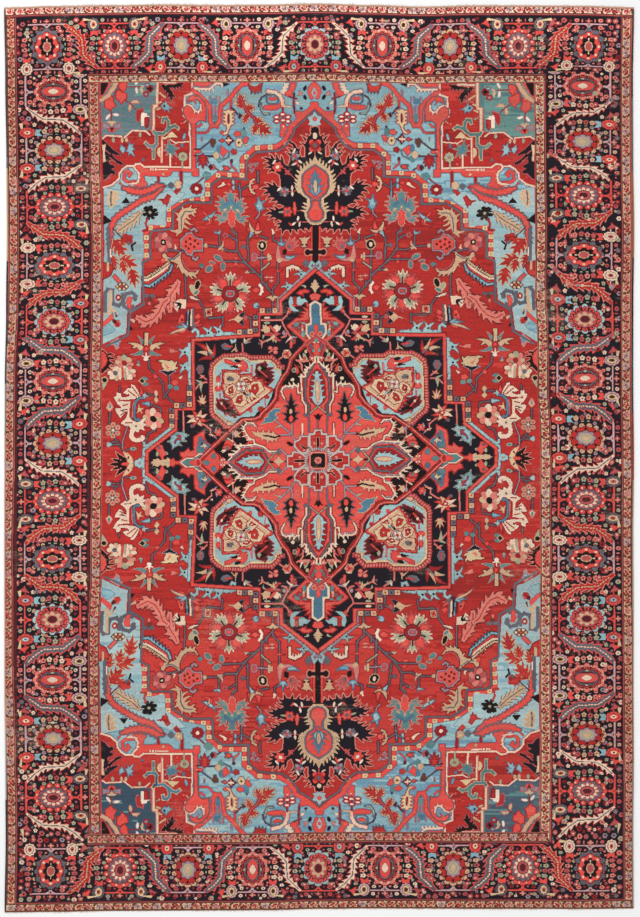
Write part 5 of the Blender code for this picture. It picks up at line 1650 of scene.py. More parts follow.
def antler(pen):
    # The ivory branch beside the field's edge, with what grows round it down to the lily.
    hand = [(89, 31.4), (90.2, 34.2), (91.6, 36.6), (92.8, 37), (92.8, 35.2), (94.4, 35.2), (96.8, 33),
            (95.2, 32.4), (93.8, 32.8), (94, 31.2), (96.2, 30.6), (98, 30.8), (98.4, 32.6), (99.8, 33),
            (99.8, 31.4), (101.2, 31), (100.6, 29.4), (99.6, 28), (97.4, 28.6), (96.4, 29.6), (91.4, 30.2)]
    body = [(93.8, 28.4), (97.2, 28.6), (99.6, 27.8), (98.2, 26.6), (97.6, 25.2), (99, 25.6),
            (100.6, 25.4), (99.8, 23.6), (98.2, 21.4), (96.8, 22.8), (95.6, 24.2), (94.9, 25.6),
            (94.9, 22), (95.8, 20.4), (97.6, 18.8), (95, 17.4), (93.6, 17.4), (93, 16.4), (93.4, 13.8),
            (93.6, 11.8), (92.4, 10.2), (90.2, 9.4), (87.8, 9.8), (86.6, 11), (86.8, 12.2), (88, 12.6),
            (88.7, 11.6), (90.2, 11), (91.6, 11.8), (92, 13.4), (91.2, 15.2), (89.6, 14.2), (88.9, 16),
            (86.8, 15.2), (87.4, 16.8), (85.9, 17.8), (87.6, 18.4), (85.8, 21.2), (87.8, 20.2), (89, 18.8),
            (90.4, 18.6), (91.8, 19.4), (92.8, 19.6), (93.7, 20.8)]
    for points in (hand, body):
        pen.line(points, 0.55, "maroon", closed=True)
    for points in (hand, body):
        pen.fill(points, "cream")
        pen.line(points, 0.3, "ivory", closed=True)
    for points in ([(89.6, 31.6), (92.6, 35.8)], [(90.8, 31), (94.6, 34)], [(95, 27.4), (97.4, 26.8)],
                   [(95.4, 25), (98.2, 24.4)], [(96, 23.8), (98, 22.6)], [(93.8, 29.4), (99, 29.2)],
                   [(92.8, 18.8), (95.6, 18.8)]):
        pen.line(points, 0.55, "red")
    pen.line([(93.7, 21.4), (93.7, 28)], 0.5, "coral")
    for x, y, wool in ((98.9, 29.6, "rose"), (97.2, 24.4, "slate"), (90.6, 17, "slate"),
                       (88.7, 11.9, "rose")):
        pen.fill([(x - 0.7, y), (x, y - 0.8), (x + 0.7, y), (x, y + 0.8)], wool)
    stalk = [(87, 30.6), (89.2, 30.4), (91, 28.6), (91.5, 26.6), (91.6, 21.2), (90.8, 20), (89.4, 20)]
    pen.line([(x + 0.9, y) for x, y in stalk[2:5]], 0.6, "salmon")
    pen.line(stalk, 1.5, "maroon")
    pen.line(stalk, 1.0, "blue")
    pen.disc(89.5, 20, 0.9, 0.8, "blue")
    flicks(pen, "mist", (87.6, 31.8, 84.6, 31.6, 1.3, 0), (86.4, 31.4, 86.6, 33.2, 1.3, 0),
           (86.6, 31.4, 86.8, 30, 0.9, 0), edge="slate", width=0.2)
    flicks(pen, "coral", (88.2, 32.2, 88.9, 36.8, 2.0, 0.3), edge="crimson", width=0.25)
    flicks(pen, "camel", (89.4, 24.8, 89.6, 27.2, 1.2, 0), (89.4, 24.8, 86.8, 25.4, 1.2, 0),
           (89.4, 24.6, 90.6, 22.8, 1.1, 0), (89.2, 24.6, 87.6, 22.8, 1.1, 0))
    pen.disc(89.3, 24.8, 0.8, 0.8, "straw")
    for points, wool, width in (([(98.5, 36.2), (98.5, 33.8)], "slate", 0.5),
                                ([(103.2, 24.4), (103.2, 19)], "slate", 0.6),
                                ([(101.4, 13), (99.2, 9.4), (97.2, 7.4)], "slate", 0.45),
                                ([(97.2, 8.4), (102.4, 8.6)], "slate", 0.45),
                                ([(96.8, 5.2), (97, 9.6), (95.8, 13.2), (94.6, 17)], "lilac", 0.55),
                                ([(92.6, 6.2), (96.4, 5.4)], "slate", 0.45)):
        pen.line(points, width + 0.5, "maroon")
        pen.line(points, width, wool)
    pen.fill([(101.5, 26.2), (102.3, 28), (103.3, 29.4), (104.4, 28), (105.1, 26), (104, 24.8),
              (103.2, 24.2), (102.4, 25)], "salmon")
    pen.fill([(102.1, 26.2), (103.3, 28.4), (104.5, 26.2), (103.3, 25)], "cream")
    pen.fill([(102.6, 26.2), (103.3, 28.8), (104, 26.2), (103.3, 25.4)], "teal")
    for k in range(6):
        way = math.pi / 6 + k * math.pi / 3
        x, y = 101.4 + 2.6 * math.cos(way), 15.6 + 2.7 * math.sin(way)
        pen.line([(101.4, 15.6), (x, y)], 0.5, "sage")
        pen.disc(x, y, 1.25, 1.2, "sage")
        pen.disc(x, y, 0.95, 0.9, "salmon")
        pen.disc(x, y, 0.4, 0.4, "coral")
    pen.disc(101.4, 15.6, 0.9, 0.9, "slate")
    pen.disc(101.4, 15.6, 0.6, 0.6, "ivory")
    pen.petals(103.4, 8.7, 1.3, 1.3, "mist", 3, 0.3, math.pi)
    pen.disc(92, 6.2, 1.5, 0.95, "sage")
    pen.disc(92, 6.2, 0.9, 0.5, "blue")


def lily(pen):
    # On the middle line, opening towards the field's edge.
    for up in (-1, 1):
        flicks(pen, "black", (95.2, 1.2 * up, 100.2, 6 * up, 3.4, -0.5 * up),
               (95.6, 0.8 * up, 102.4, 2.8 * up, 3.2, -0.3 * up), edge="salmon", width=0.4)
    flicks(pen, "black", (96, 0, 103.8, 0, 3.6, 0), edge="salmon", width=0.35)
    for up in (-1, 1):
        flicks(pen, "black", (95.4, 1.2 * up, 99.8, 5.4 * up, 3.0, -0.5 * up),
               (95.8, 0.8 * up, 102, 2.6 * up, 2.8, -0.3 * up))
        pen.disc(98, 2 * up, 0.35, 0.3, "salmon")
        pen.disc(99.8, 1.1 * up, 0.35, 0.3, "salmon")
    pen.fill([(96, 1.3), (98.6, 1.1), (99, 0), (98.6, -1.1), (96, -1.3)], "black")
    cup = [(96.6, 5.8), (94.6, 5), (93, 3.4), (92.2, 1), (92.2, -1), (93, -3.4), (94.6, -5), (96.6, -5.8),
           (95.8, -4), (94.8, -2.4), (94.3, 0), (94.8, 2.4), (95.8, 4)]
    pen.line(cup, 0.7, "salmon", closed=True)
    pen.fill(cup, "straw")
    for up in (-1, 1):
        with pen.moved(94.3, 3.1 * up, 25 * up):
            pen.disc(0, 0, 0.45, 0.85, "maroon")
            pen.disc(0, 0, 0.25, 0.5, "red")
    pen.fill([(93.6, 0), (94.6, 1.1), (97, 0.8), (98.2, 0), (97, -0.8), (94.6, -1.1)], "coral")
    pen.line([(91.2, 0), (92.4, 0)], 0.5, "slate")


# How far these drawings were moved after they were drawn, across and up, in centimetres.
fieldShifts = {
    "corners": (2.3, 0),
    "antler": (0.8, -1),
    "lily": (0.8, -2),
    "half": (0, 2),
}


def rightField(pen):
    spandrel(pen)
    with pen.moved(*fieldShifts["corners"]):
        cornerMotifs(pen)
        skyMotifs(pen)
    edgeMotifs(pen)
    redField(pen)
    with pen.moved(*fieldShifts["antler"]):
        antler(pen)
    with pen.moved(*fieldShifts["lily"]):
        lily(pen)
    palmette(pen)
    # the spandrel's frame, over what runs under it
    pen.line(innerSteps, 1.0, "slate")


def axisField(pen):
    topMiddle(pen)
    palmetteHeart(pen)
    # the dark stem from the palmette to the medallion
    pen.box(-2.5, 91, 2.5, 112.0, "coral")
    pen.box(-4.6, 97.9, 4.6, 101.3, "salmon")
    pen.box(-1.4, 91, 1.4, 112.6, "black")
    for side in (-1, 1):
        pen.disc(3.9 * side, 99.6, 1.9, 2.0, "salmon")
    for side in (-1, 1):
        pen.disc(3.9 * side, 99.6, 1.3, 1.4, "black")
    pen.box(-3.6, 98.8, 3.6, 100.4, "black")


def drawField(pen):
    for turnOver in (False, True):
        for flip in (False, True):
            with pen.moved(flipX=flip, flipY=turnOver), pen.moved(*fieldShifts["half"]):
                rightField(pen)
        with pen.moved(flipY=turnOver), pen.moved(*fieldShifts["half"]):
            axisField(pen)


# The medallion is drawn for its upper right quarter and mirrored.
medallionEdge = [(0, 93), (17.6, 78.8), (17.6, 72.4), (28.4, 72.4), (28.4, 62.2), (62.6, 62.2), (62.8, 29),
                 (71.4, 29), (71.8, 18.2), (86.2, 5.6), (86.4, 0)]
octagon = [(17.4, 46.6), (19, 46.8), (19.6, 48.8), (22.4, 51.4), (33, 51.4), (36, 53), (46.8, 53.2),
           (50.2, 51.6), (52.6, 49.6), (53.4, 46), (53.4, 36), (53.6, 27), (52.8, 24.6), (49.6, 21.8),
           (46.4, 18.4), (44, 18), (38.4, 22.6), (31.8, 23), (29.6, 25.6), (25.6, 27.6), (23.4, 32),
           (22, 36.4), (18.8, 41.4)]
octagonRow = octagon[:16]
insideRow = [(18.6, 45.4), (20.4, 45.8), (21.2, 48), (23.4, 49.8), (33.4, 49.8), (36.4, 51.6),
             (46.4, 51.8), (49, 50.6), (51.4, 48.4), (51.8, 46), (51.8, 36), (51.9, 27.6), (51.2, 25.6),
             (48.2, 23), (45.2, 20.4)]
frameBand = [(0.6, 60.6), (5.4, 57.2), (10.2, 52.8), (13, 49.8), (13.9, 46.6), (15.2, 43.8), (17.4, 41.6),
             (19.4, 38.2), (20.4, 36.2), (21, 31.6), (23.6, 28), (27.4, 24.6), (29, 22.4), (31.6, 21.4),
             (37.2, 21.2), (42, 17.6), (46, 14.6), (56, 6.6), (62, 1.2)]


def octagonPanel(pen):
    pen.fill(octagon, "mist")
    # coral squares round it, inside fine straw and maroon lines
    pen.line(octagonRow, 2.4, "crimson")
    pen.line(octagonRow, 1.9, "rose")
    places, ways = along(octagonRow, 1.4)
    for (x, y), (wayX, wayY) in zip(places[:-1], ways[:-1]):
        pen.line([(x - wayY, y + wayX), (x + wayY, y - wayX)], 0.4, "crimson")
        pen.disc(x + wayX * 0.7, y + wayY * 0.7, 0.5, 0.5, "salmon")
    pen.line(insideRow, 1.15, "maroon")
    pen.line(insideRow, 0.75, "straw")
    pen.line([(x - 0.5, y - 0.5) for x, y in insideRow[2:]], 0.4, "camel")
    # two-lobed coral leaf
    flamed(pen, [(34.6, 46.2), (35, 48.6), (36.8, 50.4), (38.4, 50.2), (39, 49), (41, 49.2), (43.6, 50.8),
                 (46.2, 51.4), (46, 49.6), (42.4, 48.2), (39.4, 47), (38, 45.4), (35.6, 45.6)],
           [(38, 46, 34.6, 44.8, 1.6, 0), (39.8, 45.4, 37.6, 44.4, 1.4, 0)], "coral", "rose", 0.3)
    with pen.moved(39.6, 50.1, 14):
        pen.disc(0, 0, 1.7, 0.85, "black")
    pen.disc(39.2, 47.8, 1.4, 0.55, "cream")
    flicks(pen, "black", (39.6, 47, 44, 47.4, 1.6, 0.2))
    # dark leaf, edged with coral flames
    flamed(pen, [(23, 43.2), (26.8, 48.8), (30.2, 48), (31, 44.6), (30, 42), (27.4, 39.8), (25, 38),
                 (23, 40)], [(25.4, 47.2, 26, 49.6, 1.4, 0), (24.4, 45.8, 22, 46.4, 1.4, 0),
                             (24, 44.2, 21.8, 44.2, 1.3, 0), (23.6, 42, 22, 42.6, 1.2, 0),
                             (24.4, 40, 22, 40.8, 1.5, 0), (25.8, 39.6, 25, 37.2, 1.6, 0),
                             (28.6, 41, 28.4, 38.8, 1.3, 0), (30, 43, 31.6, 42, 1.2, 0)], "maroon",
           "crimson", 0.4)
    flicks(pen, "black", (30, 44.6, 24.4, 45.8, 3.0, -1.0), (29.6, 43.8, 25, 43.2, 2.4, 0),
           (25, 41.2, 25.2, 37.8, 2.0, 0), (28, 47.4, 26, 45, 1.4, 0), (29.6, 47, 30.4, 44, 1.2, 0))
    pen.line([(25.4, 42.2), (29.4, 45.6)], 0.9, "coral")
    pen.petals(29, 46.2, 1.0, 1.2, "sage", 4, 0.3)
    flicks(pen, "coral", (26.6, 39.8, 24, 39, 1.0, 0), (28, 41.4, 27.4, 39, 1.0, 0))
    # its fellow at the other end of the panel
    flamed(pen, [(39.6, 24), (43, 23.4), (46.4, 25.2), (49.6, 27.4), (50.2, 30.4), (48.4, 32), (45.6, 31),
                 (44, 28), (42, 26)], [(44.8, 30.4, 43.6, 31, 1.2, 0), (44.6, 29, 42, 29.2, 1.3, 0),
                                       (43.6, 27.4, 41.8, 27.2, 1.2, 0), (43, 25.6, 40.8, 26, 1.2, 0),
                                       (40.4, 23.6, 38.6, 25, 1.3, 0), (42, 23.4, 40.6, 22.6, 1.2, 0),
                                       (49.4, 28, 51, 29.6, 1.2, 0), (49.6, 30.4, 50.4, 32.4, 1.2, 0)],
           "maroon", "crimson", 0.4)
    flicks(pen, "black", (46.4, 26.4, 39.4, 24, 2.2, -0.5), (46, 27.6, 43.4, 30, 1.8, 0),
           (47, 29, 50, 31, 2.2, 0), (45.4, 26, 47, 23.6, 1.6, 0), (46.6, 30.2, 44.6, 28.6, 1.2, 0))
    pen.line([(45.8, 27), (48.8, 30.6)], 0.9, "coral")
    pen.disc(47.8, 29.6, 0.6, 0.7, "cream")
    flicks(pen, "coral", (45.8, 23.2, 45.6, 25.8, 1.2, 0))
    # small things on the sky ground
    pen.line([(32.6, 47.6), (32.8, 43.6)], 1.1, "rose")
    pen.line([(32.6, 47.2), (32.8, 43.8)], 0.5, "salmon")
    pen.line([(18.4, 43), (19.2, 44), (19.4, 45.4), (21.4, 46)], 0.9, "camel")
    for x, y, rx, ry in ((49.4, 41.6, 1.0, 1.8), (49.3, 37, 1.8, 1.3)):
        pen.disc(x, y, rx + 0.35, ry + 0.35, "rose")
        pen.disc(x, y, rx, ry, "coral")
    pen.line([(49.4, 39.6), (49.3, 38)], 0.8, "cream")
    pen.line([(48.6, 34.4), (48.4, 32)], 0.9, "rose")
    pen.line([(48.4, 44.4), (48.6, 43)], 0.6, "maroon")
    pen.petals(25.2, 32.2, 1.2, 1.0, "red", 5, 0.2)
    pen.line([(26.4, 33), (26.2, 28)], 0.6, "rose")
    flicks(pen, "ivory", (29.4, 30.6, 32.8, 28.6, 1.3, 0), edge="black", width=0.35)
    pen.petals(28.4, 26.4, 1.7, 1.6, "red", 6, 0.15)
    pen.disc(33.4, 26, 0.9, 1.3, "coral")
    pen.fill([(34.2, 27), (36, 26.6), (34.6, 25.4)], "slate")
    flamed(pen, [(41.8, 19.6), (43.2, 20), (44.6, 21), (45.8, 20.2), (45.2, 18.8), (43.8, 19)], [],
           "camel", "crimson", 0.3)
    # the palmette in its heart
    heart = [(23.6, 35.8), (27.4, 37.6), (28.2, 40.2), (31.8, 40.4), (33.8, 42.8), (38.4, 42.6),
             (40.4, 44.6), (46.6, 45.2), (46.8, 38), (45.6, 33.4), (42.8, 32.4), (42.4, 29.6), (41, 28),
             (38.6, 24.6), (32, 29.4)]
    pen.line(heart, 2.3, "crimson", closed=True)
    pen.line(heart, 1.6, "coral", closed=True)
    pen.fill(heart, "camel")
    for petal, core in (([(27, 36), (28.8, 39.6), (31.8, 39.8), (34, 38.2), (35, 35.4), (31.8, 32.2)],
                         [(29.6, 36), (30.4, 38.2), (32.4, 37.8), (32.8, 35.4), (31.2, 34)]),
                        ([(32.8, 40.6), (35.2, 42), (37.8, 41.8), (38.8, 39.6), (36.2, 38.4), (33.8, 39)],
                         [(33.4, 39.8), (35, 41.2), (36.6, 40.6), (35, 39.4)]),
                        ([(38.8, 42.4), (41, 44), (46, 44.4), (46.2, 39.4), (41.6, 38.8), (39.8, 40.6)],
                         None), ([(40, 37.6), (42.2, 38.6), (44.8, 37.2), (45.8, 35), (44.6, 33.6),
                                  (41.4, 34.2)], [(42.4, 37.4), (44, 36.4), (43.6, 34.4), (42, 35)]),
                        ([(35.8, 32), (37.4, 34.2), (40, 33.6), (42.2, 31.4), (41.2, 28.8), (37.8, 28),
                          (35.2, 29.8)], [(37.8, 33), (39.6, 32.2), (40.4, 30.2), (38.6, 29.6),
                                          (37.6, 31)]), ([(30, 31.6), (33.2, 29.2), (35, 30.8),
                                                          (34.6, 33.2), (32.8, 34.4)],
                                                         [(31, 31.6), (33, 30.4), (33.6, 32)])):
        pen.line(petal, 1.1, "crimson", closed=True)
        pen.fill(petal, "straw" if core else "camel")
        pen.line(petal, 0.3, "cream", closed=True)
        if core:
            middle = np.mean(core, axis=0)
            pen.line(middle + (np.array(core) - middle) * 1.25, 0.4, "maroon", closed=True)
            pen.fill(toothed(middle + (np.array(core) - middle) * 1.25, 0.3, 1.2), "red")
            pen.line([middle, np.array(petal).mean(axis=0)], 0.5, "cream")
    pen.fill(toothed([(41.4, 41), (43, 42.6), (44.6, 42.2), (44.8, 40.8), (42.6, 40.2)], 0.4, 1.4), "slate")
    pen.disc(44.4, 41.2, 0.7, 0.7, "brown")
    flicks(pen, "camel", (35.4, 30, 37.6, 32.6, 0.9, -0.4), (28.4, 37.4, 29.4, 34.6, 0.9, 0.3))
    flicks(pen, "black", (37, 35, 34.6, 32.6, 1.2, 0), (43.6, 35.4, 45, 34.4, 0.7, 0))
    pen.disc(34.2, 33.4, 0.8, 0.7, "sky")
    pen.petals(33.7, 35.4, 1.1, 0.9, "red", 5, 0.2)
    petalled(pen, 38, 37.6, 2.3, ["lilac", "cream"], "maroon", "red", 8)
    pen.line([(24.4, 35), (30, 31), (37.6, 25.4)], 0.5, "cream")


def groundMotifs(pen):
    # On the dark ground between the medallion's edge and its panels.
    flamed(pen, [(2.6, 83), (4.4, 83.8), (7.2, 83.6), (9.2, 82), (7.2, 81), (5.6, 82), (3, 82.2)],
           [(6.4, 82, 5.8, 80.4, 1.0, 0)], "coral", "crimson", 0.3)
    flicks(pen, "sage", (4.4, 84.8, 7, 85.8, 1.3, 0.3))
    flamed(pen, [(3.7, 77.6), (5.2, 79.3), (7, 79.1), (7.5, 80.3), (9.1, 80.1), (9.3, 77.4), (11.3, 77.4),
                 (11.4, 80.1), (12.6, 80.5), (13.5, 78), (13.1, 74.8), (11.5, 73.4), (8.4, 73.2),
                 (10.4, 74.8), (11.9, 76.2), (9.2, 76.4), (7, 76.2), (5.6, 77.2)], [], "mist", "slate",
           0.2)
    pen.fill([(9.4, 80.8), (11.1, 80.5), (11.3, 77), (12.2, 75.8), (9.2, 76)], "red")
    flicks(pen, "coral", (11.8, 76.4, 6.8, 75.8, 1.1, 0.2), (12.8, 72.8, 14.8, 75.6, 1.9, 0.5),
           (13.4, 72.2, 13.4, 74.6, 1.4, 0))
    for points in ([(13.9, 73.4), (14.7, 71.5), (17.2, 69.2), (27.2, 69.2)],
                   [(17.2, 69.2), (16.5, 67), (15.1, 64.5), (14.4, 63.5), (12.9, 60.7)],
                   [(14.4, 63.5), (15.3, 61.4), (17.2, 60.8)], [(67.9, 28), (67.9, 16.4)],
                   [(55.6, 40.8), (59, 40.8), (62.4, 37.4)], [(36.6, 58), (36.7, 54.4)],
                   [(21.6, 55), (23.4, 53.8)], [(15.8, 52.4), (18.8, 50.4)], [(24.2, 59.6), (26.4, 58.6)],
                   [(32, 60.8), (34, 59.4)], [(55.8, 42.2), (58.2, 44.4)],
                   [(54.2, 17.6), (57.4, 20.4), (59.4, 21.2)]):
        pen.line(points, 0.85, "rose")
        pen.line(points, 0.45, "salmon")
    for y, wool in ((70.5, "cream"), (68, "sage")):
        pen.disc(24.4, y, 1.5, 0.55, wool)
    # camel lily over rose leaves
    flamed(pen, [(19, 63.8), (18.6, 66.4), (19.8, 67), (21.4, 66), (21.2, 64), (20.2, 62.8)],
           [(18.8, 64.4, 17.6, 66.6, 1.2, 0)], "cream", "maroon", 0.25)
    flamed(pen, [(22.8, 64.2), (23.2, 66), (25, 66.6), (26.4, 67), (26.6, 64.6), (25.4, 63), (23, 63)],
           [(25.6, 66, 24.4, 67.4, 1.1, 0), (26, 64.4, 27.8, 64.4, 1.2, 0)], "camel", "maroon", 0.25)
    pen.line([(20.4, 63.6), (22.8, 66.2)], 1.3, "coral")
    flicks(pen, "rose", (21.4, 61.4, 17.8, 62.6, 2.0, -0.5), (21.4, 62, 26.2, 61.8, 2.1, 0.6),
           (20.6, 60.6, 17.6, 59.4, 2.2, 0.4), edge="crimson", width=0.3)
    flicks(pen, "coral", (21.6, 62, 25, 62, 1.1, 0.4), (20.4, 60.2, 18, 59.8, 1.0, 0.2))
    flicks(pen, "camel", (20.6, 61.6, 25.2, 59.2, 1.7, -0.3), (21.4, 60.6, 21.4, 58.6, 1.2, 0))
    flicks(pen, "sage", (20.4, 59.6, 20, 58, 1.0, 0), (24, 59.6, 24.2, 58.4, 1.0, 0),
           (25.8, 62, 26.2, 59.8, 1.0, 0.3))
    pen.disc(16.2, 63, 0.8, 1.1, "lilac")
    # coral flower with a lilac cap
    pen.fill([(10.2, 60.2), (13, 60), (13.6, 57.6), (13.3, 55.4), (12, 55.6), (11.8, 57.2), (10.4, 57.6)],
             "coral")
    pen.box(11, 58, 12, 59.8, "slate")
    flicks(pen, "lilac", (12.8, 60.8, 9, 60.6, 1.4, 0))
    flicks(pen, "cream", (12.4, 60.8, 15.4, 58, 1.3, 0.2))
    for x, y in ((20.3, 55.5), (22.8, 55.8), (20.4, 53.8)):
        pen.disc(x, y, 1.3, 1.1, "red")
        pen.disc(x, y, 1.0, 0.8, "salmon")
    petalled(pen, 14.9, 52.7, 1.9, ["coral", "salmon"], "camel", "red", 6)
    flicks(pen, "cream", (14.2, 54.4, 16.2, 54.8, 1.0, 0))
    for x0, y0, x1, y1, wool, width in ((26.6, 58.6, 28.6, 60.2, "salmon", 1.1),
                                        (26.8, 58.4, 27.2, 55.6, "salmon", 1.2),
                                        (28, 58.4, 28.8, 57.2, "slate", 1.4),
                                        (35.2, 58.8, 35.6, 61, "cream", 1.5),
                                        (35, 58.6, 32.2, 58.8, "lilac", 1.2),
                                        (35.4, 58.2, 33.4, 60.6, "sage", 1.2),
                                        (40.2, 54.8, 40.2, 58.6, "camel", 0.9),
                                        (40.6, 56.2, 43, 54.4, "camel", 0.8),
                                        (40.2, 56, 39, 54.4, "salmon", 0.8)):
        flicks(pen, wool, (x0, y0, x1, y1, width, 0))
    pen.fill([(42.6, 56.4), (44.2, 58.8), (46.2, 59.8), (48.4, 58.6), (47, 56.6), (44.6, 56)], "slate")
    pen.line([(42.2, 57.4), (45.6, 58)], 0.9, "coral")
    # flame-like leaf in the panel's corner
    flicks(pen, "red", (52.8, 53.6, 51.8, 59.6, 2.4, 0.4), (55, 57, 61.2, 60.6, 2.6, 0.6),
           (53, 53.2, 59.4, 52.2, 2.2, 0.7), edge="crimson", width=0.3)
    flicks(pen, "coral", (52.6, 54.2, 51.8, 58.4, 1.3, 0.3), (55.6, 57.4, 60, 60.2, 1.3, 0.4))
    flicks(pen, "camel", (53.2, 55.2, 56, 60.8, 1.7, -0.3), (55.4, 55.4, 60.8, 56.2, 2.2, 0.4))
    pen.line([(52.2, 53.4), (55.4, 56.4)], 0.8, "slate")
    pen.petals(58.9, 47.6, 2.1, 2.5, "slate", 6, 0.16)
    pen.box(58.4, 46, 59.3, 49.2, "coral")
    flicks(pen, "salmon", (57.8, 43.6, 59.4, 45.4, 1.0, 0), (57.8, 43.6, 60, 43, 0.9, 0),
           (57.8, 43.8, 56.4, 44.4, 0.8, 0))
    flicks(pen, "sage", (58.6, 40.6, 58.8, 36.4, 1.9, 0.2), (58.4, 41, 61.8, 42.6, 1.2, 0))
    flicks(pen, "camel", (58.2, 31, 56.4, 34.6, 1.5, -0.2), (58.2, 31, 58.4, 36, 1.4, 0),
           (58.4, 31, 60.2, 35, 1.4, 0.2), (58.2, 31.4, 61, 32.8, 1.1, 0), (58, 31, 56, 32, 1.0, 0),
           edge="crimson", width=0.25)
    flicks(pen, "coral", (59, 30.6, 60.6, 32, 1.0, 0))
    # camel and coral lily
    for k, wool in enumerate(("camel", "coral", "camel", "cream", "coral", "camel", "coral", "cream")):
        way = math.radians(20 + 45 * k)
        flicks(pen, wool, (61 + 0.8 * math.cos(way), 23.8 + 0.8 * math.sin(way), 61 + 5.6 * math.cos(way),
                           23.8 + 4.6 * math.sin(way), 2.6, 0.3), edge="crimson", width=0.25)
    pen.petals(61, 23.8, 1.5, 1.3, "red", 5, 0.2)
    pen.disc(61, 23.8, 0.6, 0.6, "cream")
    petalled(pen, 50.2, 15.8, 2.0, ["coral"], None, "salmon", 6)
    flicks(pen, "lilac", (51.6, 16.2, 51.2, 18.6, 1.2, 0), (52.6, 14, 51, 12.4, 1.0, 0))
    flicks(pen, "cream", (53, 14.4, 55.6, 15.4, 1.0, 0), (53.4, 19.6, 55, 19.8, 1.1, 0))
    pen.line([(52, 14.2), (54.4, 14.4), (54.2, 17.6)], 0.5, "salmon")
    # sky leaf with red hearts
    flamed(pen, [(66.4, 15.6), (68, 16.4), (70, 16.4), (72.6, 15), (74.2, 12.4), (74.4, 9.6), (73, 8),
                 (71.4, 8.8), (70, 11), (67.6, 12.6)], [(67.2, 14.6, 65.4, 15.2, 1.3, 0),
                                                        (68.4, 15.8, 67.6, 17.8, 1.3, 0),
                                                        (71, 15.6, 72, 17.4, 1.3, 0),
                                                        (73.4, 13.8, 75.4, 14.6, 1.3, 0),
                                                        (74, 11, 76.2, 10.6, 1.3, 0),
                                                        (73.4, 9, 74, 6.8, 1.2, 0),
                                                        (70.8, 10, 69, 8.8, 1.1, 0),
                                                        (68.8, 12, 66.6, 11.6, 1.1, 0)], "sky", "sage",
           0.3)
    flicks(pen, "red", (69.4, 14.2, 71.8, 14.6, 1.4, 0), (70.4, 13, 72.8, 11, 1.5, 0),
           (70, 13.8, 69.4, 11, 1.1, 0), (72.6, 9.8, 72, 12, 1.0, 0))
    pen.disc(68.6, 14.6, 0.6, 0.6, "camel")
    for x, y, wool, heart, size in ((80.4, 7.4, "coral", "slate", 2.2), (77, 4.6, "sage", "coral", 1.0),
                                    (63.6, 20, "slate", "coral", 1.1)):
        flower(pen, x, y, wool, heart, size, 5)


def redBand(pen, points):
    # The red band that frames the inner ground, with a salmon line along it.
    pen.line(points, 2.4, "maroon")
    pen.line(points, 1.9, "red")
    pen.line([(x + 0.2, y + 0.25) for x, y in points], 1.0, "coral")
    pen.line([(x + 0.2, y + 0.25) for x, y in points], 0.5, "salmon")


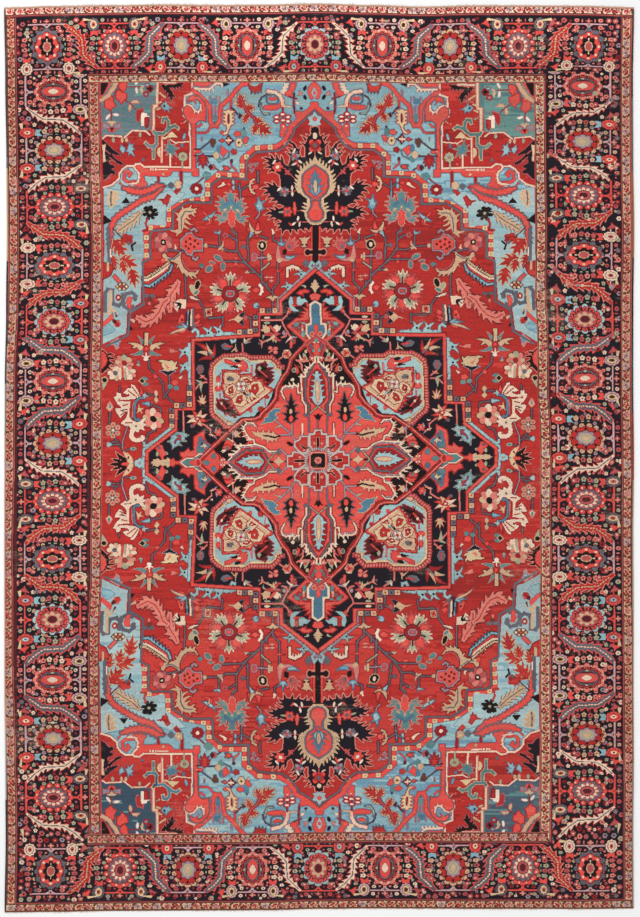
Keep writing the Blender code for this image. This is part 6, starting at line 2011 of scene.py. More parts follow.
def innerGround(pen):
    # The coral ground inside the frame band, and the dark ground over its arch.
    pen.fill([(0, 60)] + frameBand + [(0, 0)], "coral")
    pen.fill([(0, 51.4), (2.6, 53), (4.8, 55.4), (5.6, 55.4), (10, 51.4), (12.4, 48.6), (13.2, 45.6),
              (15, 42.2), (17.4, 39.2), (18.4, 37.4), (16.4, 38), (9.4, 36), (7.6, 43), (4.4, 45),
              (0, 49)], "black")
    pen.fill([(35.6, 20.6), (37.2, 20.4), (41.6, 17.4), (50.6, 9.6), (53.6, 7), (49.8, 4), (48, 1.6),
              (48, -1.6), (45, 0), (42, 4.6), (38, 7.6), (35, 10.6), (37.6, 14), (37.6, 17.6)], "black")
    redBand(pen, frameBand)
    # in the upper dark ground
    pen.disc(5.4, 53.6, 0.75, 0.9, "camel")
    pen.fill([(4.2, 49.6), (4.8, 50.4), (5.6, 52), (6.8, 53), (7, 51.6), (7.2, 49.6), (6.6, 49)], "sage")
    pen.disc(6.3, 50.3, 0.85, 0.85, "coral")
    flicks(pen, "cream", (7.6, 49.4, 8.8, 52.8, 1.3, -0.2))
    pen.line([(4.4, 49), (6.6, 48.8), (8.8, 49.4)], 0.9, "salmon")
    pen.line([(7.5, 44.4), (7.6, 47), (8.8, 48.8), (10.4, 49.6)], 0.8, "salmon")
    pen.line([(7.8, 45.2), (9.4, 46.8)], 0.5, "rose")
    flicks(pen, "coral", (9.8, 43, 11.6, 48, 2.0, 0.6))
    pen.disc(11.6, 44.8, 1.15, 1.25, "camel")
    pen.disc(11.6, 44.8, 0.85, 0.95, "slate")
    pen.disc(12.6, 40.2, 0.9, 0.8, "cream")
    # ivory strand up the arch's shoulder
    arch = [(0.8, 50.4), (1.4, 48.2), (3.8, 45.4), (4.9, 45.8), (5.1, 43.6), (6, 44.8), (6, 41.4),
            (7, 41.2), (8.2, 42.4), (8.1, 37), (7.9, 31.6), (7.6, 29.6), (6, 27), (5.9, 23.6)]
    pen.line([(1.2, 47), (3.6, 44), (4.6, 42), (6, 39.8), (6.3, 31), (6, 29), (4.4, 26.8), (4.3, 23)], 1.3,
             "maroon")
    pen.line([(1.2, 47), (3.6, 44), (4.6, 42), (6, 39.8), (6.3, 31), (6, 29), (4.4, 26.8), (4.3, 23)], 0.8,
             "slate")
    pen.line(arch, 1.4, "maroon")
    pen.line(arch, 0.8, "cream")
    flicks(pen, "cream", (3.4, 46.2, 3.6, 48.2, 0.9, 0), (4.9, 45.4, 6.2, 47, 0.9, 0),
           (6, 42.6, 7.4, 44, 0.9, 0), (8.1, 41, 9.6, 41.8, 0.9, 0))
    pen.disc(5.8, 22.2, 1.5, 0.9, "slate")
    pen.line([(5, 22), (4.4, 19), (4.3, 14)], 0.8, "slate")
    # ivory curl over the dark flame
    curl = [(8.4, 33.6), (9.8, 33.4), (10.1, 36.8), (11.4, 37.6), (13.8, 37), (16, 37.4), (17.6, 36.6),
            (18.3, 35), (17.8, 33), (16.8, 31.4)]
    pen.line([(x - 0.2, y - 0.9) for x, y in curl[3:]], 0.6, "lilac")
    pen.line(curl, 1.3, "maroon")
    pen.line(curl, 0.75, "cream")
    flicks(pen, "cream", (9.8, 36.6, 9.6, 39, 1.1, 0), (11.8, 37.4, 12.2, 39.4, 1.1, 0),
           (13.8, 37.2, 14.4, 39.2, 1.1, 0), (12.6, 37, 13, 35.4, 0.9, 0))
    # dark flame with a coral heart
    flamed(pen, [(13.5, 32.4), (14.3, 30), (14.6, 28), (15.4, 25.6), (15.7, 23.4), (16, 21), (15.2, 19.4),
                 (13.5, 18.4), (11.8, 19.4), (11, 21), (11.3, 23.4), (11.6, 25.6), (12.4, 28), (12.7, 30),
                 (13.5, 32.4)], [(13.5, 30.6, 13.5, 33.6, 1.3, 0)] + [(13.5 + x0 * side, y0,
                                                                       13.5 + x1 * side, y1, width,
                                                                       bend * side) for side in (-1,
                                                                                                 1) for x0,
                                                                      y0, x1, y1, width,
                                                                      bend in ((0.6, 28.4, 2.0, 29.8, 1.1,
                                                                                0.2), (1.2, 26.6, 3.4,
                                                                                       27.6, 1.3, 0.3),
                                                                               (1.8, 22.6, 4.2, 23.8, 1.5,
                                                                                0.4), (1.8, 20.4, 3.6,
                                                                                       20.6, 1.2, 0.3))],
           "black", "slate", 0.3)
    pen.disc(13.4, 20.9, 1.2, 1.8, "coral")
    pen.disc(13.6, 24.6, 0.75, 1.3, "camel")
    for points in ([(12.9, 18), (12.8, 12.9), (18.6, 13)], [(13.2, 13.2), (21, 20.4)],
                   [(15.4, 3.2), (18.6, 6)], [(11, 9.8), (12.6, 12)]):
        pen.line(points, 0.95, "slate")
        pen.line(points, 0.6, "lilac")
    pen.line([(7.7, 17.8), (7.7, 12)], 1.1, "maroon")
    pen.line([(7.7, 17.8), (7.7, 12)], 0.7, "cream")
    with pen.moved(13.8, 8.4, 30):
        pen.disc(0, 0, 1.8, 0.8, "black")
    flicks(pen, "sage", (18.6, 17.6, 22.2, 16.4, 1.1, 0.2))
    # blue leaf
    flamed(pen, [(19.2, 26.2), (21.6, 26.6), (23, 25.6), (24.8, 24), (25, 22.4), (26.6, 22), (26.8, 20.6),
                 (28.4, 18.8), (26.6, 19.4), (25, 19.8), (23, 19.8), (21.6, 21), (20.8, 22), (21.4, 23.4),
                 (20.6, 24.8), (19.2, 24.6)], [(20, 25.6, 18.8, 26.6, 1.0, 0),
                                               (21.2, 22.4, 20, 21.6, 1.0, 0)], "blue", "camel", 0.3)
    # camel leaf with a dark middle
    flamed(pen, [(19.4, 12.4), (21, 13.6), (24, 14.4), (27, 14.8), (30, 14.6), (33.4, 15.8), (31.6, 13.4),
                 (28, 12), (25, 10.6), (22, 10.8), (19.4, 11.6)],
           [(22, 13.6, 22.6, 15.2, 1.1, 0), (24.6, 14.2, 24.4, 16.4, 1.1, 0),
            (27.4, 14.4, 27.4, 16.4, 1.1, 0), (30, 14.4, 30.2, 16.2, 1.0, 0),
            (21, 11.4, 20.6, 9.8, 1.0, 0), (22.8, 11.2, 22.8, 9.2, 1.1, 0), (25, 11, 25.4, 9, 1.1, 0),
            (27.6, 12, 28.4, 10.4, 1.0, 0)], "camel", "rose", 0.3)
    pen.line([(19, 12.6), (21.4, 11.9), (24.4, 12.8), (27, 13.2)], 0.9, "maroon")
    pen.line([(19, 12.6), (21.4, 11.9), (23.4, 12.4)], 0.8, "black")
    # ivory strands at the side
    strands = ([(20.8, 5), (24.2, 5), (27, 7.4), (31.4, 9)],
               [(31.8, 9.4), (32.2, 11.2), (34.4, 12.2), (36, 14.6), (37.2, 17.4), (35.4, 19.8),
                (32.4, 19.6), (31, 18)], [(31, 8.8), (34.8, 8.6), (40.6, 8.4), (39.4, 6.8), (42.4, 4.2),
                                          (45, 4.4)], [(43.6, 3.8), (43.8, 2.6), (45.6, 0.8)])
    for points in strands:
        pen.line([(x - 0.1, y - 0.9) for x, y in points], 0.6, "lilac")
    for width, wool in ((1.3, "maroon"), (0.75, "cream")):
        for points in strands:
            pen.line(points, width, wool)
    flicks(pen, "cream", (39.4, 6.8, 42.4, 8.2, 0.9, 0), (41, 5.4, 44.6, 6.4, 0.9, 0),
           (42.4, 4.2, 46, 3.4, 0.9, 0), (40.6, 8.2, 43, 9.6, 0.9, 0), (34.4, 12.2, 36.6, 12.6, 0.9, 0),
           (36.8, 16.6, 38.8, 17.4, 0.9, 0), (37, 17.6, 38.6, 19.2, 0.9, 0),
           (35.4, 19.6, 36.6, 21, 0.9, 0), (33.6, 11.6, 36.4, 11.2, 1.1, 0), (35.2, 13.6, 38, 13, 1.1, 0),
           (36, 15.4, 38.2, 15.8, 1.0, 0), (33.6, 8.8, 33, 7.4, 1.0, 0), (37, 8.6, 36.6, 7.2, 1.0, 0),
           (38.4, 8.6, 39.6, 10, 1.0, 0))
    pen.disc(19.3, 4.6, 1.2, 1.5, "slate")
    flamed(pen, [(39.6, 13.6), (40, 15.4), (41.4, 16.6), (42, 14.6), (41.6, 12.8)],
           [(40, 14.6, 38.4, 15.4, 1.0, 0), (40.2, 13.4, 38.8, 12.8, 1.0, 0)], "camel", "crimson", 0.25)
    pen.disc(42.6, 15, 0.65, 1.3, "lilac")
    pen.line([(42.8, 13.4), (42.9, 11.4), (41.2, 9)], 0.5, "salmon")
    pen.line([(43, 10.8), (45.4, 12.4)], 0.7, "cream")
    pen.petals(45.2, 9.4, 2.5, 2.3, "coral", 6, 0.16)
    flicks(pen, "cream", (47.2, 7, 49.4, 5.6, 1.1, 0))


def spire(pen):
    # The blue spire on the axis and what stands above and below it.
    pen.fill(bothSides([(0, 88.6), (0.6, 88), (0.9, 87.2), (0.8, 86.8), (1.9, 86.6), (1.6, 86.0),
                        (1.0, 85.8), (2.3, 85.2), (1.7, 84.4), (1.0, 83.8), (0.5, 82.6), (0, 81.4)]),
             "camel")
    pen.fill(bothSides([(0, 82), (1.6, 81.6), (2.8, 80.8), (2.9, 80), (2, 79.4), (2.4, 78.8), (1.2, 78.2),
                        (0.8, 77.4), (0, 77.4)]), "coral")
    sides = [(x * side, y, u * side, v, width, 0.2 * side) for side in (-1, 1) for x, y, u, v,
             width in ((3.4, 75.4, 5.0, 77.4, 1.8), (4, 73.4, 6.4, 75.0, 1.8), (4.6, 71.6, 7.4, 72.8, 1.8),
                       (5.2, 70.6, 8.4, 71.2, 1.6))]
    flamed(pen, bothSides([(0, 78), (3.2, 76.4), (4.2, 73), (5.2, 70.4), (10, 69.9), (14.6, 66.6),
                           (14.4, 65.8), (5.6, 57.8), (0, 57.6)]), sides, "coral", "red", 0.3)
    pen.fill(bothSides([(0, 69), (5.6, 68.6), (9.4, 68.4), (12.4, 66.2), (5.4, 59.8), (0, 60)]), "red")
    for side in (-1, 1):
        for x, y, rx, ry, wool in ((6.4, 67.4, 0.9, 0.6, "teal"), (10, 67, 1.3, 1.0, "teal"),
                                   (8.6, 65.2, 0.9, 0.8, "slate"), (6.6, 62.4, 0.9, 1.9, "teal"),
                                   (7, 65.6, 0.6, 0.9, "salmon"), (7, 64.2, 0.6, 0.7, "camel"),
                                   (11.2, 65.6, 0.8, 0.7, "slate"), (8.4, 63.2, 0.6, 0.8, "coral"),
                                   (8.2, 68, 0.8, 0.5, "rose")):
            pen.disc(x * side, y, rx, ry, wool)
    outline = [(0, 77.8), (2.5, 76.2), (2.6, 66.9), (4.9, 66.5), (5, 62.2), (3.4, 60)]
    for width, wool in ((1.6, "maroon"), (1.0, "cream")):
        for side in (-1, 1):
            pen.line([(x * side, y) for x, y in outline], width, wool)
    pen.fill(bothSides([(0, 77.3), (1.9, 75.9), (2.15, 75.4), (2.15, 66.4), (4.4, 66.1), (4.5, 62.4),
                        (3.2, 60.8), (0, 60.2)]), "blue")
    pen.fill(bothSides([(0, 66.9), (0.9, 66.2), (1.4, 64.8), (1.0, 63.2), (1.2, 60), (0, 59.4)]), "coral")
    for side in (-1, 1):
        pen.disc(2.0 * side, 61.9, 1.25, 1.3, "salmon")
        pen.disc(2.0 * side, 61.9, 0.7, 0.75, "coral")
        pen.line([(1.4 * side, 60.8), (0.7 * side, 59)], 0.7, "salmon")
    # its foot, below the crossing of the frame band
    for side in (-1, 1):
        pen.line([(-0.6 * side, 61), (0.6 * side, 60.4), (5.4 * side, 57.2)], 1.5, "salmon")
        pen.line([(-0.6 * side, 61), (0.6 * side, 60.4), (5.4 * side, 57.2)], 0.9, "red")
    foot = bothSides([(0, 60), (2.2, 58.4), (3.8, 57), (4.2, 54.8), (3, 52.8), (2.4, 51), (0, 51)])
    pen.line(foot, 1.3, "rose", closed=True)
    pen.fill(foot, "red")
    for side in (-1, 1):
        with pen.moved(2.7 * side, 55.8, -16 * side):
            pen.disc(0, 0, 0.7, 1.5, "slate")
        flicks(pen, "cream", (0.6 * side, 57.6, 2.0 * side, 58.2, 0.8, 0))
    pen.fill(bothSides([(0, 57.6), (1.2, 57.2), (2.0, 56.2), (1.6, 55), (1.0, 54.2), (1.3, 53),
                        (2.2, 52.2), (2.4, 51.2), (0, 51.2)]), "coral")
    pen.disc(0, 58.7, 1.1, 1.0, "teal")
    for side in (-1, 1):
        pen.disc(1.5 * side, 53.9, 0.7, 0.8, "teal")
        petalled(pen, 2.3 * side, 50.1, 1.5, ["salmon", "rose"], "crimson", "cream", 5)
        pen.line([(0.8 * side, 50.6), (0.9 * side, 48.2)], 0.9, "cream")
    pen.disc(0, 50.9, 0.6, 0.7, "sage")


def archFlame(pen):
    # The great flame inside the arch, on the axis.
    ring = bothSides([(0, 47.4), (1.4, 46), (2.8, 43.6), (4.0, 41.4), (5.0, 38.6), (5.2, 34), (5.2, 30),
                      (4.2, 28), (2.4, 26.2), (0, 24.6)])
    pen.fill(ring, "coral")
    inner = bothSides([(0, 44.8), (1.6, 43.4), (2.6, 41.2), (3.6, 38.4), (3.9, 34), (3.9, 30.4),
                       (3.2, 28.8), (0, 26.2)])
    pen.line(inner, 0.5, "red", closed=True)
    pen.fill(inner, "crimson")
    teeth = [(x * side, y, u * side, v, width, bend * side) for side in (-1, 1) for x, y, u, v, width,
             bend in ((0.6, 41.2, 2.5, 42.4, 1.2, 0.2), (0.8, 38.6, 3.1, 39.4, 1.4, 0.2),
                      (1.0, 35.8, 3.6, 36.8, 1.5, 0.2), (1.2, 33, 3.7, 34.4, 1.5, 0.2),
                      (1.4, 30.2, 4.3, 31, 1.8, 0.2))]
    flamed(pen, bothSides([(0, 44), (0.7, 43.4), (1.0, 41), (1.4, 38), (2.0, 35), (2.4, 31), (2.6, 29.6),
                           (1.9, 28.2), (0, 26.6)]), teeth, "mist", "maroon", 0.3)
    pen.disc(0, 33.8, 1.25, 6.1, "rose")
    pen.disc(0, 33.8, 0.95, 5.8, "camel")
    pen.disc(0, 36.4, 0.6, 2.6, "straw")
    for side in (-1, 1):
        pen.line([(0, 26.4), (1.4 * side, 25.2), (3.8 * side, 23.2)], 0.9, "maroon")
        pen.line([(0, 26.4), (1.4 * side, 25.2), (3.8 * side, 23.2)], 0.5, "sage")
        flicks(pen, "black", (0.4 * side, 20.4, 2.4 * side, 22.2, 1.3, 0.3 * side))
    pen.disc(0, 21, 1.15, 1.7, "black")
    pen.line([(0, 19.6), (0, 15.4)], 0.6, "slate")


def sideFlame(pen):
    # The lying flame and the teal diamond on the cross axis.
    pen.line([(24.6, 0), (27.8, 5.6), (36, 6.2), (43.4, 1.2), (45, 0), (43.4, -1.2), (36, -6.2),
              (27.8, -5.6)], 1.4, "maroon", closed=True)
    pen.line([(24.6, 0), (27.8, 5.6), (36, 6.2), (43.4, 1.2), (45, 0), (43.4, -1.2), (36, -6.2),
              (27.8, -5.6)], 0.9, "slate", closed=True)
    pen.fill([(24.9, 0), (28, 5), (36, 5.6), (44.4, 0), (36, -5.6), (28, -5)], "coral")
    pen.fill([(25.8, 0), (28.4, 4.5), (36, 4.9), (42, 0.8), (42, -0.8), (36, -4.9), (28.4, -4.5)],
             "crimson")
    teeth = [(x, y * up, u, v * up, 1.3, bend * up) for up in (-1, 1) for x, y, u, v,
             bend in ((29.4, 1.4, 30, 4.0, 0.2), (31.8, 1.4, 32.8, 4.0, 0.2), (34.2, 1.2, 35.2, 3.8, 0.2),
                      (36.4, 0.8, 38.6, 2.4, 0.2), (37.4, 0.2, 39.4, 1.0, 0.1))]
    flamed(pen, [(26.9, 0), (28, 1.6), (30, 2.9), (34, 2.8), (37.4, 1.6), (41, 0), (37.4, -1.6),
                 (34, -2.8), (30, -2.9), (28, -1.8), (26.9, 0)], teeth + [(38, 0, 41.6, 0, 1.2, 0)],
           "mist", "maroon", 0.3)
    pen.disc(32, 0, 4.4, 1.3, "rose")
    pen.disc(32, 0, 4.0, 0.95, "camel")
    pen.disc(33, 0, 2.4, 0.5, "straw")
    # the coral kite, with teal and blue in it
    for up in (-1, 1):
        with pen.moved(flipY=up < 0):
            kite = [(49.4, 0), (50.4, 3.6), (52.6, 6), (53.4, 8.6), (56.4, 11.2), (57.6, 13.8),
                    (57.6, 17.4), (59.6, 16.4), (62.8, 14.2), (63.2, 11), (63, 6.6), (65, 6), (65.8, 7.8),
                    (67.2, 6.2), (68.4, 5.4), (70.2, 5.4), (69.8, 3.4), (68.6, 2.6), (70.6, 0.8),
                    (72.4, 0.7), (73.4, 2.2), (75, 1.4), (75, 0)]
            pen.line(kite[:-1], 0.6, "crimson")
            pen.fill(kite, "coral")
            pen.fill([(59, 14.6), (60.6, 13.6), (60.9, 10), (61.6, 8), (61.6, 5.2), (58.2, 5.2),
                      (57.4, 6.4), (57, 8.6), (55.2, 8), (54, 7.4), (55, 9.8), (57.4, 10.8), (58.4, 12)],
                     "blue")
            pen.fill([(60.6, 8), (61.6, 7.6), (61.6, 5.2), (58.6, 5.2), (58.4, 6.4)], "teal")
            pen.disc(55.4, 7.4, 1.2, 0.9, "teal")
            pen.disc(58.4, 11.8, 1.7, 0.8, "slate")
            pen.disc(58.7, 10.2, 0.9, 0.6, "maroon")
            flicks(pen, "straw", (57.6, 9.4, 56.2, 8.4, 1.2, 0), (57.6, 9.4, 59.9, 8.6, 1.2, 0),
                   (57.6, 9, 57.4, 7.4, 0.9, 0), (57.8, 9.2, 58, 10.6, 0.9, 0))
            pen.disc(53.1, 3.4, 1.2, 1.5, "teal" if up > 0 else "blue")
            pen.line([(57, 4.5), (60.6, 4.5), (63.2, 2.3), (66.9, 2.3), (70, 0)], 1.0, "crimson")
            pen.line([(57, 4.5), (60.6, 4.5), (63.2, 2.3), (66.9, 2.3), (70, 0)], 0.6, "cream")
            pen.fill([(58, 4), (60.4, 4), (63, 1.9), (66.8, 1.9), (69.4, 0), (60, 0)], "teal")
            pen.line([(58.2, 4.6), (63, 2.4)], 0.4, "blue")
            redBand(pen, [(60.8, 0.8), (45.6, 15)])
            pen.disc(46, 7.8, 2.5, 1.6, "crimson")
            pen.disc(46, 7.8, 2.2, 1.35, "coral")
            pen.disc(45.8, 7.4, 0.9, 0.8, "teal")
            flicks(pen, "cream", (46.8, 6.6, 48.8, 4.8, 1.1, 0))
            # camel flower between coral petals
            pen.fill([(78.6, 8), (80.2, 6), (80.8, 4.2), (79.6, 2.6), (79.2, 1), (77.8, 1), (78.2, 2.8),
                      (76.8, 4.4), (77.8, 6)], "coral")
            pen.disc(81.3, 4.4, 0.75, 1.3, "sage")
            pen.fill([(75, 1.7), (76.4, 2.6), (77, 1.5), (78.4, 1.5), (80, 1.3), (81.2, 2.2), (82.4, 1.5),
                      (83.6, 1.7), (83.2, 0.8), (84.6, 0), (75, 0)], "camel")
    pen.fill([(55, 0), (56, 1.3), (57.8, 1.2), (58.8, 0), (57.8, -1.2), (56, -1.3)], "teal")
    pen.petals(61.2, 0, 1.9, 2.2, "salmon", 8, 0.05)
    pen.petals(61.2, 0, 1.5, 1.8, "coral", 8, 0.05)
    pen.disc(61, 0, 0.6, 1.4, "red")
    pen.fill([(62.6, 1.6), (64, 1.4), (65.9, 0), (64, -1.4), (62.6, -1.6)], "coral")
    pen.box(75, -0.35, 78, 0.35, "sage")
    # pink bar and its cream ends beside the flame
    pen.box(45.2, -0.95, 49.4, 0.95, "rose")
    pen.box(45.2, -0.65, 49.6, 0.65, "salmon")
    for side in (-1, 1):
        petalled(pen, 48.4, 1.4 * side, 1.2, ["cream", "salmon"], "crimson", "rose", 4)
        pen.line([(21.4, 4 * side), (25, 0)], 0.9, "maroon")
        pen.line([(21.4, 4 * side), (25, 0)], 0.5, "sage")
    pen.fill([(16.4, 0), (18.6, 1.2), (19.4, 2.6), (20.2, 1.2), (22.2, 0), (20.2, -1.2), (19.4, -2.6),
              (18.6, -1.2)], "camel")


def rosetteCentre(pen):
    # Red cusped panels with pale edges round a dark square.
    panels = []
    for side in (-1, 1):
        panels.append([(-2.4, 5.6 * side), (-3.6, 7.4 * side), (-3.6, 12.4 * side), (-1.5, 12.4 * side),
                       (-1.2, 14.2 * side), (1.2, 14.2 * side), (1.5, 12.4 * side), (3.6, 12.4 * side),
                       (3.6, 7.4 * side), (2.4, 5.6 * side)])
        panels.append([(6.2 * side, -1.6), (9.4 * side, -3.6), (11.9 * side, -3.8), (12.2 * side, -2.1),
                       (14.5 * side, -2.1), (14.5 * side, 2.1), (12.2 * side, 2.1), (11.9 * side, 3.8),
                       (9.4 * side, 3.6), (6.2 * side, 1.6)])
        for up in (-1, 1):
            panels.append([(x * side, y * up) for x, y in ((5.1, 11.3), (8.3, 11.3), (8.6, 10), (9.8, 9.4),
                                                           (10.9, 9), (10.9, 7.2), (9.5, 5.3), (7.8, 4),
                                                           (6.3, 4), (5.4, 5), (5.1, 6.4))])
    for width, wool in ((2.1, "slate"), (1.6, "dove")):
        for panel in panels:
            pen.line(panel, width, wool, closed=True)
    for panel in panels:
        pen.fill(panel, "red")
    for side in (-1, 1):
        for width, wool in ((1.8, "salmon"), (1.2, "black")):
            pen.line([(0, 6 * side), (0, 10.6 * side)], width, wool)
            pen.line([(6.4 * side, 0), (11 * side, 0)], width, wool)
        for up in (-1, 1):
            pen.petals(1.8 * up, 8.2 * side, 0.8, 0.8, "salmon", 4, 0.3)
            pen.petals(8.8 * side, 1.6 * up, 0.9, 0.7, "salmon", 4, 0.3)
            for width, wool in ((1.3, "salmon"), (0.75, "black")):
                pen.line([(4.6 * side, 6.1 * up), (6.6 * side, 6.0 * up), (8.2 * side, 7.4 * up)], width,
                         wool)
            pen.disc(6.8 * side, 4.9 * up, 0.7, 0.45, "salmon")
    pen.petals(0, 0, 6.4, 6.2, "slate", 12, 0.05)
    for k in range(40):
        way = 2 * math.pi * k / 40
        pen.line([(5.2 * math.cos(way), 5.0 * math.sin(way)), (6.3 * math.cos(way), 6.1 * math.sin(way))],
                 0.45, "dove")
    pen.petals(0, 0, 5.3, 5.1, "crimson", 12, 0.03)
    for reach, wool in ((4.5, "rose"), (4.1, "salmon"), (3.5, "black")):
        pen.fill([(-reach, 0.8 - reach), (0.8 - reach, -reach), (reach - 0.8, -reach),
                  (reach, 0.8 - reach), (reach, reach - 0.8), (reach - 0.8, reach), (0.8 - reach, reach),
                  (-reach, reach - 0.8)], wool)
    pen.petals(0, 0, 1.8, 1.8, "salmon", 8, 0.2)
    pen.disc(0, 0, 0.95, 0.95, "rose")


def medallionQuarter(pen):
    pen.fill(medallionEdge + [(0, 0)], "navy")
    groundMotifs(pen)
    octagonPanel(pen)
    innerGround(pen)
    # pale outline with bird-like hooks outside the coral one
    outlines = (([(0.4, 94.8), (18.6, 79.4), (18.8, 73)], "lilac"),
                ([(40, 62.4), (42, 63.4), (45, 63.8), (60.4, 63.8)], "mist"),
                ([(64.3, 60), (64.5, 41)], "mist"), ([(73.4, 19.4), (87.6, 6.6), (88.2, 0)], "mist"))
    for points, wool in outlines:
        pen.line(points, 1.8, "slate")
    for points, wool in outlines:
        pen.line(points, 1.25, wool)
    # hooks: each a neck, a beak and a dark eye
    for x, y, turn, size in ((5.4, 90.6, -42, 1.0), (12.2, 84.8, -42, 1.0), (48.6, 64, 0, 1.15),
                             (54, 64, 0, 1.15), (65, 57, -90, 1.15), (65, 49.4, -90, 1.15)):
        with pen.moved(x, y, turn, wide=size, tall=size):
            flamed(pen, [(-1.8, 0), (-1.0, 1.4), (0.6, 2.4), (1.6, 2.0), (1.4, 0.8), (2.6, 0)],
                   [(0.2, 1.8, -0.8, 3.8, 1.1, -0.2), (1.0, 1.8, 3.4, 3.6, 1.2, 0.3)], "mist", "slate",
                   0.28)
            pen.disc(0.7, 1.3, 0.5, 0.5, "black")
    for points in ([(1.2, 93.4), (2.8, 95), (1.8, 97), (0.6, 96)],
                   [(41.8, 63.2), (40.2, 61.6), (40.4, 59.8), (42, 59.4), (42.6, 60.6)],
                   [(60, 63.6), (60.2, 66.4), (61.6, 67.4), (62.8, 66.4)],
                   [(64.6, 42.6), (64.4, 40.6), (62.8, 40), (62.4, 41.4)],
                   [(83.8, 10.2), (86.2, 8.4), (87.6, 8.6), (87.7, 9.8)]):
        pen.line(points, 1.5, "slate")
        pen.line(points, 1.0, "mist")
    pen.line(medallionEdge, 2.2, "maroon")
    pen.line(medallionEdge, 1.7, "coral")
    for k, (x, y) in enumerate(((20.6, 74), (23.6, 74), (26.8, 74), (30, 70.8), (30, 67.6), (30, 64.6),
                                (32.6, 63.8), (35.4, 63.8), (38, 63.8), (64.8, 38.8), (64.8, 36.2),
                                (64.8, 33.4), (64.8, 31), (68, 30.6), (71.2, 30.6), (73.6, 28),
                                (73.6, 25.2), (73.6, 22.6), (73.6, 20))):
        pen.box(x - 1.45, y - 1.4, x + 1.45, y + 1.4, "maroon")
        pen.box(x - 1.2, y - 1.15, x + 1.2, y + 1.15, "slate" if k % 2 else "camel")
        pen.box(x - 0.4, y - 0.4, x + 0.4, y + 0.4, "maroon" if k % 2 else "coral")


def drawMedallion(pen):
    for flip in (False, True):
        for turnOver in (False, True):
            with pen.moved(flipX=flip, flipY=turnOver):
                medallionQuarter(pen)
    for flip in (False, True):
        with pen.moved(flipY=flip):
            archFlame(pen)
            spire(pen)
        with pen.moved(flipX=flip):
            sideFlame(pen)
            # bloom of the pale outline at the side's tip
            bloom = [(88, 3.4), (88.6, 1.8), (89.8, 2.6), (90.8, 1.6), (91.8, 1.4), (92.2, 0),
                     (91.8, -1.4), (90.8, -1.6), (89.8, -2.6), (88.6, -1.8), (88, -3.4)]
            pen.line(bloom, 0.5, "slate")
            pen.fill(bloom, "mist")
            pen.disc(89.8, 0, 0.7, 0.7, "slate")
            pen.disc(89.8, 0, 0.45, 0.45, "salmon")
    rosetteCentre(pen)


# Where the field's motifs really lie: place from the middle, then how far they have wandered.
fieldMarks = [(0, 172.8, -2.3, -2.3), (0, 146, -2.3, -2), (0, 114, -2.3, -2), (0, 93, -2.4, -2.6),
              (28.4, 67, -2.5, -2.3), (42.8, 82.8, -2.5, -1.8), (62.6, 62.2, -1.9, -2.4),
              (84.6, 58.2, -0.5, -3), (71.4, 29, -1.3, -2.2), (86.4, 5.6, -0.4, -1.8), (0, 0, -0.5, -2),
              (36, 37, -1.4, -2), (36, 0, -0.5, -1.0), (60, 0, -0.5, -0.4), (35.3, 140.6, -2.1, -2.1),
              (53.3, 130, -2.1, -2.1), (85, 99, -2.1, -1.6), (62, 160, -2.3, -2), (95, 130, -2.2, -2),
              (95, 175, -2, -2), (96, 45, -1.2, -2), (-42.8, 82.8, -0.9, -3.3), (-84.6, 58.2, 2, -4.9),
              (-62.6, 62.2, 1.1, -5.1), (-71.4, 29, 2, -5.3), (-86.4, 5.6, 2.9, -2.6),
              (-28.4, 67, -1.2, -2.6), (-85, 100.5, 0.5, -2.2), (-35.5, 140.7, -2.4, -3.6),
              (-53.3, 134.6, -1.4, -2), (-72.8, 119, -0.9, -1.4), (-36, 37, 0.2, -3), (0, -93, -0.5, -1.3),
              (0, -101.6, -0.5, -4.6), (0, -114, -0.5, -6), (0, -147, -0.3, -3.4), (0, -173, 0, 0.4),
              (28.4, -67, -0.5, -2.3), (42.8, -82.8, 2.8, -2.3), (62.6, -62.2, 0.8, -1.1),
              (84.6, -58.2, 0.1, 3), (71.4, -29, 0.6, 1.8), (86.4, -5.6, -0.6, 2.2),
              (35.5, -140.7, 0.9, -1.4), (53.3, -130, 0.3, -0.6), (72.8, -122, 0.7, -0.8),
              (41.8, -122, 0, -1.3), (-42.8, -82.8, -0.9, -1.8), (-84.6, -58.2, 4, 1.1),
              (-62.6, -62.2, 1.1, 0.5), (-71.4, -29, 3, 0.3), (-86.4, -5.6, 2.9, -2.1),
              (-28.4, -67, -0.7, -1.9), (-85, -100.5, 0.5, -2.2), (-35.5, -140.7, -1.1, -1),
              (-53.3, -134.6, -0.3, -1), (-72.8, -122, -0.5, -0.8), (-36, -37, 0.2, -1),
              (36, -37, 0.2, -0.4), (62, -170, 0, 0.6), (-62, -170, 0, 0.6), (-107.4, 180, 1, 0),
              (107.4, 180, -2.9, 0), (-107.4, -180, 1.4, 0), (107.4, -180, -0.3, 0),
              (107.4, 130, -2.9, -1), (107.4, 90, -2.8, -1.4), (107.4, 45, -1.4, -1.6),
              (107.4, -45, -0.1, 0.6), (107.4, -90, -0.3, 0), (107.4, -130, -0.3, 0),
              (-107.4, 130, 1.8, -1.6), (-107.4, 90, 2.2, -2), (-107.4, 45, 2, -2.2),
              (-107.4, -45, 1.9, -1), (-107.4, -90, 0.8, -1.4), (-107.4, -130, 1.4, -0.8),
              (102, 15, -0.7, -0.7), (102, -15, -0.6, -0.5), (98, 0, -0.7, -0.7), (93, 28, -0.9, -1.2),
              (93, -28, -0.8, 0.4), (-102, 15, 2.2, -3.2), (-102, -15, 2, -2.8), (-98, 0, 2.6, -3.1),
              (-93, 28, 3.0, -2.2), (-93, -28, 2.8, -2.2),]
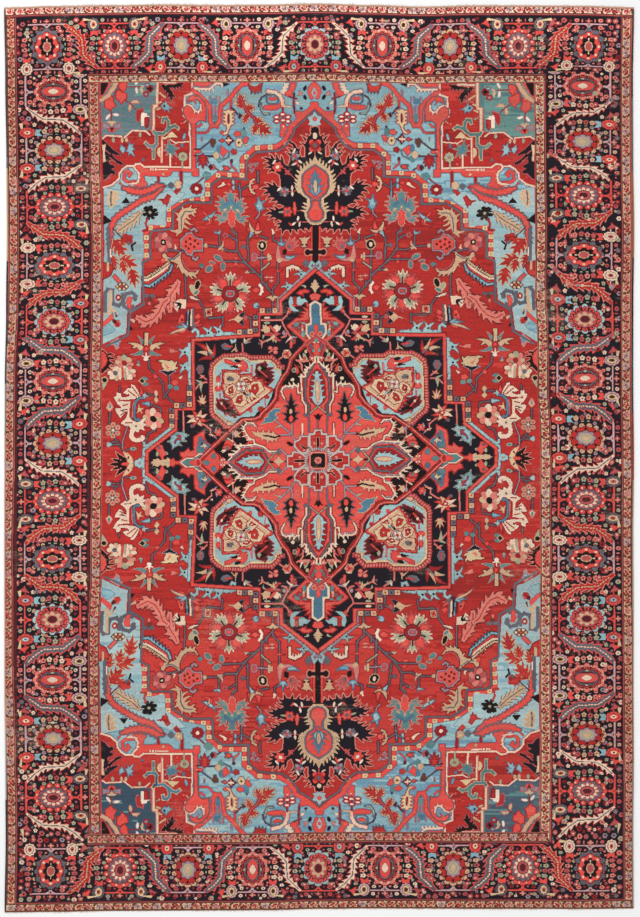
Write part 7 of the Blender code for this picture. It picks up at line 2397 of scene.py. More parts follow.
borderMarks = [(-129.2, 178.5, 0, 0), (-129.2, 92.8, 0, 1.2), (-129.2, 64.2, 0, 2.6),
               (-129.2, 35.6, 0, 2.2), (-129.2, 7, 0, 0.6), (-129.2, -50, 0, 1.6), (-129.2, -107, 0, 0),
               (-129.2, -164.5, 0, 0), (129.2, 178.5, -1, 2.5), (129.2, 150, -1.2, 4),
               (129.2, 121, -1, 6.4), (129.2, 35, 0, 3), (129.2, -30, 0.5, 1), (129.2, -107, 0.7, 0),
               (129.2, -136, 0.7, 0.8), (129.2, -164.5, 0.9, 2), (0, 200, -2, 0), (34, 200, -2.2, 0),
               (-34, 200, -2, 0), (66, 200, -2.2, 0), (99, 200, -2, 0), (131, 200, -0.8, 0),
               (-66, 200, -1, 0), (-131, 200, -0.4, 0), (0, -200, -0.5, 0), (-131, -200, 1.2, 0),
               (-99, -200, 2, 0), (-66, -200, 2, 0), (-33, -200, 0.5, 0), (33, -200, -1, 0),
               (131, -200, 0, 0),]


def guardBorder(pen, length, half, ground, dark, seed):
    # A row of flowers with slanting, veined leaves between, along x from the middle.
    random = np.random.default_rng(seed)
    steps = np.linspace(-length / 2, length / 2, 25)
    pen.fill([(x, -half) for x in steps] + [(x, half) for x in steps[::-1]], ground)
    for up in (-1, 1):
        pen.line([(x, (half - 0.15) * up) for x in steps], 0.45, "rose")
        pen.line([(x, (half - 0.55) * up) for x in steps], 0.5, dark)
    count = 2 * round(length / 9.5)
    pitch = length / count
    reach = half - 0.95
    for k in range(count):
        x = (k + 0.5) * pitch - length / 2 + random.uniform(-0.25, 0.25)
        outer, inner = (("rose", "crimson"), ("crimson", "rose"), ("rose", "lilac"), ("crimson", "salmon"),
                        ("lilac", "crimson"))[random.integers(5)]
        with pen.moved(x, 0, flipY=k % 2 == 1):
            way = pitch / 2
            pen.petals(-0.2, 0.1, 1.75, reach, outer, random.integers(5, 7), 0.24, random.uniform(0, 1))
            pen.fill([(way - 1.2, -reach), (way + 0.4, -reach), (way + 0.2, -0.2), (way - 0.6, 0.1)],
                     "crimson" if outer == "rose" else "rose")
            pen.fill([(way - 0.5, reach * 0.9), (way + 0.7, reach * 0.4), (way + 0.2, -0.2),
                      (way - 0.5, 0.3)], outer)
            pen.line([(-1.6, reach), (-0.6, 0.6), (0.3, 0.3), (1.1, -0.7), (1.0, -reach)], 0.32, ground)
            pen.line([(0.3, 0.3), (0.7, reach)], 0.32, ground)
            pen.disc(0, 0.2, 0.5, 0.45, inner)
            pen.disc(-1.0, -0.6, 0.35, 0.35, inner)
            pen.line([(way - 0.2, reach * 0.5), (way + 0.8, reach)], 0.95, dark)
            pen.line([(way - 0.9, -0.4), (way - 0.1, -reach * 0.8)], 0.55, dark)


# How far each guard strays, as (along it, sideways) in its own direction, and what it is made of.
guards = [{"turn": 90, "at": (-149.1, -0.4), "length": 430.2, "half": 2.45, "ground": "camel",
           "dark": "brown", "strays": [(-170, 0.4), (-130, 0.9), (-90, 1.6), (-45, 1.8), (0, 1.1),
                                       (45, 0.9), (90, 0), (170, 0.4)]},
          {"turn": 90, "at": (149.1, -0.4), "length": 430.2, "half": 2.45, "ground": "camel",
           "dark": "brown", "strays": [(-170, -1.2), (-110, -0.9), (-45, -0.4), (45, 0), (170, 0)]},
          {"turn": 0, "at": (0, 217), "length": 303.4, "half": 2.3, "ground": "cream", "dark": "brown",
           "strays": [(0, 0.9)]}, {"turn": 0, "at": (0, -217.8), "length": 303.4, "half": 2.3,
                                   "ground": "straw", "dark": "brown", "strays": [(0, 0)]},
          {"turn": 90, "at": (-109.1, -0.4), "length": 373, "half": 2.6, "ground": "camel",
           "dark": "brown", "strays": [(-170, 0), (-90, 0), (-45, -1), (0, -1.4), (45, -0.7), (90, -0.5),
                                       (170, 0.4)]}, {"turn": 90, "at": (107, -0.4), "length": 373,
                                                      "half": 2.6, "ground": "straw", "dark": "brown",
                                                      "strays": [(-175, -2.8), (-130, -2.8), (-90, -2.8),
                                                                 (-45, -3.1), (0, -2.8), (45, -1.7),
                                                                 (90, -0.4), (130, -0.3), (175, -0.2)]},
          {"turn": 0, "at": (-1, 184.3), "length": 221.4, "half": 2.1, "ground": "straw", "dark": "brown",
           "strays": [(0, 0)]}, {"turn": 0, "at": (-1, -185), "length": 223.4, "half": 2.5,
                                 "ground": "camel", "dark": "brown", "strays": [(0, 0)]},]


def drawGuards(pen):
    for seed, guard in enumerate(guards):
        (x, y), turned = guard["at"], guard["turn"] == 90
        pen.marks = np.array([(x, y + along, -aside, 0) if turned else (x + along, y, 0, aside) for along,
                              aside in guard["strays"]])
        with pen.moved(x, y, guard["turn"]):
            guardBorder(pen, guard["length"], guard["half"], guard["ground"], guard["dark"], seed + 1)
    pen.marks = None


def drawBorder(pen):
    for flip in (False, True):
        sideBorder(pen, flip)
    for flip in (False, True):
        endBorder(pen, flip)
    half = border["sideHalf"]
    for size, gap, seed in ((1.3, 0.45, 5), (0.75, 0.5, 6)):
        for x in (-border["side"], border["side"]):
            scatter(pen, (x - half, -214, x + half, 214), "navy", smallFlowers, size, gap, seed)
        for y in (-border["end"], border["end"]):
            scatter(pen, (-112, y - border["endHalf"], 112, y + border["endHalf"]), "navy", smallFlowers,
                    size, gap, seed)


def edged(pen, ground, other, reach=1):
    # The ground's wool changes where it meets a motif.
    bare = pen.chart == pen.names.index(ground)
    near = np.zeros_like(bare)
    for axis in (0, 1):
        for step in (-reach, reach):
            near |= ~np.roll(bare, step, axis=axis)
    pen.chart[bare & near] = pen.names.index(other)


# The streaks are sums of three noises: how many knots each runs along and across, and its share.
streakSizes = ((260, 46, 0.75), (70, 9, 0.5), (24, 3, 0.45))

# Streaks of other dye lots, in the order in which they are woven. The lower the least, the more of
# them, and low, high, left and right keep them to one part of the rug.
dyeStreaks = [
    {"ground": "sky", "other": "azure", "least": 0.7, "seed": 21},
    {"ground": "sky", "other": "mist", "least": 0.3, "seed": 22},
    {"ground": "pale", "other": "mist", "least": 0.8, "seed": 23},
    {"ground": "teal", "other": "sea", "least": 0.7, "seed": 24},
    {"ground": "pale", "other": "sky", "least": 1.3, "seed": 25},
    {"ground": "coral", "other": "blush", "least": 0.3, "seed": 26},
    {"ground": "red", "other": "madder", "least": 0.95, "seed": 31},
    {"ground": "red", "other": "poppy", "least": -0.3, "seed": 32, "low": -152, "high": -88},
    {"ground": "red", "other": "poppy", "least": 1.0, "seed": 33},
    {"ground": "teal", "other": "indigo", "least": -1.1, "seed": 34, "high": -155, "right": -79},
    {"ground": "teal", "other": "steel", "least": -1.3, "seed": 35, "high": -155, "left": 80},
    {"ground": "teal", "other": "haze", "least": 0, "seed": 36, "low": 150, "right": -79},
    {"ground": "sea", "other": "indigo", "least": -1.1, "seed": 34, "high": -155, "right": -79},
    {"ground": "sea", "other": "steel", "least": -1.3, "seed": 35, "high": -155, "left": 80},
    {"ground": "sea", "other": "haze", "least": 0, "seed": 36, "low": 150, "right": -79},
    {"ground": "indigo", "other": "steel", "least": 0.9, "seed": 37},
    {"ground": "steel", "other": "blue", "least": 1.0, "seed": 38},
    {"ground": "teal", "other": "sea", "least": -0.5, "seed": 39, "low": 150, "left": 80},
    {"ground": "teal", "other": "blue", "least": -0.5, "seed": 34, "high": -140, "right": 0},
]


def streaked(pen, ground, other, least, seed, low=-220, high=220, left=-160, right=160):
    # Another dye lot of the ground's wool, in streaks along its rows, from one height to another.
    random = np.random.default_rng(seed)
    rows, columns = pen.chart.shape
    total = 0
    for long, tall, share in streakSizes:
        coarse = random.normal(size=(rows // tall + 1, columns // long + 3))
        stops = np.arange(coarse.shape[1]) * long
        lines = [np.interp(np.arange(columns) + random.uniform(0, long), stops, line) for line in coarse]
        total = total + share * np.repeat(np.array(lines), tall, axis=0)[:rows]
    y = (np.arange(rows)[:, None] - rows / 2) * pen.knot[1]
    x = (np.arange(columns)[None, :] - columns / 2) * pen.knot[0]
    meant = (y > low) & (y < high) & (x > left) & (x < right)
    pen.chart[(pen.chart == pen.names.index(ground)) & (total > least) & meant] = pen.names.index(other)


# The field lies inside the guards, between these two corners, in centimetres.
fieldBox = {"low": (-110, -186), "high": (108, 184.5)}


def borderLines(pen):
    # The maroon lines along the guards' inner sides.
    left = [(-146.7 - aside, along) for along, aside in guards[0]["strays"]]
    right = [(146.7 - aside, along) for along, aside in guards[1]["strays"]]
    inner = [(109.7 - aside, along) for along, aside in guards[5]["strays"]]
    pen.line([(-146.9, 215.6), (-147, -215.5), (147.8, -215.5), *right, (146.7, 215.6)], 1.2, "maroon",
             closed=True)
    pen.line(left, 1.4, "maroon")
    pen.line([(-111.7, 186.4), (-111.7, -187.5), (112.5, -187.5), *inner, (109.9, 186.4)], 1.2, "maroon",
             closed=True)


def weaveChart():
    pen = Loom("red")
    pen.marks = np.array(fieldMarks)
    drawField(pen)
    drawMedallion(pen)
    for ground, other in (("red", "crimson"), ("coral", "red"), ("sky", "blue")):
        edged(pen, ground, other)
    for streak in dyeStreaks:
        streaked(pen, **streak)
    field = pen.chart.copy()
    pen.chart[:] = pen.names.index("navy")
    pen.marks = np.array(borderMarks)
    drawBorder(pen)
    pen.marks = None
    inside = np.zeros_like(field, dtype=bool)
    middle = np.array(field.shape[::-1]) / 2
    low = (np.array(fieldBox["low"]) / pen.knot + middle).astype(int)
    high = (np.array(fieldBox["high"]) / pen.knot + middle).astype(int)
    stations, strays = zip(*guards[5]["strays"])
    for row in range(low[1], high[1]):
        stray = -np.interp((row - middle[1]) * pen.knot[1], stations, strays)
        inside[row, low[0]:high[0] + int(stray / pen.knot[0])] = True
    pen.chart[inside] = field[inside]
    borderLines(pen)
    drawGuards(pen)
    return pen.chart


cloth = {
    "rimSteps": [(0.0, 0.0004), (0.0004, 0.0070), (0.0016, 0.0092)],   # in from the edge, up
    "swell": 0.0005,
    "swellPace": (5.1, 3.3, 4.3, 1.7),
    "lumps": 0.00012,
    "mapMargin": 0.002,              # of a knot, that the map keeps clear of a face's edge
    "seed": 11,
}


def clothProfile(half, blocks):
    # Where the vertices of one row lie from edge to edge, and how far from the nearest edge each is.
    rim = [row[0] for row in cloth["rimSteps"]]
    inner = np.linspace(-half + rim[-1], half - rim[-1], blocks + 1)
    places = np.concatenate([-half + np.array(rim[:-1]), inner, half - np.array(rim[:-1])[::-1]])
    order = np.arange(len(places))
    return places, np.minimum(order, len(places) - 1 - order)


def knotRows(chart):
    # Four knots to a number, one digit each, so that a face's sixteen knots are four numbers.
    size = loom["block"]
    rows, columns = chart.shape
    blocks = chart.reshape(rows // size, size, columns // size, size).astype(np.float64)
    worth = float(loom["mostWools"]) ** np.arange(size)
    numbers = (blocks * worth).sum(axis=-1)
    rim = len(cloth["rimSteps"]) - 1
    return [np.pad(numbers[:, row, :], rim, mode="edge").ravel() for row in range(size)]


def knottedCloth(chart, material):
    halfX = rug["width"] / 2 - rug["cordWidth"] - rug["seam"]
    halfY = rug["length"] / 2 - rug["bandWidth"] - rug["seam"]
    xs, fromSide = clothProfile(halfX, chart.shape[1] // loom["block"])
    ys, fromEnd = clothProfile(halfY, chart.shape[0] // loom["block"])
    gridX, gridY = np.meshgrid(xs, ys)
    ring = np.minimum(fromSide[None, :], fromEnd[:, None])
    heights = [row[1] for row in cloth["rimSteps"]]
    topHeights = heights + [rug["pileHeight"] - cloth["swell"]]
    z = np.array(topHeights)[np.minimum(ring, len(heights))]
    inside = ring >= len(heights)
    random = np.random.default_rng(cloth["seed"])
    wide, bent, long, start = cloth["swellPace"]
    swell = np.sin(gridX * wide + np.sin(gridY * bent)) * np.sin(gridY * long + start)
    z = z + inside * (cloth["swell"] * swell + random.normal(0, cloth["lumps"], z.shape))
    realX, realY = place(gridX, gridY)
    vertices = np.stack([realX, realY, z], axis=-1).reshape(-1, 3)
    faces = gridFaces(len(ys), len(xs))
    made = addObject("knotted_pile", vertices, faces, material)
    mesh = made.data
    rows, columns = np.divmod(faces, len(xs))
    run = [np.concatenate([[0], np.cumsum(np.hypot(np.diff(p), np.diff(h)))])
           for p, h in ((xs, z[len(ys) // 2]), (ys, z[:, len(xs) // 2]))]
    addMap(mesh, "OFBake", np.stack([run[0][columns] / run[0][-1], run[1][rows] / run[1][-1]], -1))
    margin = cloth["mapMargin"]
    corner = np.array([(0, 0), (1, 0), (1, 1), (0, 1)]) * loom["block"]
    corner = np.clip(corner, margin, loom["block"] - margin)
    block = np.stack([columns[:, :1], rows[:, :1]], axis=-1) * loom["block"]
    addMap(mesh, "knots", block + corner[None])
    for row, numbers in enumerate(knotRows(chart)):
        layer = mesh.attributes.new(f"knots_{row}", "FLOAT", "FACE")
        layer.data.foreach_set("value", numbers.astype(np.float32))
    return made


woolLook = {
    "sheen": 0.04,
    "sheenRoughness": 0.6,
    "specular": 0.12,
    "roughness": 0.86,
    "roughnessStray": 0.08,
    "abrash": 2.2,                   # how far each dye lot strays, beside the wool's own share
    "otherLots": 0.3,                # that share, for a wool that dyeLots leaves out
    "lotPace": (0.22, 2.6, 5.3),     # of the lots' noise across, along and from wool to wool
    "rowPace": (1.6, 70, 3.1),       # of the rows' noise, the same
    "streaks": 0.52,                 # between rows of knots
    "grain": 0.42,                   # between knots
    "topLift": 0.42,                 # how much lighter the top end is made
    "liftFrom": 1.9,                 # metres up from the rug's middle
    "liftPace": 4,
    "dust": (128, 92, 84),
    "dustShare": 0.045,
    "dustLeast": 0.4,
    "dustStray": 1.2,
    "wearFrom": 0.60,                # the higher, the fewer worn places
    "wearPace": 4,
    "wearMost": 0.55,
    "bareShare": 0.55,
    "bareStray": 1.6,
    "foundation": (206, 172, 150),   # the cotton, where the pile has gone
    "humpDrop": 2.6,                 # from a knot's middle to its corners
    "relief": {"hump": 0.5, "grain": 0.5, "fibres": 0.4, "rows": 0.6},
    "bumpStrength": 0.55,
    "bumpHeight": 0.0009,
}

# How each wool's dye lots stray along the rug, from 0 to 1; woolLook has it for any other wool.
dyeLots = {"red": 0.35, "crimson": 0.3, "sky": 0.5, "azure": 0.5, "mist": 0.5, "pale": 0.6, "teal": 0.6,
           "sea": 0.6, "haze": 0.6, "steel": 0.6, "indigo": 0.6, "blue": 0.6, "slate": 0.6, "navy": 0.4,
           "cream": 0.2, "black": 0.4}


def woolFinish(name):
    look = woolLook
    finish = Finish(name, {"Sheen Weight": look["sheen"], "Sheen Roughness": look["sheenRoughness"],
                           "Specular IOR Level": look["specular"]})
    size, most = loom["block"], loom["mostWools"]
    split = finish.node("ShaderNodeSeparateXYZ", None, {
        0: finish.node("ShaderNodeUVMap", {"uv_map": "knots"})})
    across, along = split, split.other("Y")
    knotX, knotY = across.floor(), along.floor()
    column, row = knotX % size, knotY % size
    number = [finish.node("ShaderNodeAttribute", {"attribute_name": f"knots_{k}"}, output=2)
              for k in range(size)]
    packed = number[0]
    shift = 1
    for k in range(1, size):
        packed = packed + (row > k - 0.5) * (number[k] - number[k - 1])
        shift = shift * (1 + (most - 1) * (column > k - 0.5))
    wool = (packed / shift).floor() % most
    stops = [(k / most, (*linear(colour), dyeLots.get(dye, look["otherLots"])))
             for k, (dye, colour) in enumerate(wools.items())]
    dyed = finish.node("ShaderNodeValToRGB", {"stops": stops}, {0: (wool + 0.5) / most})
    dyed.socket.node.color_ramp.interpolation = "CONSTANT"
    straying = dyed.other("Alpha")

    spot = finish.node("ShaderNodeSeparateXYZ", None,
                         {0: finish.node("ShaderNodeTexCoord", None, output=3)})
    x, y = spot, spot.other("Y")
    wide, long, apart = look["lotPace"]
    lots = finish.noise(x * wide, y * long, wool * apart, scale=1.0, detail=4.0, roughness=0.7) - 0.5
    wide, long, apart = look["rowPace"]
    rows = finish.noise(x * wide, y * long, wool * apart, scale=1.0, detail=3.0, roughness=0.75) - 0.5
    grain = finish.node("ShaderNodeTexWhiteNoise", {"noise_dimensions": "2D"},
                        {"Vector": finish.node("ShaderNodeCombineXYZ", None, {0: knotX, 1: knotY})}) - 0.5
    shade = 1 + lots * straying * look["abrash"]
    shade = shade + rows * look["streaks"] + grain * look["grain"]
    # The knots are made lighter towards the top end, by a share that grows from a given height up.
    lifted = ((y - look["liftFrom"]) * look["liftPace"]).held() * look["topLift"]
    colour = finish.scaled(dyed, shade * (1 + lifted))

    clouds = finish.noise(x, y, 3.0, scale=2.2, detail=6.0, roughness=0.62)
    dusty = look["dustShare"] * (look["dustLeast"] + clouds * look["dustStray"])
    colour = finish.blend(dusty, colour, (*linear(look["dust"]), 1))
    patches = finish.noise(x, y, 11.0, scale=3.2, detail=5.0, roughness=0.7)
    rubbed = finish.noise(x * 3, y * 30, 2.0, scale=2.0, detail=3.0, roughness=0.7)
    patches = patches + (rubbed - 0.5) * 0.5
    worn = ((patches - look["wearFrom"]) * look["wearPace"]).held() * look["wearMost"]
    bare = (worn * (look["bareShare"] + grain * look["bareStray"])).held()
    colour = finish.blend(bare, colour, (*linear(look["foundation"]), 1))
    finish.feed("Base Color", colour)
    stray = look["roughnessStray"]
    finish.feed("Roughness", look["roughness"] + rows * stray + clouds * stray)

    # Each knot is a low hump of wool, a little taller or shorter than the next.
    humpX, humpY = (across % 1) - 0.5, (along % 1) - 0.5
    hump = 1 - (humpX * humpX + humpY * humpY) * look["humpDrop"]
    fibres = finish.noise(x, y, 0.0, scale=900.0, detail=2.0, roughness=0.6)
    relief = look["relief"]
    height = hump * relief["hump"] + grain * relief["grain"]
    height = height + fibres * relief["fibres"] + rows * relief["rows"]
    bump = {"Strength": look["bumpStrength"], "Distance": look["bumpHeight"], "Height": height}
    finish.feed("Normal", finish.node("ShaderNodeBump", None, bump))
    return finish.material


cord = {
    "turn": 0.0052,                  # of the overcasting, along the cord
    "ridge": 0.0005,
    "ridgePower": 0.7,               # the lower, the sharper the grooves between the turns
    "ringStep": 0.0013,
    "sides": 12,
    "slack": 0.00015,                # how far the wool lies inside the cord's own round
    "flatness": 0.98,
    "wander": 0.00015,
    "wanderStops": 90,
    "taper": 0.004,                  # the length over which an end narrows
    "endShare": 0.35,                # what is left of the thickness at the end
    "rampLength": 4.6,               # metres along the rug that the wools' ramps cover
    "joinWander": 0.012,
    "darkest": 0.62,
    "threadLight": 0.76,
    "seed": 21,
}

# Each mended stretch of the side cords: its upper end, in metres from the rug's middle, and its wool.
stretches = {"left": [(2.2, (84, 54, 54)), (1.44, (108, 106, 116)), (1.39, (200, 172, 138)),
                      (0.95, (26, 22, 26)), (0.62, (54, 56, 68)), (0.35, (146, 126, 118)),
                      (0.09, (190, 146, 126)), (-0.74, (204, 164, 140)), (-1.34, (176, 164, 166)),
                      (-1.66, (60, 42, 48))], "right": [(2.2, (64, 36, 36)), (1.73, (104, 98, 98)),
                                                        (1.38, (158, 104, 58)), (0.96, (38, 24, 22)),
                                                        (0.57, (54, 58, 66)), (0.2, (142, 52, 40)),
                                                        (-0.12, (160, 110, 94)), (-0.3, (168, 134, 120)),
                                                        (-0.74, (150, 102, 86)), (-1.48, (150, 128, 120))],
             }

band = {
    "columns": 1500,
    "cotton": (198, 152, 130),
    "line": (120, 70, 54),
    "weave": 0.00035,
    # each row across: how far out over the band it lies, and how high, both from 0 to 1
    "profile": [(0, 0.04), (0.0004, 0.8), (0.12, 1.0), (0.3, 1.0), (0.5, 1.0), (0.7, 0.98), (0.88, 0.86),
                (0.97, 0.55), (1.0, 0.05)],
    "wovenAbove": 0.5,               # the rows higher than this share show the weave
    "lowered": 0.0005,
    "lumps": 0.00006,
    "ragged": 0.0005,
    "raggedStops": 160,
    "seed": 31,
}

fringe = {
    "threads": 2600,
    "length": (0.003, 0.0125),
    "thick": 0.00042,
    "thickStray": (0.7, 1.3),
    "taper": 0.75,
    "corners": (0.5, 2.6, 4.7),      # the angles of a thread's three sides
    "margin": 0.002,                 # at each end of a band, left without threads
    "patchSpan": 1.6,                # metres to either side of the middle
    "patches": 70,                   # of longer and shorter threads
    "shortest": 0.25,                # share of the length left in the most worn patch
    "lean": 0.3,
    "bend": 0.12,
    "bendTurn": 3,
    "rootInset": 0.0012,
    "rootHeight": 0.0016,
    "rise": (0.0003, 0.0022),
    "riseTurn": 2.6,
    "lift": 0.0003,
    "lowest": 0.0001,
    "cotton": (226, 208, 184),
    "seed": 41,
}


def overcastCord(side, material):
    name = "left" if side < 0 else "right"
    random = np.random.default_rng(cord["seed"] + side)
    middle = rug["width"] / 2 - rug["cordWidth"] / 2
    end = rug["length"] / 2 - rug["bandWidth"] - rug["seam"]
    ys = np.arange(-end, end, cord["ringStep"])
    angles = np.arange(cord["sides"]) / cord["sides"] * 2 * math.pi
    gridY, gridA = np.meshgrid(ys, angles, indexing="ij")
    stops = cord["wanderStops"]
    slow = np.interp(ys, np.linspace(-end, end, stops), random.normal(0, cord["wander"], stops))
    turn = gridY / cord["turn"] + gridA / (2 * math.pi)
    ridge = cord["ridge"] * (1 - np.abs(np.sin(turn * math.pi)) ** cord["ridgePower"])
    fromEnd = np.minimum(ys + end, end - ys)
    closing = np.clip(fromEnd / cord["taper"] + cord["endShare"], 0, 1)[:, None]
    reach = (1 + (slow[:, None] - ridge - cord["slack"]) / (rug["cordWidth"] / 2)) * closing
    x = side * (middle + rug["cordWidth"] / 2 * reach * np.cos(gridA))
    z = rug["cordHeight"] / 2 * (1 + reach * np.sin(gridA) * cord["flatness"])
    realX, realY = place(x, gridY)
    vertices = np.stack([realX, realY, z], axis=-1).reshape(-1, 3)
    sides, rings = cord["sides"], len(ys)
    base = np.arange(rings - 1)[:, None] * sides
    here, following = np.arange(sides)[None, :], (np.arange(sides) + 1)[None, :] % sides
    faces = np.stack([base + here, base + following, base + sides + following, base + sides + here],
                     axis=-1)
    faces = faces.reshape(-1, 4) if side < 0 else faces.reshape(-1, 4)[:, ::-1]
    made = addObject(f"overcast_cord_{name}", vertices, faces, material)
    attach(made, "root")
    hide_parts(f"side_cord_{name}")
    return made


def cordFinish():
    # Wound wool, mended in stretches of whatever was at hand.
    finish = Finish("overcast_wool", {"Roughness": 0.9, "Sheen Weight": 0.15, "Specular IOR Level": 0.25})
    at = finish.node("ShaderNodeSeparateXYZ", None, {0: finish.node("ShaderNodeTexCoord", None, output=3)})
    up = at.other("Y")
    right = at > 0
    wander = finish.node("ShaderNodeTexNoise", None, {"Scale": 55.0, "Detail": 4.0}) - 0.5
    height = (up + wander * cord["joinWander"]) / cord["rampLength"] + 0.5
    sides = []
    for table in (stretches["left"], stretches["right"]):
        tones = [(*linear(row[1]), 1) for row in table]
        lowEnds = [row[0] / cord["rampLength"] + 0.5 for row in table[1:]] + [0]
        stops = list(zip(lowEnds, tones))[::-1]
        ramp = finish.node("ShaderNodeValToRGB", {"stops": stops}, {0: height})
        ramp.socket.node.color_ramp.interpolation = "CONSTANT"
        sides.append(ramp)
    wool = finish.blend(right, *sides)
    thread = finish.node("ShaderNodeTexNoise", None, {"Scale": 420.0, "Detail": 3.0, "Roughness": 0.7})
    shade = cord["darkest"] + thread * cord["threadLight"]
    finish.feed("Base Color", finish.scaled(wool, shade))
    bump = finish.node("ShaderNodeBump", None, {"Strength": 0.5, "Distance": 0.0004, "Height": thread})
    finish.feed("Normal", bump)
    return finish.material


def wovenBand(end, material):
    # The plain-woven strip past the last row of knots, rounded over its outer edge.
    name = "top" if end > 0 else "bottom"
    random = np.random.default_rng(band["seed"] + end)
    xs = np.linspace(-rug["width"] / 2, rug["width"] / 2, band["columns"] + 1)
    inner, outer = rug["length"] / 2 - rug["bandWidth"], rug["length"] / 2
    out, high = np.array(band["profile"]).T
    gridX, gridOut = np.meshgrid(xs, out, indexing="ij")
    inside = (high > band["wovenAbove"])[None, :]
    cells = (np.arange(len(xs))[:, None] + np.arange(len(out))[None, :]) % 2
    relief = cells * band["weave"] + random.normal(0, band["lumps"], gridX.shape)
    z = high * (rug["bandHeight"] - band["lowered"]) + inside * relief
    stops = band["raggedStops"]
    ragged = np.interp(xs, np.linspace(xs[0], xs[-1], stops), random.normal(0, band["ragged"], stops))
    y = inner + (outer - inner) * gridOut - np.abs(ragged)[:, None] * gridOut
    realX, realY = place(gridX, end * y)
    vertices = np.stack([realX, realY, z], axis=-1).reshape(-1, 3)
    faces = gridFaces(len(xs), len(out))
    made = addObject(f"woven_band_{name}", vertices, faces if end < 0 else faces[:, ::-1], material)
    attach(made, "root")
    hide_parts(f"end_band_{name}")
    return made


def wornFringe(end, material):
    # Single warp threads, worn short: each a thin three-sided spike that wavers as it leaves the band.
    name = "top" if end > 0 else "bottom"
    random = np.random.default_rng(fringe["seed"] + end)
    count = fringe["threads"]
    reach = rug["width"] / 2 - fringe["margin"]
    roots = np.sort(random.uniform(-reach, reach, count))
    stops = np.linspace(-fringe["patchSpan"], fringe["patchSpan"], fringe["patches"])
    patches = np.interp(roots, stops, random.uniform(fringe["shortest"], 1, fringe["patches"]))
    length = random.uniform(*fringe["length"], count) * patches
    lean = random.normal(0, fringe["lean"], count)
    steps = np.linspace(0, 1, 4)
    bend = random.normal(0, fringe["bend"], count)
    aside = lean[:, None] * steps + bend[:, None] * np.sin(steps * fringe["bendTurn"])
    x = roots[:, None] + length[:, None] * aside
    y = rug["length"] / 2 - fringe["rootInset"] + length[:, None] * steps
    rise = random.uniform(*fringe["rise"], count)[:, None] * np.sin(steps * fringe["riseTurn"])
    z = fringe["rootHeight"] * (1 - steps)[None, :] + rise
    stray = random.uniform(*fringe["thickStray"], count)[:, None]
    thick = fringe["thick"] * stray * (1 - fringe["taper"] * steps)
    corners = []
    for turn in fringe["corners"]:
        high = np.maximum(z + thick * math.sin(turn) + fringe["lift"], fringe["lowest"])
        corners.append(np.stack([x + thick * math.cos(turn), y, high], -1))
    points = np.stack(corners, axis=2)                     # thread, step, corner
    realX, realY = place(points[..., 0], end * points[..., 1])
    vertices = np.stack([realX, realY, points[..., 2]], axis=-1).reshape(-1, 3)
    thread = np.arange(count)[:, None, None] * 12
    step = np.arange(3)[None, :, None] * 3
    corner = np.arange(3)[None, None, :]
    following = (corner + 1) % 3
    faces = np.stack([thread + step + corner, thread + step + following, thread + step + 3 + following,
                      thread + step + 3 + corner], -1)
    faces = faces.reshape(-1, 4)
    made = addObject(f"worn_fringe_{name}", vertices, faces if end > 0 else faces[:, ::-1], material)
    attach(made, "root")
    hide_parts(f"end_band_{name}")
    return made


cottonLook = {
    "sheen": 0.1,
    "specular": 0.2,
    "roughness": 0.9,
    "roughnessStray": 0.1,
    "darkest": 0.6,
    "threadLight": 0.4,
    "soilLight": 0.4,
}


def cottonFinish(name, tone):
    look = cottonLook
    finish = Finish(name, {"Sheen Weight": look["sheen"], "Specular IOR Level": look["specular"]})
    at = finish.node("ShaderNodeSeparateXYZ", None, {0: finish.node("ShaderNodeTexCoord", None, output=3)})
    x, y = at, at.other("Y")
    thread = finish.noise(x, y, 0.0, scale=600.0, detail=3.0, roughness=0.6)
    soil = finish.noise(x, y, 4.0, scale=9.0, detail=4.0, roughness=0.65)
    shade = look["darkest"] + thread * look["threadLight"] + soil * look["soilLight"]
    finish.feed("Base Color", finish.scaled(linear(tone), shade))
    finish.feed("Roughness", look["roughness"] + soil * look["roughnessStray"])
    return finish.material


chart = weaveChart()
print("the pattern is drawn:", chart.shape[1], "by", chart.shape[0], "knots")
pile = knottedCloth(chart, woolFinish("knotted_wool"))
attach(pile, "root")
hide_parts("pile_carpet")
print("the pile is made:", len(pile.data.polygons), "faces")

woundWool = cordFinish()
for side in (-1, 1):
    overcastCord(side, woundWool)
print("the side cords are wound")

fluff = cottonFinish("fringe_cotton", fringe["cotton"])
for end, tone in ((1, band["cotton"]), (-1, band["line"])):
    wovenBand(end, cottonFinish(f"band_cotton_{end + 1}", tone))
    wornFringe(end, fluff)
print("the end bands and the fringe are made")


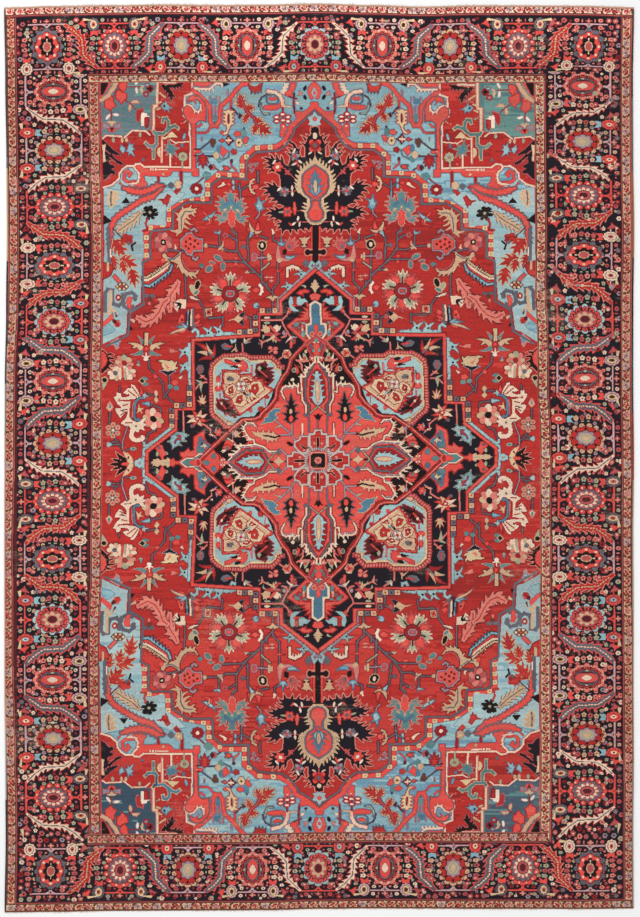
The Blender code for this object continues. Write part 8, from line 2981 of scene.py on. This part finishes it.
stage = {
    "floorSize": 40,
    "floorTone": 0.90,
    "floorGrain": 0.03,
    "skyStrength": 0.75,
    "lampPlace": (-1.6, 1.2, 6.0),
    "lampSize": 5.0,
    "lampPower": 180,
    "photoPixels": (640, 917),
    "photoPixelSize": 0.004837,      # the size of a pixel on the rug, in metres
    "photoMiddle": (319.15, 458.0),  # the pixel over the rug's middle
    "lens": 85,
    "sensor": 36,
}


def makeFloor():
    finish = Finish("studio_floor", {"Roughness": 0.9})
    grain = finish.node("ShaderNodeTexNoise", None, {"Scale": 3.0, "Detail": 3.0})
    tone = stage["floorTone"] + grain * stage["floorGrain"]
    finish.feed("Base Color", finish.node("ShaderNodeCombineXYZ", None, {0: tone, 1: tone, 2: tone}))
    half = stage["floorSize"] / 2
    corners = np.array([(-half, -half, 0), (half, -half, 0), (half, half, 0), (-half, half, 0)])
    floor = addObject("studio_floor", corners, np.array([[0, 1, 2, 3]]), finish.material, False)


def makeLights():
    world = bpy.data.worlds.new("studio")
    world.use_nodes = True
    sky = world.node_tree.nodes["Background"]
    sky.inputs["Color"].default_value = (1, 1, 1, 1)
    sky.inputs["Strength"].default_value = stage["skyStrength"]
    bpy.context.scene.world = world
    lamp = bpy.data.lights.new("soft_box", "AREA")
    lamp.size = stage["lampSize"]
    lamp.energy = stage["lampPower"]
    holder = bpy.data.objects.new("soft_box", lamp)
    holder.location = stage["lampPlace"]
    holder.rotation_euler = (-holder.location).to_track_quat("-Z", "Y").to_euler()
    bpy.context.scene.collection.objects.link(holder)


def makeCamera():
    lens = bpy.data.cameras.new("camera")
    lens.lens = stage["lens"]
    lens.sensor_width = stage["sensor"]
    wide, high = stage["photoPixels"]
    pixel = stage["photoPixelSize"]
    camera = bpy.data.objects.new("camera", lens)
    distance = high * pixel * stage["lens"] / stage["sensor"]
    camera.location = ((wide / 2 - stage["photoMiddle"][0]) * pixel,
                       (stage["photoMiddle"][1] - high / 2) * pixel,
                       distance + rug["pileHeight"])
    bpy.context.scene.collection.objects.link(camera)
    bpy.context.scene.camera = camera


makeFloor()
makeLights()
makeCamera()
bpy.context.scene.view_settings.view_transform = "Standard"
print("the scene is ready")
